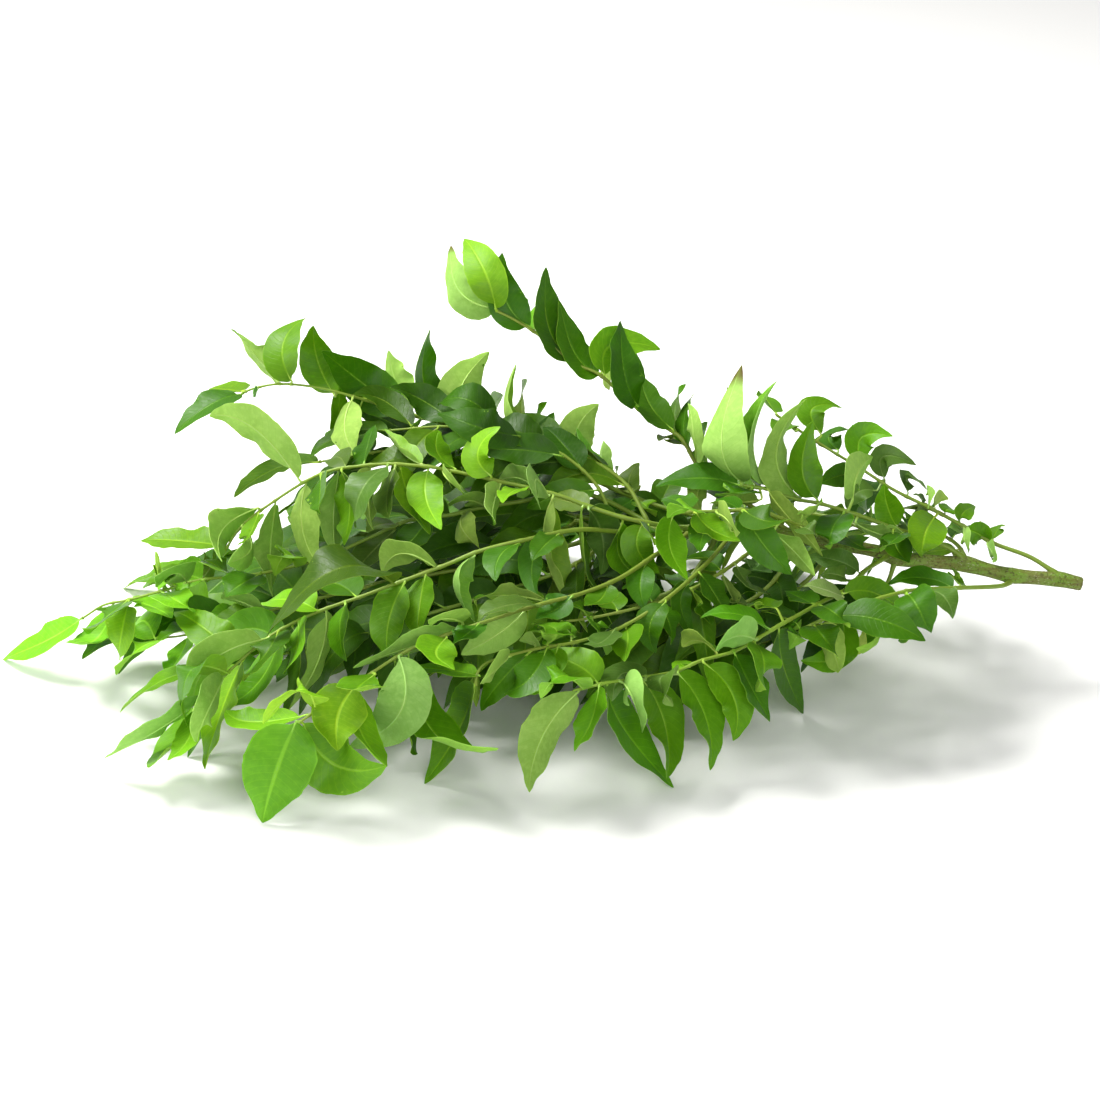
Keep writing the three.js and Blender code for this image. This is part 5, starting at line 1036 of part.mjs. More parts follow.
    leaflets: [
      [-56.51, -10.64, 48.46, -56.99, -13.78, 48.57, -57.94, -22.7, 45.56, -63.95, -30.65, 37.91, -0.496, -0.082, 0.864, 15.99, 10, -5.3, 2],
      [-101.75, -17.12, 40.45, -102.69, -14.16, 37.57, -105.24, -9.96, 27.66, -111.42, -15.81, 18.81, -0.947, -0.312, 0.072, 15.05, 10, -1.4, 2],
      [-113.31, -17.89, 37.37, -114.34, -21.1, 38.29, -123.52, -30.18, 39.99, -135.28, -38.97, 35.15, 0.054, -0.007, 0.999, 18, 10, -0.9, 3],
      [-113.31, -17.89, 37.37, -114.71, -17.77, 37.85, -121.67, -17.45, 42.08, -131.84, -8.32, 39.51, 0.538, 0.551, 0.637, 18.1, 10, -6.4, 3],
      [-133.09, -17.92, 30.46, -133.74, -23.94, 33.12, -142.46, -31.17, 36.61, -152.54, -57.01, 45.09, -0.006, 0.372, 0.928, 16.93, 10, -5.9, 3],
      [-144.63, -17.9, 27.35, -145.23, -19.45, 26.61, -147.52, -30.23, 23.32, -151.39, -44.55, 22.28, -0.624, 0.029, 0.781, 16.92, 10, -4.2, 2],
      [-154.98, -17.9, 25.81, -156.06, -18.9, 25.24, -164.44, -32.97, 27.5, -175.34, -25.79, 12.61, -0.283, 0.075, 0.956, 19.32, 10, -9.5, 3],
      [-157.96, -17.9, 25.51, -159.75, -15.6, 24.47, -165.68, -5.08, 27.12, -171.67, -4.49, 19.74, -0.563, 0.079, 0.823, 17.42, 10, 11.9, 2],
      [-90.12, -15.77, 42.91, -90.85, -12.16, 39.66, -94.11, -0.91, 24.42, -94.64, -16.32, 23.81, -0.863, 0.379, -0.333, 13.88, 10, 9.6, 2],
      [-65.29, -12.08, 47.14, -65.98, -7.74, 43.56, -63.54, 6.86, 30.72, -71.68, 0.34, 20.74, -0.566, -0.795, -0.22, 10.78, 10, 10.9, 2],
      [-38.94, -7.81, 51, -39.19, -2.21, 46.75, -37.44, -3.42, 38.53, -40.47, 5, 23.57, -0.525, -0.726, -0.444, 13.14, 10, -8.9, 2],
      [-14, -3.9, 54.31, -14.05, -1.8, 51.66, -12.68, 5.83, 38.77, -14.69, -5.18, 31.41, -0.627, -0.674, -0.39, 12.87, 10, 13.7, 2],
      [-76.99, -13.99, 45.38, -78.36, -12.78, 45.54, -83.81, -8.4, 43.27, -90.55, 9.58, 40.27, -0.199, 0.161, 0.967, 14.05, 10, 7.1, 2],
      [-47.74, -9.21, 49.78, -49.2, -6.01, 49, -56.83, 1.08, 49, -63.98, 16.69, 45.39, -0.09, 0.144, 0.985, 15.86, 10, 13.6, 2],
      [10.78, -1.9, 59.74, 10.79, 1.29, 56.63, 8.96, 5.21, 43.77, 10.64, -5.43, 37.17, -0.006, -0.925, -0.381, 10.15, 10, -10, 2],
      [-22.8, -5.28, 53.15, -24.18, -5.77, 53.77, -30.53, -1.75, 55.92, -40.3, 12.36, 50.71, -0.286, 0.024, 0.958, 13.76, 10, -2.9, 2],
      [-123.21, -17.95, 33.97, -124.91, -15.34, 32.76, -131.39, -13.99, 34.69, -134.77, -19, 30.56, -0.36, 0.077, 0.93, 14.1, 10, 0, 2],
    ],
  },
];

// ---- shapes ----
const V = (a, i = 0) => new THREE.Vector3(a[i], a[i + 1], a[i + 2]);
const UP = new THREE.Vector3(0, 0.3, 1);

function solidOf(positions, triangles) {
  const g = new THREE.BufferGeometry();
  g.setAttribute('position', new THREE.Float32BufferAttribute(positions, 3));
  g.setIndex(triangles);
  const m = mergeVertices(g, 1e-4);
  const make = (index) => new wasm.Manifold(new wasm.Mesh({
    numProp: 3,
    vertProperties: new Float32Array(m.attributes.position.array),
    triVerts: new Uint32Array(index),
  }));
  const index = Array.from(m.index.array);
  let s = make(index);
  if (s.volume() < 0) {
    const flipped = [];
    for (let i = 0; i < index.length; i += 3) flipped.push(index[i], index[i + 2], index[i + 1]);
    s = make(flipped);
  }
  return s;
}

// Round bar along a polyline, with a radius per point and flat ends.
function bar(points, radii, sides) {
  const n = points.length, positions = [], triangles = [];
  for (let i = 0; i < n; i++) {
    const t = points[Math.min(i + 1, n - 1)].clone().sub(points[Math.max(i - 1, 0)]).normalize();
    const a = t.clone().cross(UP).normalize(), b = a.clone().cross(t);
    for (let k = 0; k < sides; k++) {
      const w = (2 * Math.PI * k) / sides;
      const p = points[i].clone().addScaledVector(a, radii[i] * Math.cos(w)).addScaledVector(b, radii[i] * Math.sin(w));
      positions.push(p.x, p.y, p.z);
    }
  }
  for (let i = 0; i < n - 1; i++) {
    for (let k = 0; k < sides; k++) {
      const a = i * sides + k, b = i * sides + ((k + 1) % sides), c = a + sides, d = b + sides;
      triangles.push(a, b, d, a, d, c);
    }
  }
  for (let k = 1; k < sides - 1; k++) {
    triangles.push(0, k + 1, k, (n - 1) * sides, (n - 1) * sides + k, (n - 1) * sides + k + 1);
  }
  return solidOf(positions, triangles);
}

const halfWidth = (t, width) =>
  (width / 2) * Math.min(1.05, Math.pow(t, SHAPE_RISE) * Math.pow(1 - t, SHAPE_FALL) * SHAPE_NORM);

// One leaflet: petiolule and folded, twisted blade along a curved midrib.
function leaflet(row) {
  const P = V(row, 0), B = V(row, 3), M = V(row, 6), T = V(row, 9), N = V(row, 12);
  const width = row[15], fold = THREE.MathUtils.degToRad(row[16]), twist = THREE.MathUtils.degToRad(row[17]);
  const Q = M.clone().multiplyScalar(2).addScaledVector(B, -0.5).addScaledVector(T, -0.5);
  const midrib = new THREE.QuadraticBezierCurve3(B, Q, T);
  const rings = [];
  const start = P.clone().addScaledVector(B.clone().sub(P).normalize(), -STALK_DEPTH);
  for (const t of SECTIONS[row[18]]) {
    const c = midrib.getPoint(t);
    const d = Q.clone().sub(B).multiplyScalar(1 - t).addScaledVector(T.clone().sub(Q), t).normalize();
    if (t === 0) d.add(B.clone().sub(P).normalize()).normalize();
    const n = N.clone().addScaledVector(d, -N.dot(d)).normalize().applyAxisAngle(d, twist * (t - 0.5));
    const s = d.clone().cross(n);
    const root = t === 0, w = root ? ROOT_RADIUS : halfWidth(t, width), up = root ? 0 : w * Math.sin(fold);
    const out = root ? w : w * Math.cos(fold), thick = root ? ROOT_RADIUS : BLADE_THICKNESS / 2;
    rings.push([c.clone().addScaledVector(s, out).addScaledVector(n, up), c.clone().addScaledVector(n, thick),
      c.clone().addScaledVector(s, -out).addScaledVector(n, up), c.clone().addScaledVector(n, -thick)]);
  }
  const positions = rings.flat().concat([T, start]).flatMap((p) => [p.x, p.y, p.z]);
  const triangles = [];
  const m = rings.length;
  for (let k = 0; k < 4; k++) triangles.push(4 * m + 1, (k + 1) % 4, k);
  for (let i = 0; i < m - 1; i++) {
    for (let k = 0; k < 4; k++) {
      const a = 4 * i + k, b = 4 * i + ((k + 1) % 4), c = a + 4, d = b + 4;
      // Both faces of a half blade are split along the same line, so they stay apart.
      triangles.push(...(k % 2 ? [a, b, c, b, d, c] : [a, b, d, a, d, c]));
    }
  }
  for (let k = 0; k < 4; k++) triangles.push(4 * (m - 1) + k, 4 * (m - 1) + ((k + 1) % 4), 4 * m);
  return solidOf(positions, triangles);
}

// How slim the slimmest face is (mm), or -1 if some edge no longer joins exactly two
// faces once equal corners are merged.
function soundness(geometry) {
  const p = geometry.attributes.position.array, index = geometry.index.array, ids = new Map(), edges = new Map();
  const id = [];
  for (let i = 0; i < p.length / 3; i++) {
    const key = p[3 * i] + ',' + p[3 * i + 1] + ',' + p[3 * i + 2];
    if (!ids.has(key)) ids.set(key, ids.size);
    id.push(ids.get(key));
  }
  let slim = Infinity;
  for (let i = 0; i < index.length; i += 3) {
    const c = [0, 1, 2].map((k) => V(p, 3 * index[i + k]));
    const sides = [0, 1, 2].map((k) => c[k].distanceTo(c[(k + 1) % 3]));
    const twice = c[1].clone().sub(c[0]).cross(c[2].clone().sub(c[0])).length();
    slim = Math.min(slim, twice / Math.max(...sides, 1e-9));
    for (let k = 0; k < 3; k++) {
      const a = id[index[i + k]], b = id[index[i + ((k + 1) % 3)]];
      if (a === b) return -1;
      const key = a < b ? a + '_' + b : b + '_' + a;
      edges.set(key, (edges.get(key) || 0) + 1);
    }
  }
  return [...edges.values()].every((n) => n === 2) ? slim : -1;
}

function meshOf(name, solid, material) {
  let g = null, best = -2;
  for (const detail of [1, 0.94, 0.88, 0.82, 1.06, 1.12, 1.18, 1.25, 0.75, 1.32, 1.4]) {
    const pieces = solid.simplify(DETAIL * detail).decompose();
    const m = pieces.reduce((a, b) => (b.volume() > a.volume() ? b : a)).getMesh();
    const trial = new THREE.BufferGeometry();
    const p = new Float32Array((m.vertProperties.length / m.numProp) * 3);
    for (let i = 0; i < p.length / 3; i++) for (let k = 0; k < 3; k++) p[3 * i + k] = m.vertProperties[m.numProp * i + k];
    trial.setAttribute('position', new THREE.BufferAttribute(p, 3));
    trial.setIndex(new THREE.BufferAttribute(new Uint32Array(m.triVerts), 1));
    const sound = soundness(trial);
    if (sound > best) { g = trial; best = sound; }
    if (best > 0.006) break;
  }
  g.computeVertexNormals();
  const mesh = new THREE.Mesh(g, material);
  mesh.name = name;
  return mesh;
}

// ---- assembly ----
const bark = new THREE.MeshStandardMaterial({ color: 0x6d6b3a, roughness: 0.7, metalness: 0 });
const blade = new THREE.MeshStandardMaterial({ color: 0x4f8f1e, roughness: 0.4, metalness: 0 });

const axis = MAIN_STEM.map((p) => V(p));
const starts = LEAVES.map((leaf) => V(leaf.rachis[0]));
const stemRadii = (extra) => MAIN_STEM.map((p, i) => {
  const near = Math.min(...starts.map((s) => s.distanceTo(axis[i])));
  return p[3] + NODE_SWELL * Math.exp(-((near / NODE_REACH) ** 2)) + extra;
});
const stem = bar(axis, stemRadii(0), STEM_SIDES);
const stemClear = bar(axis, stemRadii(JOIN_GAP), STEM_SIDES);

const group = new THREE.Group();
group.name = 'curry_leaf_sprig';
group.add(meshOf('main_stem', stem, bark));

for (const leaf of LEAVES) {
  const pts = leaf.rachis.map((p) => V(p));
  const radii = pts.map((_, i) => leaf.baseRadius + ((leaf.tipRadius - leaf.baseRadius) * i) / (pts.length - 1));
  let solid = bar(pts, radii, RACHIS_SIDES);
  for (const row of leaf.leaflets) solid = solid.add(leaflet(row));
  solid = solid.subtract(stemClear);
  group.add(meshOf(leaf.name, solid, blade));
}

export default group;
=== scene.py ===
# Looks of the curry leaf sprig: leaflets, stalks and bark, in the CAD's frame.
import math

import bpy
import numpy as np
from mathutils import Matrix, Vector


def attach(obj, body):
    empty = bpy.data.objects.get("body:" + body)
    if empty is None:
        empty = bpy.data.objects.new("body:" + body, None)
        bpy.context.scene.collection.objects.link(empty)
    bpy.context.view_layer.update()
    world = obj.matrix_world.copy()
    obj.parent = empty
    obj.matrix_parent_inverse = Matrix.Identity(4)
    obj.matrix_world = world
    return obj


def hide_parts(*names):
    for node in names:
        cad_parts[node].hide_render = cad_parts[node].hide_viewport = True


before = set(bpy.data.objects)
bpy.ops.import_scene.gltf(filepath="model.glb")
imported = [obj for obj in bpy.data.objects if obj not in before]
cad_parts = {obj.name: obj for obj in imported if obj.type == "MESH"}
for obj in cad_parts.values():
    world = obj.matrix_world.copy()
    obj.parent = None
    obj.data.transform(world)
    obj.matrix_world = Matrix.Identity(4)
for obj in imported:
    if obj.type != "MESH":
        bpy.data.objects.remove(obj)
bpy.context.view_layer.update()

WORLD_STRENGTH = 0.37
LIGHTS = [
    # name, place, aimed at, size, power, colour
    ("key", (-0.60, 0.35, 1.15), (-0.03, 0.0, 0.05), 0.7, 31.5, (1.0, 0.99, 0.95)),
    ("left", (-1.15, -0.25, 0.45), (-0.12, 0.0, 0.05), 0.5, 9.0, (1.0, 0.99, 0.94)),
    ("front", (0.25, -1.35, 0.80), (0.0, 0.0, 0.06), 0.9, 12.0, (1.0, 1.0, 0.98)),
]
CAMERA_AT = (0.006423, -1.188105, 0.611904)
CAMERA_LENS = 102.11

# Main stem from the cut end to its tip: x, y, z, radius, in mm.
STEM = [
    (229.94, -3.9, 43.91, 2.9),
    (222.18, -3.89, 45.72, 2.95),
    (214.26, -4.21, 46.64, 2.93),
    (206.34, -4.57, 47.49, 2.92),
    (198.48, -4.94, 48.74, 2.9),
    (190.81, -5.32, 50.9, 2.88),
    (183.21, -5.72, 53.28, 2.86),
    (179.33, -5.91, 54.18, 2.85),
    (167.46, -6.45, 55.45, 2.77),
    (157.57, -6.92, 56.55, 2.7),
    (153.7, -7.14, 57.5, 2.69),
    (142.34, -7.92, 61.15, 2.65),
    (132.67, -8.69, 63.44, 2.6),
    (124.91, -9.32, 65.16, 2.55),
    (111.24, -10.05, 67.87, 2.46),
    (99.42, -10.09, 69.73, 2.35),
    (91.49, -9.79, 70.45, 2.28),
    (83.54, -9.23, 70.79, 2.22),
    (73.61, -8.34, 70.85, 2.13),
    (63.69, -7.45, 70.49, 2.02),
    (53.81, -6.53, 69.56, 1.88),
    (45.94, -5.62, 68.66, 1.75),
    (36.22, -3.99, 67.17, 1.5),
    (26.5, -2.9, 65.24, 1.2),
]

# Compound leaves from the cut end onwards: name, base and tip radius of the rachis, how
# brown it is, its points, and its leaflets. A leaflet is: the stalk's start on the rachis,
# the blade's root, middle and tip (x, y, z each), the normal of its upper side, its full width,
# fold and twist in degrees, its kind, a colour factor that paints light (above 1) or shade (below 1, as on the inner
# leaves), and how much of it is brown.
LEAVES = [
    ("leaf_01", 1.2, 0.55, 0.18, [
        (220.17, -3.95, 46.31), (218.76, -3.25, 48.72), (216.39, -1.93, 49.99), (214.03, -0.61, 51.27), (211.6, 0.68, 52.46),
        (209.07, 1.91, 53.5), (206.44, 3.08, 54.32), (203.74, 4.21, 54.96), (201.01, 5.3, 55.52), (198.27, 6.37, 56.1),
        (195.54, 7.39, 56.78), (192.85, 8.37, 57.66), (190.22, 9.25, 58.78), (187.63, 10.05, 60.07), (185.08, 10.82, 61.43),
        (182.51, 11.62, 62.76), (179.92, 12.5, 63.98), (177.34, 13.44, 65.16), (174.75, 14.4, 66.33), (172.15, 15.37, 67.47),
        (169.55, 16.32, 68.61), (166.93, 17.25, 69.72), (164.28, 18.16, 70.79), (161.62, 19.06, 71.82), (158.95, 19.95, 72.85),
        (156.29, 20.82, 73.91), (153.65, 21.68, 75.05), (151.06, 22.51, 76.3), (148.52, 23.32, 77.68), (146.03, 24.1, 79.14),
        (143.55, 24.86, 80.64), (141.05, 25.59, 82.13), (138.52, 26.29, 83.57), (135.97, 26.95, 84.98), (133.4, 27.6, 86.39),
        (130.83, 28.22, 87.79), (128.26, 28.84, 89.2), (125.69, 29.46, 90.62), (123.13, 30.09, 92.05), (120.59, 30.71, 93.51),
        (118.06, 31.33, 94.99), (115.54, 31.95, 96.48), (113.03, 32.59, 97.99), (110.53, 33.29, 99.48), (108.05, 34.05, 100.98),
        (105.58, 34.86, 102.48), (103.13, 35.69, 103.97), (101.89, 36.1, 104.72),
    ], [
        (192.85, 8.37, 57.66, 191.79, 10.34, 57.48, 186.72, 8.92, 61.64, 182.29, 11.05, 62.52, -0.724, -0.407, 0.557, 10.8, 10, 0, "M", 1, 0),
        (192.85, 8.37, 57.66, 194.16, 11.55, 57.5, 196.62, 18.5, 58.18, 199.41, 18.58, 61.41, -0.333, 0.14, 0.932, 8.57, 10, -13.2, "M", 1, 0),
        (181.22, 12.13, 63.32, 181.24, 8.87, 63.27, 180.58, 0.12, 61.99, 183.35, 2.56, 55.29, 0.955, 0.133, -0.265, 8.59, 10, 12, "U", 1, 0),
        (181.22, 12.13, 63.32, 181.2, 14.83, 59.86, 178.96, 20.53, 58.65, 175.26, 21.66, 58.6, 0.706, 0.407, 0.58, 8.47, 10, -10.4, "U", 1, 0),
        (191.56, 8.79, 58.29, 190.77, 5.65, 57.57, 191.31, -5.62, 59.58, 192.51, -5.07, 54.7, 0.999, 0.048, 0.009, 9.12, 10, 3.4, "U", 1, 0),
        (178.63, 12.97, 64.57, 179.82, 12.94, 65.38, 181.66, 15.57, 68.37, 188.37, 27.54, 65.78, 0.552, -0.295, 0.78, 8.63, 10, 0.3, "M", 1.16, 0),
        (172.06, 15.25, 67.34, 173.64, 15.69, 67.63, 175.21, 18.41, 68.48, 179.87, 26.95, 63.7, 0.429, 0.154, 0.89, 8.52, 10, -6.3, "M", 1.16, 0),
        (170.74, 15.7, 67.9, 169.12, 12.76, 67.32, 162.18, -10.78, 70.24, 160.75, -16.28, 62.27, 0.273, -0.348, 0.897, 17.03, 10, 8.1, "M", 1.16, 0),
        (168.12, 16.62, 69.01, 169.77, 19.54, 68.88, 170.66, 24.06, 70.14, 176.38, 31.82, 67.61, -0.855, 0.411, 0.315, 10.11, 10, 0.3, "U", 1.16, 0),
        (166.8, 17.07, 69.56, 166.74, 16.46, 71.7, 166.41, 15.21, 75.94, 166.66, 18.83, 78.96, 0.85, -0.093, -0.519, 9.98, 10, 1.4, "U", 1.16, 0),
        (165.49, 17.53, 70.12, 164.88, 20.9, 69.93, 163.57, 22.38, 72.28, 160.68, 23.56, 73.15, 0.333, 0.216, 0.918, 8.92, 10, -8.3, "G", 1.06, 0),
        (157.6, 20.27, 73.44, 158.51, 23.58, 74.07, 159.29, 32.33, 76.73, 166.68, 21.87, 76.69, 0.687, -0.216, 0.693, 10.52, 10, -0.5, "G", 1.06, 0),
        (166.8, 17.07, 69.56, 166.22, 20.44, 66.17, 161.82, 26.48, 64.85, 155.35, 18.99, 68.22, -0.42, 0.118, 0.9, 9.68, 10, 2.6, "G", 1.06, 0),
        (147.32, 23.62, 78.53, 148.41, 26.92, 79.1, 147.99, 27.24, 89.14, 161.8, 24.3, 86.26, 0.243, -0.829, 0.504, 10.8, 10, 8.5, "G", 1.06, 0),
        (147.32, 23.62, 78.53, 144.12, 20.51, 75.9, 136.55, 16.96, 77.01, 131.41, 13.39, 71.2, 0.392, -0.259, 0.883, 11.67, 10, -10.4, "G", 1.06, 0),
        (137.25, 26.6, 84.29, 138.62, 29.53, 84.92, 139.43, 37.7, 93.45, 152.08, 33.14, 95.84, 0.225, -0.758, 0.612, 13.74, 10, -6.2, "M", 1.16, 0),
        (138.52, 26.29, 83.57, 137.22, 26.75, 81.96, 128.42, 22.95, 81.77, 119.63, 13.8, 82.56, 0.605, -0.632, 0.485, 10.8, 10, 11.1, "T", 1.06, 0),
        (128.33, 28.81, 89.34, 128.87, 32.06, 89.84, 126.08, 45.15, 90.3, 133.56, 40.07, 96.16, -0.325, 0.035, 0.945, 12, 10, -9.9, "T", 1.06, 0),
        (119.4, 31.02, 94.38, 121.45, 32.97, 96.84, 117.81, 39.4, 105.65, 131.66, 46.51, 104.11, -0.028, -0.365, 0.931, 13, 10, -8.3, "M", 1.16, 0),
        (111.79, 32.98, 98.74, 110.18, 30.82, 99.19, 105.63, 27.96, 103.07, 100.37, 12.52, 104.11, 0.155, 0.228, 0.961, 13.13, 10, -7.9, "M", 1.16, 0),
        (103.13, 35.71, 103.97, 102.39, 37.31, 104.64, 99.64, 47.71, 105.46, 97.78, 59.22, 105.4, 0.47, 0.081, 0.879, 12.49, 10, -8.4, "M", 1.16, 0),
    ]),
    ("leaf_02", 1.2, 0.7, 0.12, [
        (200.43, -5.01, 48.12), (199.59, -7.13, 46.83), (198.05, -9.69, 46.86), (196.19, -12, 47.22), (194.12, -14.07, 47.84),
        (191.98, -16.04, 48.58), (189.83, -17.96, 49.36), (187.66, -19.86, 50.18), (185.48, -21.73, 51), (183.28, -23.59, 51.83),
        (181.07, -25.44, 52.66), (178.85, -27.26, 53.48), (176.61, -29.07, 54.29), (174.33, -30.86, 55.07),
        (172.02, -32.61, 55.82), (169.67, -34.31, 56.55), (167.28, -35.96, 57.28), (164.86, -37.57, 58), (162.4, -39.13, 58.68),
        (159.92, -40.68, 59.31), (157.41, -42.21, 59.88), (154.88, -43.74, 60.34), (152.33, -45.27, 60.69),
        (149.76, -46.78, 60.91), (147.16, -48.27, 61.01), (144.53, -49.69, 60.97), (141.86, -51.03, 60.82),
        (139.14, -52.26, 60.55), (136.39, -53.34, 60.09), (133.62, -54.27, 59.42), (130.85, -55.06, 58.63),
        (128.07, -55.79, 57.79), (125.28, -56.42, 56.92), (122.48, -56.91, 55.97), (119.7, -57.33, 54.96),
        (116.92, -57.79, 53.92), (114.17, -58.34, 52.88), (111.45, -58.96, 51.81), (108.74, -59.59, 50.71),
        (107.38, -59.9, 50.17),
    ], [
        (173.02, -31.57, 55.36, 171.91, -30.54, 54.98, 160.33, -23.13, 55.89, 145.7, -25.26, 54.61, -0.184, -0.177, 0.967, 13.13, 10, -12.9, "T", 1, 0),
        (175.25, -29.74, 54.56, 175.61, -26.8, 54.74, 174.98, -16.16, 52.56, 175.33, -17.96, 57.56, 0.575, 0.04, 0.817, 9.72, 10, -2.7, "M", 1, 0),
        (159.86, -40.63, 59.21, 160.58, -43.49, 59.51, 165.51, -54.38, 62.3, 169.5, -58.48, 54.42, -0.025, -0.123, 0.992, 12.71, 10, 9.7, "G", 1.06, 0),
        (151.02, -46.01, 60.66, 151.42, -49.2, 60.97, 153.6, -63.59, 62.75, 159.52, -63.2, 50.01, -0.414, -0.366, 0.834, 17.67, 10, 1.3, "T", 1.06, 0),
        (161.09, -39.84, 58.88, 161.49, -41.49, 58.32, 157.08, -39.13, 53.54, 150.9, -47.24, 53.86, -0.086, 0.233, 0.969, 13.53, 10, 5.4, "T", 1, 0),
        (121.15, -57.23, 55.37, 122.17, -60.03, 56.48, 138.42, -68.89, 59.11, 156.78, -72.73, 51.65, 0.014, -0.53, 0.848, 17.42, 10, 12, "T", 1, 0),
        (151.02, -46.01, 60.66, 150.69, -47.81, 60.11, 153.08, -56.21, 48.33, 147.48, -57.34, 44.37, -0.874, -0.116, 0.472, 12.87, 10, 3.5, "T", 1, 0),
        (140.51, -51.66, 60.7, 139.87, -50.9, 59.01, 137.91, -48.28, 41.65, 126.05, -58.93, 39.73, -0.72, 0.675, 0.161, 13.28, 10, -1.6, "U", 1, 0),
        (135, -53.75, 59.68, 134.37, -56.9, 59.75, 138.48, -64.99, 48.21, 128.62, -75.46, 49.89, -0.878, 0.051, 0.476, 14.96, 10, 11.1, "T", 1, 0),
        (125.28, -56.42, 56.92, 124.4, -56, 55.56, 123.09, -60.64, 39.23, 108.01, -62.45, 37.88, -0.289, -0.569, 0.77, 15.31, 10, -13, "M", 1, 0),
        (115.64, -58.3, 53.29, 116.09, -57.79, 51.79, 120.22, -68.04, 45.24, 122.36, -78.41, 40.19, 0.836, 0.402, -0.372, 14.75, 10, -9.4, "U", 1, 0),
        (112.88, -58.83, 52.25, 113.48, -60.92, 52.21, 114.69, -77.07, 56.05, 121.89, -80.23, 48.28, -0.044, -0.033, 0.998, 16.41, 10, -10, "T", 1, 0),
        (107.38, -59.9, 50.17, 106.45, -63.07, 50.37, 105.5, -68.46, 51.74, 103.38, -62.47, 43.33, 0.423, 0.012, 0.906, 9.14, 10, -4, "T", 1, 0),
        (108.75, -59.64, 50.69, 107.31, -60.21, 50.68, 104.12, -58.89, 53.27, 101.65, -56.45, 47.09, -0.722, 0.297, 0.625, 11.31, 10, 10.4, "T", 1, 0),
    ]),
    ("leaf_03", 1.1, 0.55, 0.18, [
        (183.2, -5.6, 52.94), (182.84, -3.46, 51.25), (182.33, -0.57, 51.81), (181.86, 2.31, 52.42), (181.38, 5.2, 53),
        (180.81, 8.08, 53.5), (180.11, 10.96, 53.85), (179.22, 13.81, 53.99), (178.18, 16.6, 53.94), (177.06, 19.36, 53.76),
        (175.86, 22.08, 53.47), (174.58, 24.75, 53.09), (173.22, 27.36, 52.63), (171.77, 29.92, 52.08), (170.24, 32.41, 51.47),
        (168.62, 34.81, 50.78), (166.91, 37.14, 50.03), (165.13, 39.39, 49.2), (163.29, 41.58, 48.32), (161.41, 43.7, 47.39),
        (159.49, 45.76, 46.42), (157.54, 47.78, 45.4), (155.56, 49.75, 44.34), (153.56, 51.68, 43.24), (151.54, 53.54, 42.1),
        (149.47, 55.33, 40.9), (147.37, 57.05, 39.65), (145.25, 58.71, 38.36), (143.11, 60.32, 37.05), (140.96, 61.89, 35.7),
        (138.81, 63.45, 34.34), (136.65, 65, 32.98), (134.5, 66.54, 31.6), (132.34, 68.06, 30.2), (130.18, 69.53, 28.77),
        (128.01, 70.98, 27.33), (125.83, 72.41, 25.87), (123.65, 73.83, 24.39), (121.47, 75.24, 22.92), (119.3, 76.66, 21.46),
        (117.12, 78.1, 20),
    ], [
        (180.48, 9.53, 53.7, 178.29, 9.53, 53.53, 167.06, 9.53, 52.44, 156.97, 11.27, 47.63, 0.568, -0.149, 0.81, 10.33, 11, 3.7, "M", 0.64, 0),
        (176.98, 19.31, 53.67, 178.56, 23.17, 52.85, 187.27, 38.58, 51.34, 191.39, 37.72, 42.96, -0.059, 0.415, 0.908, 12.49, 8.3, -13.5, "T", 0.64, 0),
        (173.07, 27.27, 52.48, 171.26, 28.21, 52.08, 156.7, 29.78, 51.31, 143.04, 32.91, 30.16, 0.01, -0.132, 0.991, 14.02, 6.5, -16.7, "M", 0.64, 0),
        (168.45, 34.65, 50.64, 168.89, 36.49, 49.72, 170.76, 47.91, 43.81, 171.16, 59.61, 23.44, -0.126, 0.59, 0.797, 11.38, 9.4, -9.2, "T", 0.64, 0),
        (163.22, 41.48, 48.24, 161.48, 44.3, 47.54, 145.32, 45.68, 50.83, 129.66, 46.8, 40.93, -0.089, 0.22, 0.971, 13.95, 11.1, 9.2, "T", 0.64, 0),
        (157.51, 47.73, 45.36, 158.7, 49.85, 44.3, 166.52, 61.66, 38.86, 171.42, 71.97, 14.23, 0.306, 0.354, 0.884, 13, 12.9, -9.3, "T", 0.64, 0),
        (151.45, 53.37, 41.97, 149.7, 54.89, 40.62, 135.86, 54.7, 36.12, 122.22, 54.84, 10.86, -0.094, 0.434, 0.896, 12.36, 11.8, -11.6, "T", 0.64, 0),
        (146.3, 57.84, 38.98, 145.53, 60.89, 38.2, 140.28, 83.44, 33.7, 132.54, 90.12, 19.6, -0.074, 0.236, 0.969, 12.63, 16, -15.9, "T", 0.64, 0),
        (139.86, 62.55, 34.93, 138.32, 64.79, 32.82, 123.57, 64.77, 24.69, 107.34, 48.08, 8.83, -0.71, -0.049, 0.703, 15.73, 8.6, -5.5, "M", 0.64, 0),
        (133.42, 67.27, 30.88, 133.23, 71.11, 28.81, 129.9, 81.71, 22.46, 123.05, 69.57, 13.78, -0.022, 0.704, 0.71, 13.4, 11.1, -5.3, "T", 0.64, 0),
        (126.91, 71.64, 26.56, 124.95, 73.77, 25.24, 108.32, 79.8, 21.64, 90.85, 71.43, 6.7, -0.62, -0.249, 0.744, 14.17, 12.2, 5.4, "T", 0.64, 0),
        (120.38, 75.94, 22.19, 119.38, 79.67, 20.61, 111.2, 98.73, 13.71, 100.61, 94.98, 5.66, -0.639, -0.024, 0.769, 13.85, 12.3, -5.9, "T", 0.64, 0),
        (117.12, 78.1, 20, 115.86, 76.83, 20.2, 104.09, 82.82, 13.18, 93.88, 93.4, 0, 0.064, -0.235, 0.97, 13.76, 10, 0, "M", 0.64, 0),
    ]),
    ("leaf_04", 1.3, 0.7, 0.09, [
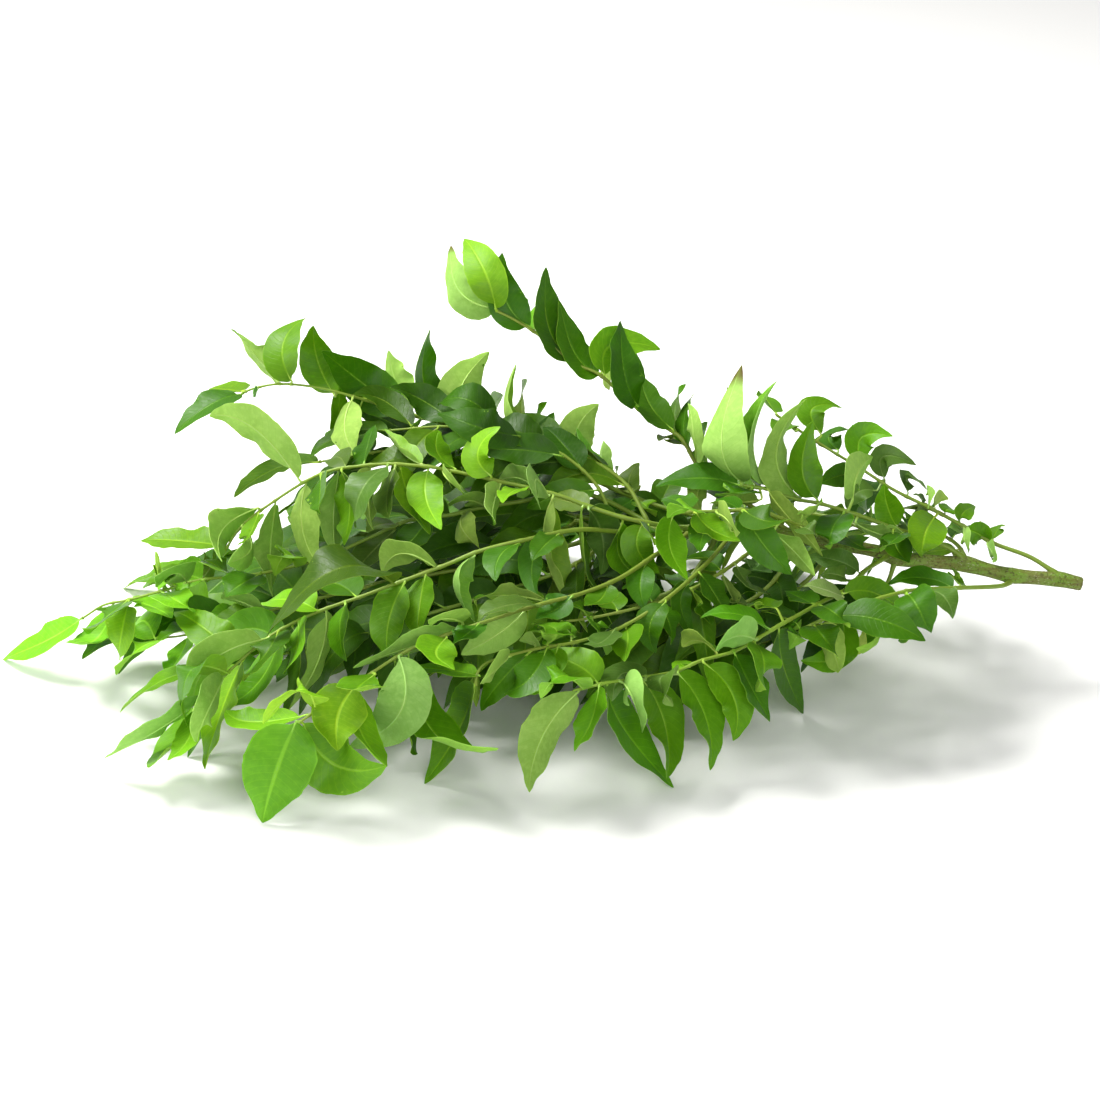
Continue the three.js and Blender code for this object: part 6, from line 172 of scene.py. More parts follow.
        (179.46, -5.91, 54.46), (179, -5.59, 56.86), (176.73, -4.91, 58.69), (174.29, -4.32, 60.3), (171.63, -3.89, 61.59),
        (168.87, -3.55, 62.67), (166.06, -3.26, 63.64), (163.23, -2.98, 64.57), (160.39, -2.72, 65.47), (157.55, -2.46, 66.37),
        (154.72, -2.22, 67.27), (151.89, -1.97, 68.2), (149.07, -1.73, 69.18), (146.28, -1.51, 70.2), (143.48, -1.31, 71.25),
        (140.69, -1.13, 72.29), (137.88, -0.95, 73.28), (135.05, -0.77, 74.24), (132.22, -0.59, 75.18), (129.39, -0.41, 76.11),
        (126.55, -0.24, 77.02), (123.7, -0.08, 77.91), (120.84, 0.06, 78.76), (117.95, 0.15, 79.52), (115.01, 0.16, 80.07),
        (112.06, 0.11, 80.54), (109.16, 0.1, 81.25), (106.29, 0.1, 82.09), (103.45, 0.1, 83.02), (100.67, 0.1, 84.1),
        (98.06, 0.1, 85.55), (95.17, 0.1, 86.27), (92.2, 0.1, 86.6), (89.25, 0.1, 87.08), (86.33, 0.1, 87.68),
    ], [
        (134.99, -0.8, 74.06, 134.12, -3.29, 71.85, 146.93, 0.55, 64.57, 161.49, -10.8, 67.5, 0.44, 0.687, 0.579, 15.7, 10, -0.9, "U", 1.16, 0),
        (150.52, -1.91, 68.83, 149.5, -5.39, 68.68, 150.36, -14.96, 65.31, 153.94, -28.24, 65.61, 0.069, -0.051, 0.996, 13.62, 10, 5.5, "T", 1.06, 0),
        (154.76, -2.28, 67.41, 153.03, -6.43, 68.3, 147.09, -26.85, 74.48, 142.2, -24.64, 69.37, -0.067, 0.186, 0.98, 11.65, 10, -13.5, "T", 1.06, 0),
        (151.94, -2.03, 68.36, 151.8, 1.22, 68.29, 147.77, 1.86, 76.39, 145.5, 0.91, 87.78, -0.257, -0.483, 0.837, 12.76, 10, 13.9, "M", 1.16, 0),
        (157.58, -2.53, 66.47, 157.46, 0.72, 66.45, 157.26, 11.95, 66.29, 155.78, 8.53, 72.01, 0.717, 0.005, 0.697, 10.84, 10, 5.3, "T", 1.06, 0),
        (140.64, -1.15, 72.15, 140.04, 2.07, 72.05, 139.57, 6.47, 72.94, 135.57, -1.78, 80.31, 0.985, 0.122, 0.12, 9.72, 10, -13, "U", 1.16, 0),
        (130.75, -0.53, 75.49, 132.68, -0.51, 82.49, 134.13, 1.52, 92.05, 142.24, 24.94, 89.67, -0.886, 0.394, -0.245, 17.67, 10, 2.5, "U", 1.16, 0),
        (129.34, -0.45, 75.96, 128.6, -3.61, 76.05, 122.16, -27.9, 80.82, 120.53, -31.26, 73.36, -0.164, -0.082, 0.983, 16.43, 10, -5.1, "T", 1.06, 0),
        (133.58, -0.71, 74.53, 130.13, -3.87, 66.14, 134.61, -18.09, 68.14, 142.97, -11.26, 62.21, -0.089, 0.143, 0.986, 15.27, 10, -9.2, "T", 1.06, 0),
        (117.91, 0.02, 79.34, 117.88, 1.15, 80.67, 111.69, 7.55, 92.16, 116.34, 16.5, 109.68, 0.302, -0.842, 0.447, 16.69, 20, 9.5, "M", 1.16, 0),
        (119.36, 0.01, 79.01, 117.7, -3.09, 80.19, 113.71, -23.81, 85.7, 107.37, -25.88, 87.09, -0.666, 0.476, 0.575, 12.39, 10, -10.4, "U", 1.16, 0),
        (109.18, 0.09, 81.33, 109.52, 3.3, 81.42, 100.4, 4.92, 100.55, 111.43, -1.71, 127.93, -0.804, 0.587, -0.098, 20.67, 10, -8.5, "U", 1.16, 0),
        (110.64, 0.07, 81, 109.34, 2.21, 80.15, 107.12, 11.85, 74.67, 102.68, 20.12, 72.36, -0.293, 0.301, 0.908, 10.72, 10, 2.8, "T", 1.06, 0),
        (96.64, 0.1, 86.01, 97.31, -4.73, 86.99, 105.1, -12.28, 78.7, 119.58, -23.5, 66.31, 0.803, 0.588, 0.099, 13.77, 10, -13.2, "U", 1.16, 0),
        (96.64, 0.1, 86.01, 96.94, 3.3, 86.18, 90.34, 0.08, 108.02, 99.51, 6.23, 132.24, -0.922, -0.352, 0.163, 14.5, 42, -8.7, "F", 1.16, 0),
        (93.69, 0.1, 86.49, 93.88, -1.66, 81.63, 83.28, -4.98, 82.2, 72.06, -12.61, 85.17, -0.379, 0.566, 0.732, 16.88, 10, -13.5, "U", 1.16, 0),
        (90.75, 0.1, 86.96, 90.32, -3.11, 86.83, 82.21, -19.81, 92.88, 74.78, -14.33, 89.1, 0.162, 0.224, 0.961, 16.29, 10, 6.4, "T", 1.06, 0),
        (92.22, 0.1, 86.73, 91.86, 3.3, 86.67, 87.41, 27.93, 89.3, 83.72, 28.13, 101.63, 0.835, -0.046, 0.549, 18.04, 10, 9.9, "T", 1.06, 0),
        (86.33, 0.1, 87.68, 86.23, -0.71, 89.63, 77.13, -6.51, 110.82, 86.91, 23.49, 131.59, 0.625, 0.755, -0.2, 22.92, 10, -5.2, "U", 1.16, 0.15),
        (86.33, 0.1, 87.68, 85.05, 2.8, 86.49, 69.07, 5.6, 88.45, 50.33, 5.85, 85.14, -0.327, -0.366, 0.871, 15.34, 10, 13.4, "T", 1.06, 0),
        (86.33, 0.1, 87.68, 83.31, 3.31, 98.53, 82.31, 19.53, 106.6, 80.23, 19.87, 124.07, 0.974, 0.193, -0.12, 19.33, 10, -4.5, "U", 1.16, 0.5),
        (89.27, 0.1, 87.2, 88.27, 0.9, 85.64, 86.6, 2.24, 81.72, 83.74, 2.51, 79.77, -0.363, 0.26, 0.895, 9.52, 10, -5.2, "T", 1.06, 0),
    ]),
    ("leaf_05", 1.2, 0.55, 0.18, [
        (155.4, -6.71, 56.68), (153.34, -3.68, 55.38), (151.84, -1.23, 56.25), (150.38, 1.23, 57.19), (148.9, 3.68, 58.1),
        (147.36, 6.13, 58.89), (145.71, 8.57, 59.5), (143.97, 10.98, 59.88), (142.14, 13.36, 60.07), (140.27, 15.71, 60.14),
        (138.37, 18.04, 60.11), (136.45, 20.34, 60.02), (134.5, 22.63, 59.86), (132.54, 24.89, 59.64), (130.56, 27.14, 59.38),
        (128.55, 29.35, 59.06), (126.52, 31.54, 58.7), (124.47, 33.7, 58.29), (122.4, 35.83, 57.83), (120.32, 37.93, 57.32),
        (118.24, 40.02, 56.75), (116.15, 42.09, 56.13), (114.04, 44.13, 55.48), (111.92, 46.14, 54.79), (109.79, 48.13, 54.07),
        (107.63, 50.09, 53.33), (105.46, 52.02, 52.57), (103.25, 53.91, 51.79), (101.02, 55.77, 51.01), (98.77, 57.58, 50.22),
        (96.48, 59.36, 49.43), (94.17, 61.1, 48.61), (91.84, 62.81, 47.78), (89.5, 64.49, 46.92), (87.14, 66.14, 46.06),
        (84.77, 67.76, 45.18), (82.38, 69.35, 44.3), (79.98, 70.92, 43.4), (77.56, 72.45, 42.5), (75.12, 73.96, 41.59),
        (72.67, 75.44, 40.68), (70.21, 76.9, 39.77), (67.72, 78.32, 38.85), (65.22, 79.7, 37.93), (62.7, 81.04, 37),
        (60.16, 82.34, 36.05), (57.6, 83.6, 35.1), (55.03, 84.83, 34.15), (52.45, 86.03, 33.19), (49.85, 87.19, 32.23),
        (47.24, 88.33, 31.27), (44.62, 89.44, 30.32), (41.98, 90.53, 29.37), (39.34, 91.61, 28.43), (36.68, 92.66, 27.5),
        (34.02, 93.69, 26.57), (31.34, 94.68, 25.63), (28.65, 95.65, 24.7), (25.95, 96.58, 23.77), (23.24, 97.49, 22.85),
        (20.52, 98.38, 21.94), (17.78, 99.24, 21.04), (15.04, 100.08, 20.15), (12.28, 100.9, 19.27), (9.52, 101.7, 18.42),
        (6.73, 102.47, 17.59), (3.93, 103.2, 16.79), (1.11, 103.89, 16.02), (-1.73, 104.53, 15.28), (-4.58, 105.14, 14.56),
        (-7.44, 105.73, 13.85), (-10.31, 106.31, 13.14), (-13.17, 106.89, 12.44), (-16.03, 107.48, 11.73), (-18.88, 108.1, 11),
    ], [
        (142.1, 13.32, 59.96, 140.24, 14, 58.95, 125, 8.88, 57.08, 110.11, 4.41, 45.33, 0.265, 0.459, 0.848, 14.02, 16.3, 13.6, "T", 0.64, 0),
        (134.4, 22.53, 59.57, 135.46, 24.43, 60.68, 143.26, 39.02, 68.87, 148.11, 53.73, 64.95, -0.071, -0.042, 0.997, 15.71, 13.6, -4.3, "T", 0.64, 0),
        (128.51, 29.3, 58.98, 126.67, 28.61, 58.2, 111.32, 22.59, 50.65, 96.2, 19.49, 27.34, -0.112, -0.276, 0.955, 15.05, 15.9, 10.8, "M", 0.64, 0),
        (121.37, 36.88, 57.58, 122.05, 38.69, 56.54, 127.94, 55.61, 47.94, 129.4, 56.21, 28.22, 0.022, 0.457, 0.889, 16.69, 16.6, 9.2, "M", 0.64, 0),
        (115.07, 43.06, 55.72, 112.96, 42.42, 55.43, 96.37, 35.33, 55.1, 80.15, 28.51, 35.26, 0.407, 0.366, 0.837, 14.31, 7.2, -5.3, "T", 0.64, 0),
        (108.65, 49.03, 53.65, 108.72, 52.98, 51.63, 106.54, 56.29, 49.36, 103.51, 71.46, 18.32, -0.221, 0.528, 0.82, 15.18, 16.4, 5.3, "T", 0.64, 0),
        (101.02, 55.77, 51.01, 99.23, 53.29, 50.76, 85.12, 45.77, 45.03, 70.64, 39.3, 23.33, -0.267, -0.337, 0.903, 15.3, 6.6, -2.3, "T", 0.64, 0),
        (92.98, 61.9, 48.17, 92.43, 64.06, 47.87, 86.89, 85.61, 47.04, 79.52, 107.31, 16.22, -0.359, -0.299, 0.884, 18.88, 10.9, 9.8, "M", 0.64, 0),
        (84.72, 67.67, 45.15, 82.97, 65.77, 44.62, 66.38, 57.04, 35.47, 49.7, 57.96, 14.8, -0.252, -0.451, 0.857, 19.05, 8.5, -11.4, "T", 0.64, 0),
        (76.31, 73.15, 42.04, 75.65, 76.39, 40.02, 68.19, 87.36, 29.74, 58.71, 87.14, 10.71, 0.287, 0.401, 0.87, 16.95, 14.7, 4.4, "T", 0.64, 0),
        (68.91, 77.52, 39.3, 66.89, 76.83, 39.16, 45.93, 68.55, 39.74, 24.84, 53.02, 23.06, -0.319, -0.35, 0.881, 18.97, 8.7, -14.4, "T", 0.6, 0),
        (61.34, 81.49, 36.51, 61.8, 85.59, 34.53, 64.91, 109.94, 20.28, 63.38, 107.43, 7.85, 0.009, 0.058, 0.998, 20.67, 6.1, -13.9, "T", 0.64, 0),
        (52.28, 85.65, 33.18, 50.29, 86.74, 32.61, 29.6, 88.6, 33.5, 8.9, 84.5, 17, -0.104, -0.343, 0.934, 18.39, 17.1, -14.7, "M", 0.64, 0),
        (44.51, 89.23, 30.33, 43.55, 93.12, 28.83, 33.07, 108.6, 22.38, 21.19, 121.59, 2.1, -0.343, -0.429, 0.836, 17.79, 16.9, 0.6, "T", 0.6, 0),
        (35.32, 93.09, 27.03, 33.2, 95.05, 26.18, 10.93, 92.87, 27.15, -11.19, 80.75, 23.45, -0.349, -0.461, 0.816, 18.6, 15, -4.9, "T", 0.6, 0),
        (27.28, 96.05, 24.24, 25.7, 99.55, 22.98, 9.34, 111.93, 23.24, -7.68, 107.27, 9.63, -0.187, -0.391, 0.901, 18.07, 11.3, -4.6, "M", 0.64, 0),
        (17.73, 99.15, 21.1, 15.61, 97.03, 22.29, -5.06, 98.07, 25.17, -25.94, 97.99, 13.43, -0.563, -0.331, 0.757, 18.41, 10.2, 3.1, "T", 0.6, 0),
        (9.5, 101.67, 18.44, 7.87, 105.08, 17.04, -7.36, 122.97, 9.88, -23.01, 114.62, 7.21, -0.495, -0.385, 0.779, 18.27, 6.7, -7.9, "M", 0.64, 0),
        (-0.4, 103.99, 15.79, -1.72, 102.49, 14.75, -16.13, 89.06, 4.55, -31.94, 79.85, 1.2, -0.199, -0.444, 0.874, 19.33, 14.6, 10.4, "T", 0.6, 0),
        (-8.93, 105.88, 13.58, -10.29, 106.9, 13.82, -24.14, 121.73, 17.45, -39.4, 138.62, 1.2, -0.385, -0.33, 0.862, 18.59, 16.4, -15.8, "M", 0.64, 0),
        (-18.88, 108.1, 11, -20.31, 108.79, 10.46, -39.15, 108.58, 7.63, -56.09, 110.22, 2.76, 0.14, -0.071, 0.988, 17.2, 10, 0, "M", 0.64, 0),
    ]),
    ("leaf_06", 1.1, 0.55, 0.18, [
        (151.71, -7.36, 58.1), (150.56, -8.74, 56.88), (149.62, -10.47, 54.62), (148.71, -12.22, 52.35), (147.58, -13.87, 50.12),
        (146.05, -15.32, 47.98), (144.05, -16.43, 46.04), (141.79, -17.29, 44.26), (139.38, -17.98, 42.61),
        (136.87, -18.55, 41.06), (134.29, -19.05, 39.61), (131.65, -19.5, 38.24), (128.98, -19.93, 36.94),
        (126.26, -20.3, 35.72), (123.49, -20.6, 34.6), (120.69, -20.86, 33.55), (117.86, -21.09, 32.55), (115.03, -21.3, 31.59),
        (112.18, -21.5, 30.65), (109.33, -21.72, 29.72), (106.49, -21.96, 28.79), (103.64, -22.2, 27.87),
        (100.78, -22.42, 26.97), (97.92, -22.64, 26.08), (95.05, -22.87, 25.22), (92.17, -23.1, 24.38), (89.29, -23.34, 23.58),
        (86.4, -23.59, 22.82), (83.49, -23.87, 22.09), (80.58, -24.17, 21.42), (77.66, -24.48, 20.79), (74.73, -24.82, 20.21),
        (71.8, -25.16, 19.66), (68.87, -25.51, 19.13), (65.93, -25.86, 18.6), (62.99, -26.21, 18.08), (60.06, -26.56, 17.55),
        (57.12, -26.9, 17),
    ], [
        (145.93, -15.24, 48.02, 146.83, -16.92, 46.69, 149.61, -22.63, 42.08, 151.26, -28.07, 34.37, -0.576, -0.339, 0.744, 7.03, 17.1, -8.7, "T", 0.64, 0),
        (138.08, -18.22, 41.9, 136.48, -15.91, 40.32, 121.79, -13.25, 37.79, 106.14, -21.21, 23.86, -0.607, -0.568, 0.557, 15.65, 9.1, -3, "T", 0.64, 0),
        (130.28, -19.68, 37.64, 128.98, -23.48, 38, 119.95, -34.78, 30.89, 109.65, -43.76, 22.74, -0.189, 0.272, 0.943, 16.5, 17.6, -12.5, "T", 0.64, 0),
        (122.02, -20.63, 34.23, 121.26, -16.83, 33.23, 111.9, 4.06, 32.45, 99.05, 0.31, 40.79, -0.548, 0.182, 0.817, 18.87, 16.3, 6.8, "T", 0.64, 0),
        (113.59, -21.42, 31.17, 111.5, -25.01, 32.24, 94.91, -22.45, 24.3, 76.88, -25.1, 8.76, -0.49, -0.067, 0.869, 16.23, 15.4, 1.7, "T", 0.64, 0),
        (103.58, -22.21, 28.05, 102.22, -18.5, 27.15, 86.27, 1.4, 28.26, 68.22, 3.41, 20.29, -0.333, -0.391, 0.858, 17.4, 8, 1.6, "T", 0.64, 0),
        (95.01, -22.88, 25.37, 93.64, -27.75, 26.9, 81.85, -44.79, 28.11, 69.2, -42.88, 1.39, -0.232, -0.209, 0.95, 18.76, 10.9, 5.3, "M", 0.64, 0),
        (86.37, -23.66, 22.98, 84.65, -20.65, 21.11, 66.52, -15.92, 15.7, 47.16, -30.52, 13.52, -0.044, -0.225, 0.973, 18.76, 15.1, 11.3, "T", 0.64, 0),
        (77.6, -24.63, 21.19, 75.66, -27.49, 21.74, 56.31, -37.75, 22.5, 36.18, -45.11, 13.29, 0.124, -0.497, 0.859, 18.49, 16.3, -3, "M", 0.64, 0),
        (67.36, -25.77, 19.09, 65.53, -25.88, 19.83, 48.13, -7.54, 21.11, 29.25, -10.66, 13.65, -0.105, -0.445, 0.889, 18.32, 17.8, 0.4, "M", 0.64, 0),
        (57.12, -26.9, 17, 55.57, -29.03, 17.73, 36.05, -32.34, 14.63, 18.54, -31.44, 1.2, 0.06, -0.172, 0.983, 17.2, 10, 0, "M", 0.64, 0),
    ]),
    ("leaf_07", 1.2, 0.6, 0.03, [
        (147.96, -7.87, 59.49), (146.48, -11.1, 59.76), (144.67, -13.47, 59.83), (142.84, -15.84, 59.9), (141.03, -18.21, 59.96),
        (139.24, -20.61, 59.98), (137.51, -23.05, 59.94), (135.85, -25.53, 59.82), (134.29, -28.07, 59.61),
        (132.78, -30.64, 59.35), (131.27, -33.2, 59.07), (129.73, -35.75, 58.8), (128.11, -38.25, 58.57),
        (126.34, -40.66, 58.43), (124.44, -42.96, 58.37), (122.44, -45.18, 58.38), (120.36, -47.33, 58.42),
        (118.25, -49.45, 58.45), (116.13, -51.55, 58.41), (114.02, -53.66, 58.28), (111.87, -55.73, 58.07),
        (109.67, -57.74, 57.78), (107.42, -59.67, 57.42), (105.09, -61.49, 56.97), (102.69, -63.18, 56.41),
        (100.27, -64.83, 55.8), (97.89, -66.52, 55.18), (95.55, -68.26, 54.53), (93.2, -69.99, 53.86), (90.81, -71.64, 53.14),
        (88.39, -73.2, 52.34), (85.97, -74.71, 51.46), (83.49, -76.16, 50.62), (80.92, -77.53, 49.94), (78.26, -78.79, 49.49),
        (75.52, -79.96, 49.19), (72.75, -81.07, 48.98), (69.99, -82.19, 48.77), (67.24, -83.34, 48.53), (64.56, -84.61, 48.14),
        (62, -86.03, 47.54), (59.48, -87.5, 46.91), (56.84, -88.84, 46.5), (54.1, -90.01, 46.33), (51.31, -91.1, 46.29),
        (48.51, -92.16, 46.32), (45.72, -93.21, 46.37), (42.93, -94.28, 46.41), (40.14, -95.37, 46.49), (37.36, -96.45, 46.6),
        (34.57, -97.53, 46.71), (31.79, -98.61, 46.8), (29, -99.68, 46.85), (26.2, -100.73, 46.78), (23.39, -101.74, 46.54),
        (20.59, -102.74, 46.24), (17.81, -103.8, 46.06), (15.03, -104.9, 45.92),
    ], [
        (135.08, -26.8, 59.67, 133.99, -23.73, 58.72, 125.19, -23.88, 64.01, 113.44, -16.28, 62.73, -0.226, -0.519, 0.825, 11.39, 10, -9.5, "G", 1.06, 0),
        (130.31, -34.36, 58.99, 129.03, -35.26, 59.76, 124.33, -34.76, 62.79, 116.72, -28.57, 60.3, -0.397, 0.05, 0.916, 11.87, 10, -11.8, "G", 1.06, 0),
        (124.29, -42.82, 58.4, 125.59, -46.13, 58.3, 117.82, -49.55, 63.11, 108.85, -49.1, 65.59, 0.696, -0.07, 0.715, 12.94, 10, -7.5, "S", 1.16, 0),
        (125.32, -41.74, 58.41, 126.45, -44.99, 59.41, 139.21, -40.2, 57.24, 153.17, -30.61, 42.51, -0.132, -0.888, 0.441, 12.76, 10, -10.8, "M", 1, 0),
        (115.04, -52.58, 58.29, 115.97, -55.78, 59.02, 119.01, -73.57, 64.97, 125.94, -74.53, 58.79, -0.295, -0.013, 0.955, 13.93, 10, 3.8, "T", 1.06, 0),
        (114.02, -53.66, 58.28, 113.04, -50.49, 57.48, 108.4, -42.91, 56.29, 102.62, -37.48, 57.29, -0.063, 0.203, 0.977, 13.54, 10, 4, "T", 1, 0),
        (102.71, -63.19, 56.34, 101.6, -60.01, 55.31, 96.94, -45.66, 51.73, 90.36, -51.61, 55.55, -0.016, 0.301, 0.953, 14.5, 10, -10.3, "T", 1, 0),
        (100.34, -64.88, 55.71, 97.24, -61.66, 60.92, 92.19, -53.55, 58.3, 86.2, -58.19, 60.57, -0.218, 0.317, 0.923, 13.51, 10, -2.9, "M", 1, 0),
        (97.96, -66.58, 55.08, 98.38, -65.76, 53.29, 101.96, -53.97, 29.89, 112.35, -37.71, 0, 0.783, -0.608, -0.132, 16.65, 12, -10.8, "T", 1, 0),
        (95.58, -68.28, 54.45, 94.16, -68.19, 54.72, 80.45, -67.47, 61.09, 66.6, -65.15, 58.16, -0.056, 0.036, 0.998, 14.81, 10, 1.7, "M", 1, 0),
        (89.57, -72.33, 52.69, 88.05, -75.59, 53.86, 79.61, -83.85, 59.44, 70.62, -97.7, 60.25, -0.665, 0.597, 0.449, 17.68, 10, 11.4, "U", 1, 0),
        (88.34, -73.09, 52.28, 88.21, -76.36, 52.37, 90.64, -94.47, 52, 88.51, -90.36, 38.32, 0.607, -0.241, 0.757, 17.11, 10, -12.1, "M", 1, 0),
        (79.51, -78.03, 49.94, 80.09, -81.33, 49.91, 85.85, -87.84, 39.69, 93.86, -93.2, 25.92, 0.568, -0.263, 0.78, 18.28, 15, 5.1, "T", 1, 0),
        (72.7, -80.99, 49.15, 72.61, -77.91, 49.34, 66.48, -71.12, 51.28, 60.12, -62.67, 44.79, 0.414, 0.486, 0.77, 16.71, 10, -1, "U", 1, 0),
        (67.25, -83.36, 48.52, 67.6, -86.5, 48.69, 79.52, -89.83, 34.46, 78.92, -99.82, 20.94, 0.487, -0.739, 0.465, 16.76, 10, 8.5, "M", 1, 0),
        (63.3, -85.35, 47.83, 61.96, -84.61, 47.13, 59.32, -82.98, 45.67, 55.06, -89.75, 47.81, 0.251, 0.276, 0.928, 9.81, 10, 8.5, "B", 1, 0),
        (56.84, -88.84, 46.5, 57.2, -91.31, 46.3, 67.8, -96.2, 30.21, 70.06, -113.87, 15.63, 0.729, -0.567, 0.383, 18.95, 10, -6.5, "M", 1, 0),
        (56.84, -88.84, 46.5, 56.56, -91.99, 46.58, 49.62, -99.25, 47.83, 54.45, -100.94, 37.19, -0.583, 0.052, 0.811, 18.9, 10, -7, "G", 1, 0),
        (42.92, -94.25, 46.66, 43.31, -93.53, 44.52, 52.18, -92.43, 24.15, 52.67, -117.63, 14.14, 0.599, -0.719, 0.352, 19.06, 10, -3.1, "M", 1, 0),
        (44.31, -93.71, 46.64, 43.4, -96.88, 46.62, 34.83, -93, 47.26, 30.69, -106.07, 42.56, -0.02, 0.171, 0.985, 18.05, 10, -6, "G", 1, 0),
        (33.46, -97.92, 46.77, 35.31, -100.58, 47.2, 38.78, -110.51, 45.65, 43.6, -99.77, 24.88, 0.918, 0.356, -0.175, 18.37, 10, 2.9, "U", 1, 0),
        (28.99, -99.67, 46.82, 28.83, -98.93, 45.01, 35.81, -95.33, 23.91, 55.88, -100.47, 0, 0.804, -0.364, 0.47, 23.03, 12, 3.4, "M", 1, 0),
        (26.2, -100.73, 46.73, 25.59, -103.67, 46.9, 21.99, -116.6, 37.12, 15.35, -123.88, 30.03, -0.718, -0.1, 0.689, 17.65, 10, 6.6, "M", 1, 0),
        (17.82, -103.86, 46.12, 17.21, -103.55, 44.54, 3.67, -105.03, 26.45, -2.18, -121.97, 9.86, -0.499, 0.867, -0.01, 21.36, 10, 8.4, "U", 0.9, 0),
        (26.2, -100.73, 46.73, 25, -98.08, 46.07, 16.27, -93.08, 51.73, 1.26, -81.36, 51.09, -0.174, -0.187, 0.967, 17.93, 10, 1.5, "B", 1, 0),
        (20.62, -102.82, 46.33, 19.22, -105.66, 47.46, 11.05, -119.17, 59.89, 2.56, -120.01, 51.2, 0.197, 0.235, 0.952, 18.56, 10, 0.5, "M", 1, 0),
    ]),
    ("leaf_08", 1.1, 0.6, 0.21, [
        (126.77, -9.28, 64.75), (125.51, -10.83, 65.64), (123.88, -12.69, 67.33), (122.27, -14.57, 69.02),
        (120.65, -16.44, 70.71), (119.01, -18.29, 72.4), (117.31, -20.1, 74.08), (115.52, -21.83, 75.74),
        (113.62, -23.47, 77.38), (111.64, -25.03, 79), (109.59, -26.51, 80.6), (107.47, -27.93, 82.18), (105.31, -29.3, 83.73),
        (103.1, -30.62, 85.27), (100.84, -31.85, 86.81), (98.51, -32.99, 88.31), (96.09, -34.06, 89.7), (93.55, -35.09, 90.92),
        (90.9, -36.06, 91.91), (88.13, -36.93, 92.68), (85.28, -37.65, 93.23), (82.35, -38.18, 93.56), (79.37, -38.49, 93.59),
        (76.39, -38.69, 93.48), (73.4, -38.91, 93.41), (70.42, -39.19, 93.43), (67.43, -39.47, 93.45), (64.45, -39.75, 93.44),
        (61.47, -40.06, 93.38), (58.5, -40.39, 93.23), (55.53, -40.74, 93.06), (54.04, -40.9, 92.98),
    ], [
        (108.38, -27.06, 81.33, 109.5, -30.42, 82.04, 111.1, -37.25, 84.65, 115.14, -38.58, 82.14, -0.433, 0.126, 0.892, 9.9, 10, 13.4, "G", 1.06, 0),
        (100.78, -31.8, 86.74, 98.26, -31.06, 80.02, 106.82, -29.67, 70.81, 114.62, -42.44, 66.01, 0.616, 0.787, 0.048, 12.24, 10, -4.9, "U", 1.16, 0),
        (83.8, -37.87, 93.34, 85.01, -41.15, 94.59, 92.7, -53.76, 95.73, 103.13, -48.12, 94.04, -0.438, -0.082, 0.895, 14.11, 10, -13.2, "T", 1.06, 0),
        (83.8, -37.87, 93.34, 84.55, -40.49, 93.35, 92.61, -48.43, 82.69, 103.97, -52.6, 71.29, 0.012, -0.946, 0.325, 14.82, 12, 8.4, "T", 1.06, 0),
        (73.41, -39.04, 93.38, 74.14, -42.12, 93.67, 77.27, -57.66, 97.94, 81.16, -55.65, 90.01, 0.915, 0.245, 0.322, 14.14, 10, 3.8, "U", 1.16, 0),
        (64.47, -39.9, 93.2, 65.57, -42.07, 93.71, 71.55, -47.85, 89.07, 82.46, -54.95, 87.48, -0.004, -0.022, 1, 15.87, 10, 7.2, "M", 1.16, 0),
        (55.53, -40.76, 93.01, 55.84, -41.96, 92.12, 54.64, -51.51, 82.79, 61.58, -62.89, 73.98, 0.515, -0.575, 0.636, 14.85, 10, 4.1, "M", 1.16, 0),
        (67.45, -39.62, 93.26, 65.88, -42.67, 94.65, 60.28, -53, 101.08, 53.85, -45.72, 94.28, 0.297, 0.211, 0.931, 14.4, 10, 7, "B", 1.06, 0),
        (74.9, -38.9, 93.41, 75.2, -37.99, 91.66, 69.33, -36.98, 84.08, 66.48, -56.26, 83.23, -0.334, -0.119, 0.935, 14.16, 10, -9.7, "T", 1.06, 0),
        (95.96, -33.99, 89.53, 94.75, -33.76, 89.17, 87.57, -35.6, 87.91, 81.32, -39.1, 87.28, 0.166, 0.18, 0.969, 14.17, 10, 5.3, "M", 1.16, 0),
        (62.98, -40.05, 93.17, 61.78, -38.59, 93.6, 58.98, -27.84, 92.44, 52.58, -13.56, 88.31, -0.192, 0.138, 0.972, 13.81, 10, 1.7, "T", 1.06, 0),
        (83.8, -37.87, 93.34, 82.56, -36.64, 93.35, 78.57, -33.94, 94.73, 73.71, -33.41, 95.82, -0.216, 0.185, 0.959, 12.06, 10, -1.5, "T", 1.06, 0),
    ]),
    ("leaf_09", 1.1, 0.55, 0.18, [
        (124.64, -9.1, 64.39), (122.14, -8.44, 59), (120.26, -9.69, 57), (118.43, -11.01, 55), (116.55, -12.25, 53),
        (114.54, -13.25, 51), (112.35, -13.82, 49.01), (110.01, -13.84, 47.12), (107.66, -13.41, 45.29), (105.31, -12.7, 43.55),
        (102.97, -11.82, 41.88), (100.6, -10.84, 40.3), (98.19, -9.83, 38.79), (95.72, -8.85, 37.37), (93.19, -7.93, 36.03),
        (90.59, -7.04, 34.79), (87.97, -6.11, 33.63), (85.32, -5.17, 32.55), (82.65, -4.22, 31.53), (79.96, -3.28, 30.55),
        (77.25, -2.37, 29.61), (74.51, -1.49, 28.7), (71.76, -0.65, 27.82), (68.98, 0.13, 26.96), (66.18, 0.86, 26.12),
        (63.36, 1.56, 25.32), (60.53, 2.23, 24.54), (57.68, 2.87, 23.8), (54.82, 3.49, 23.09), (51.95, 4.08, 22.39),
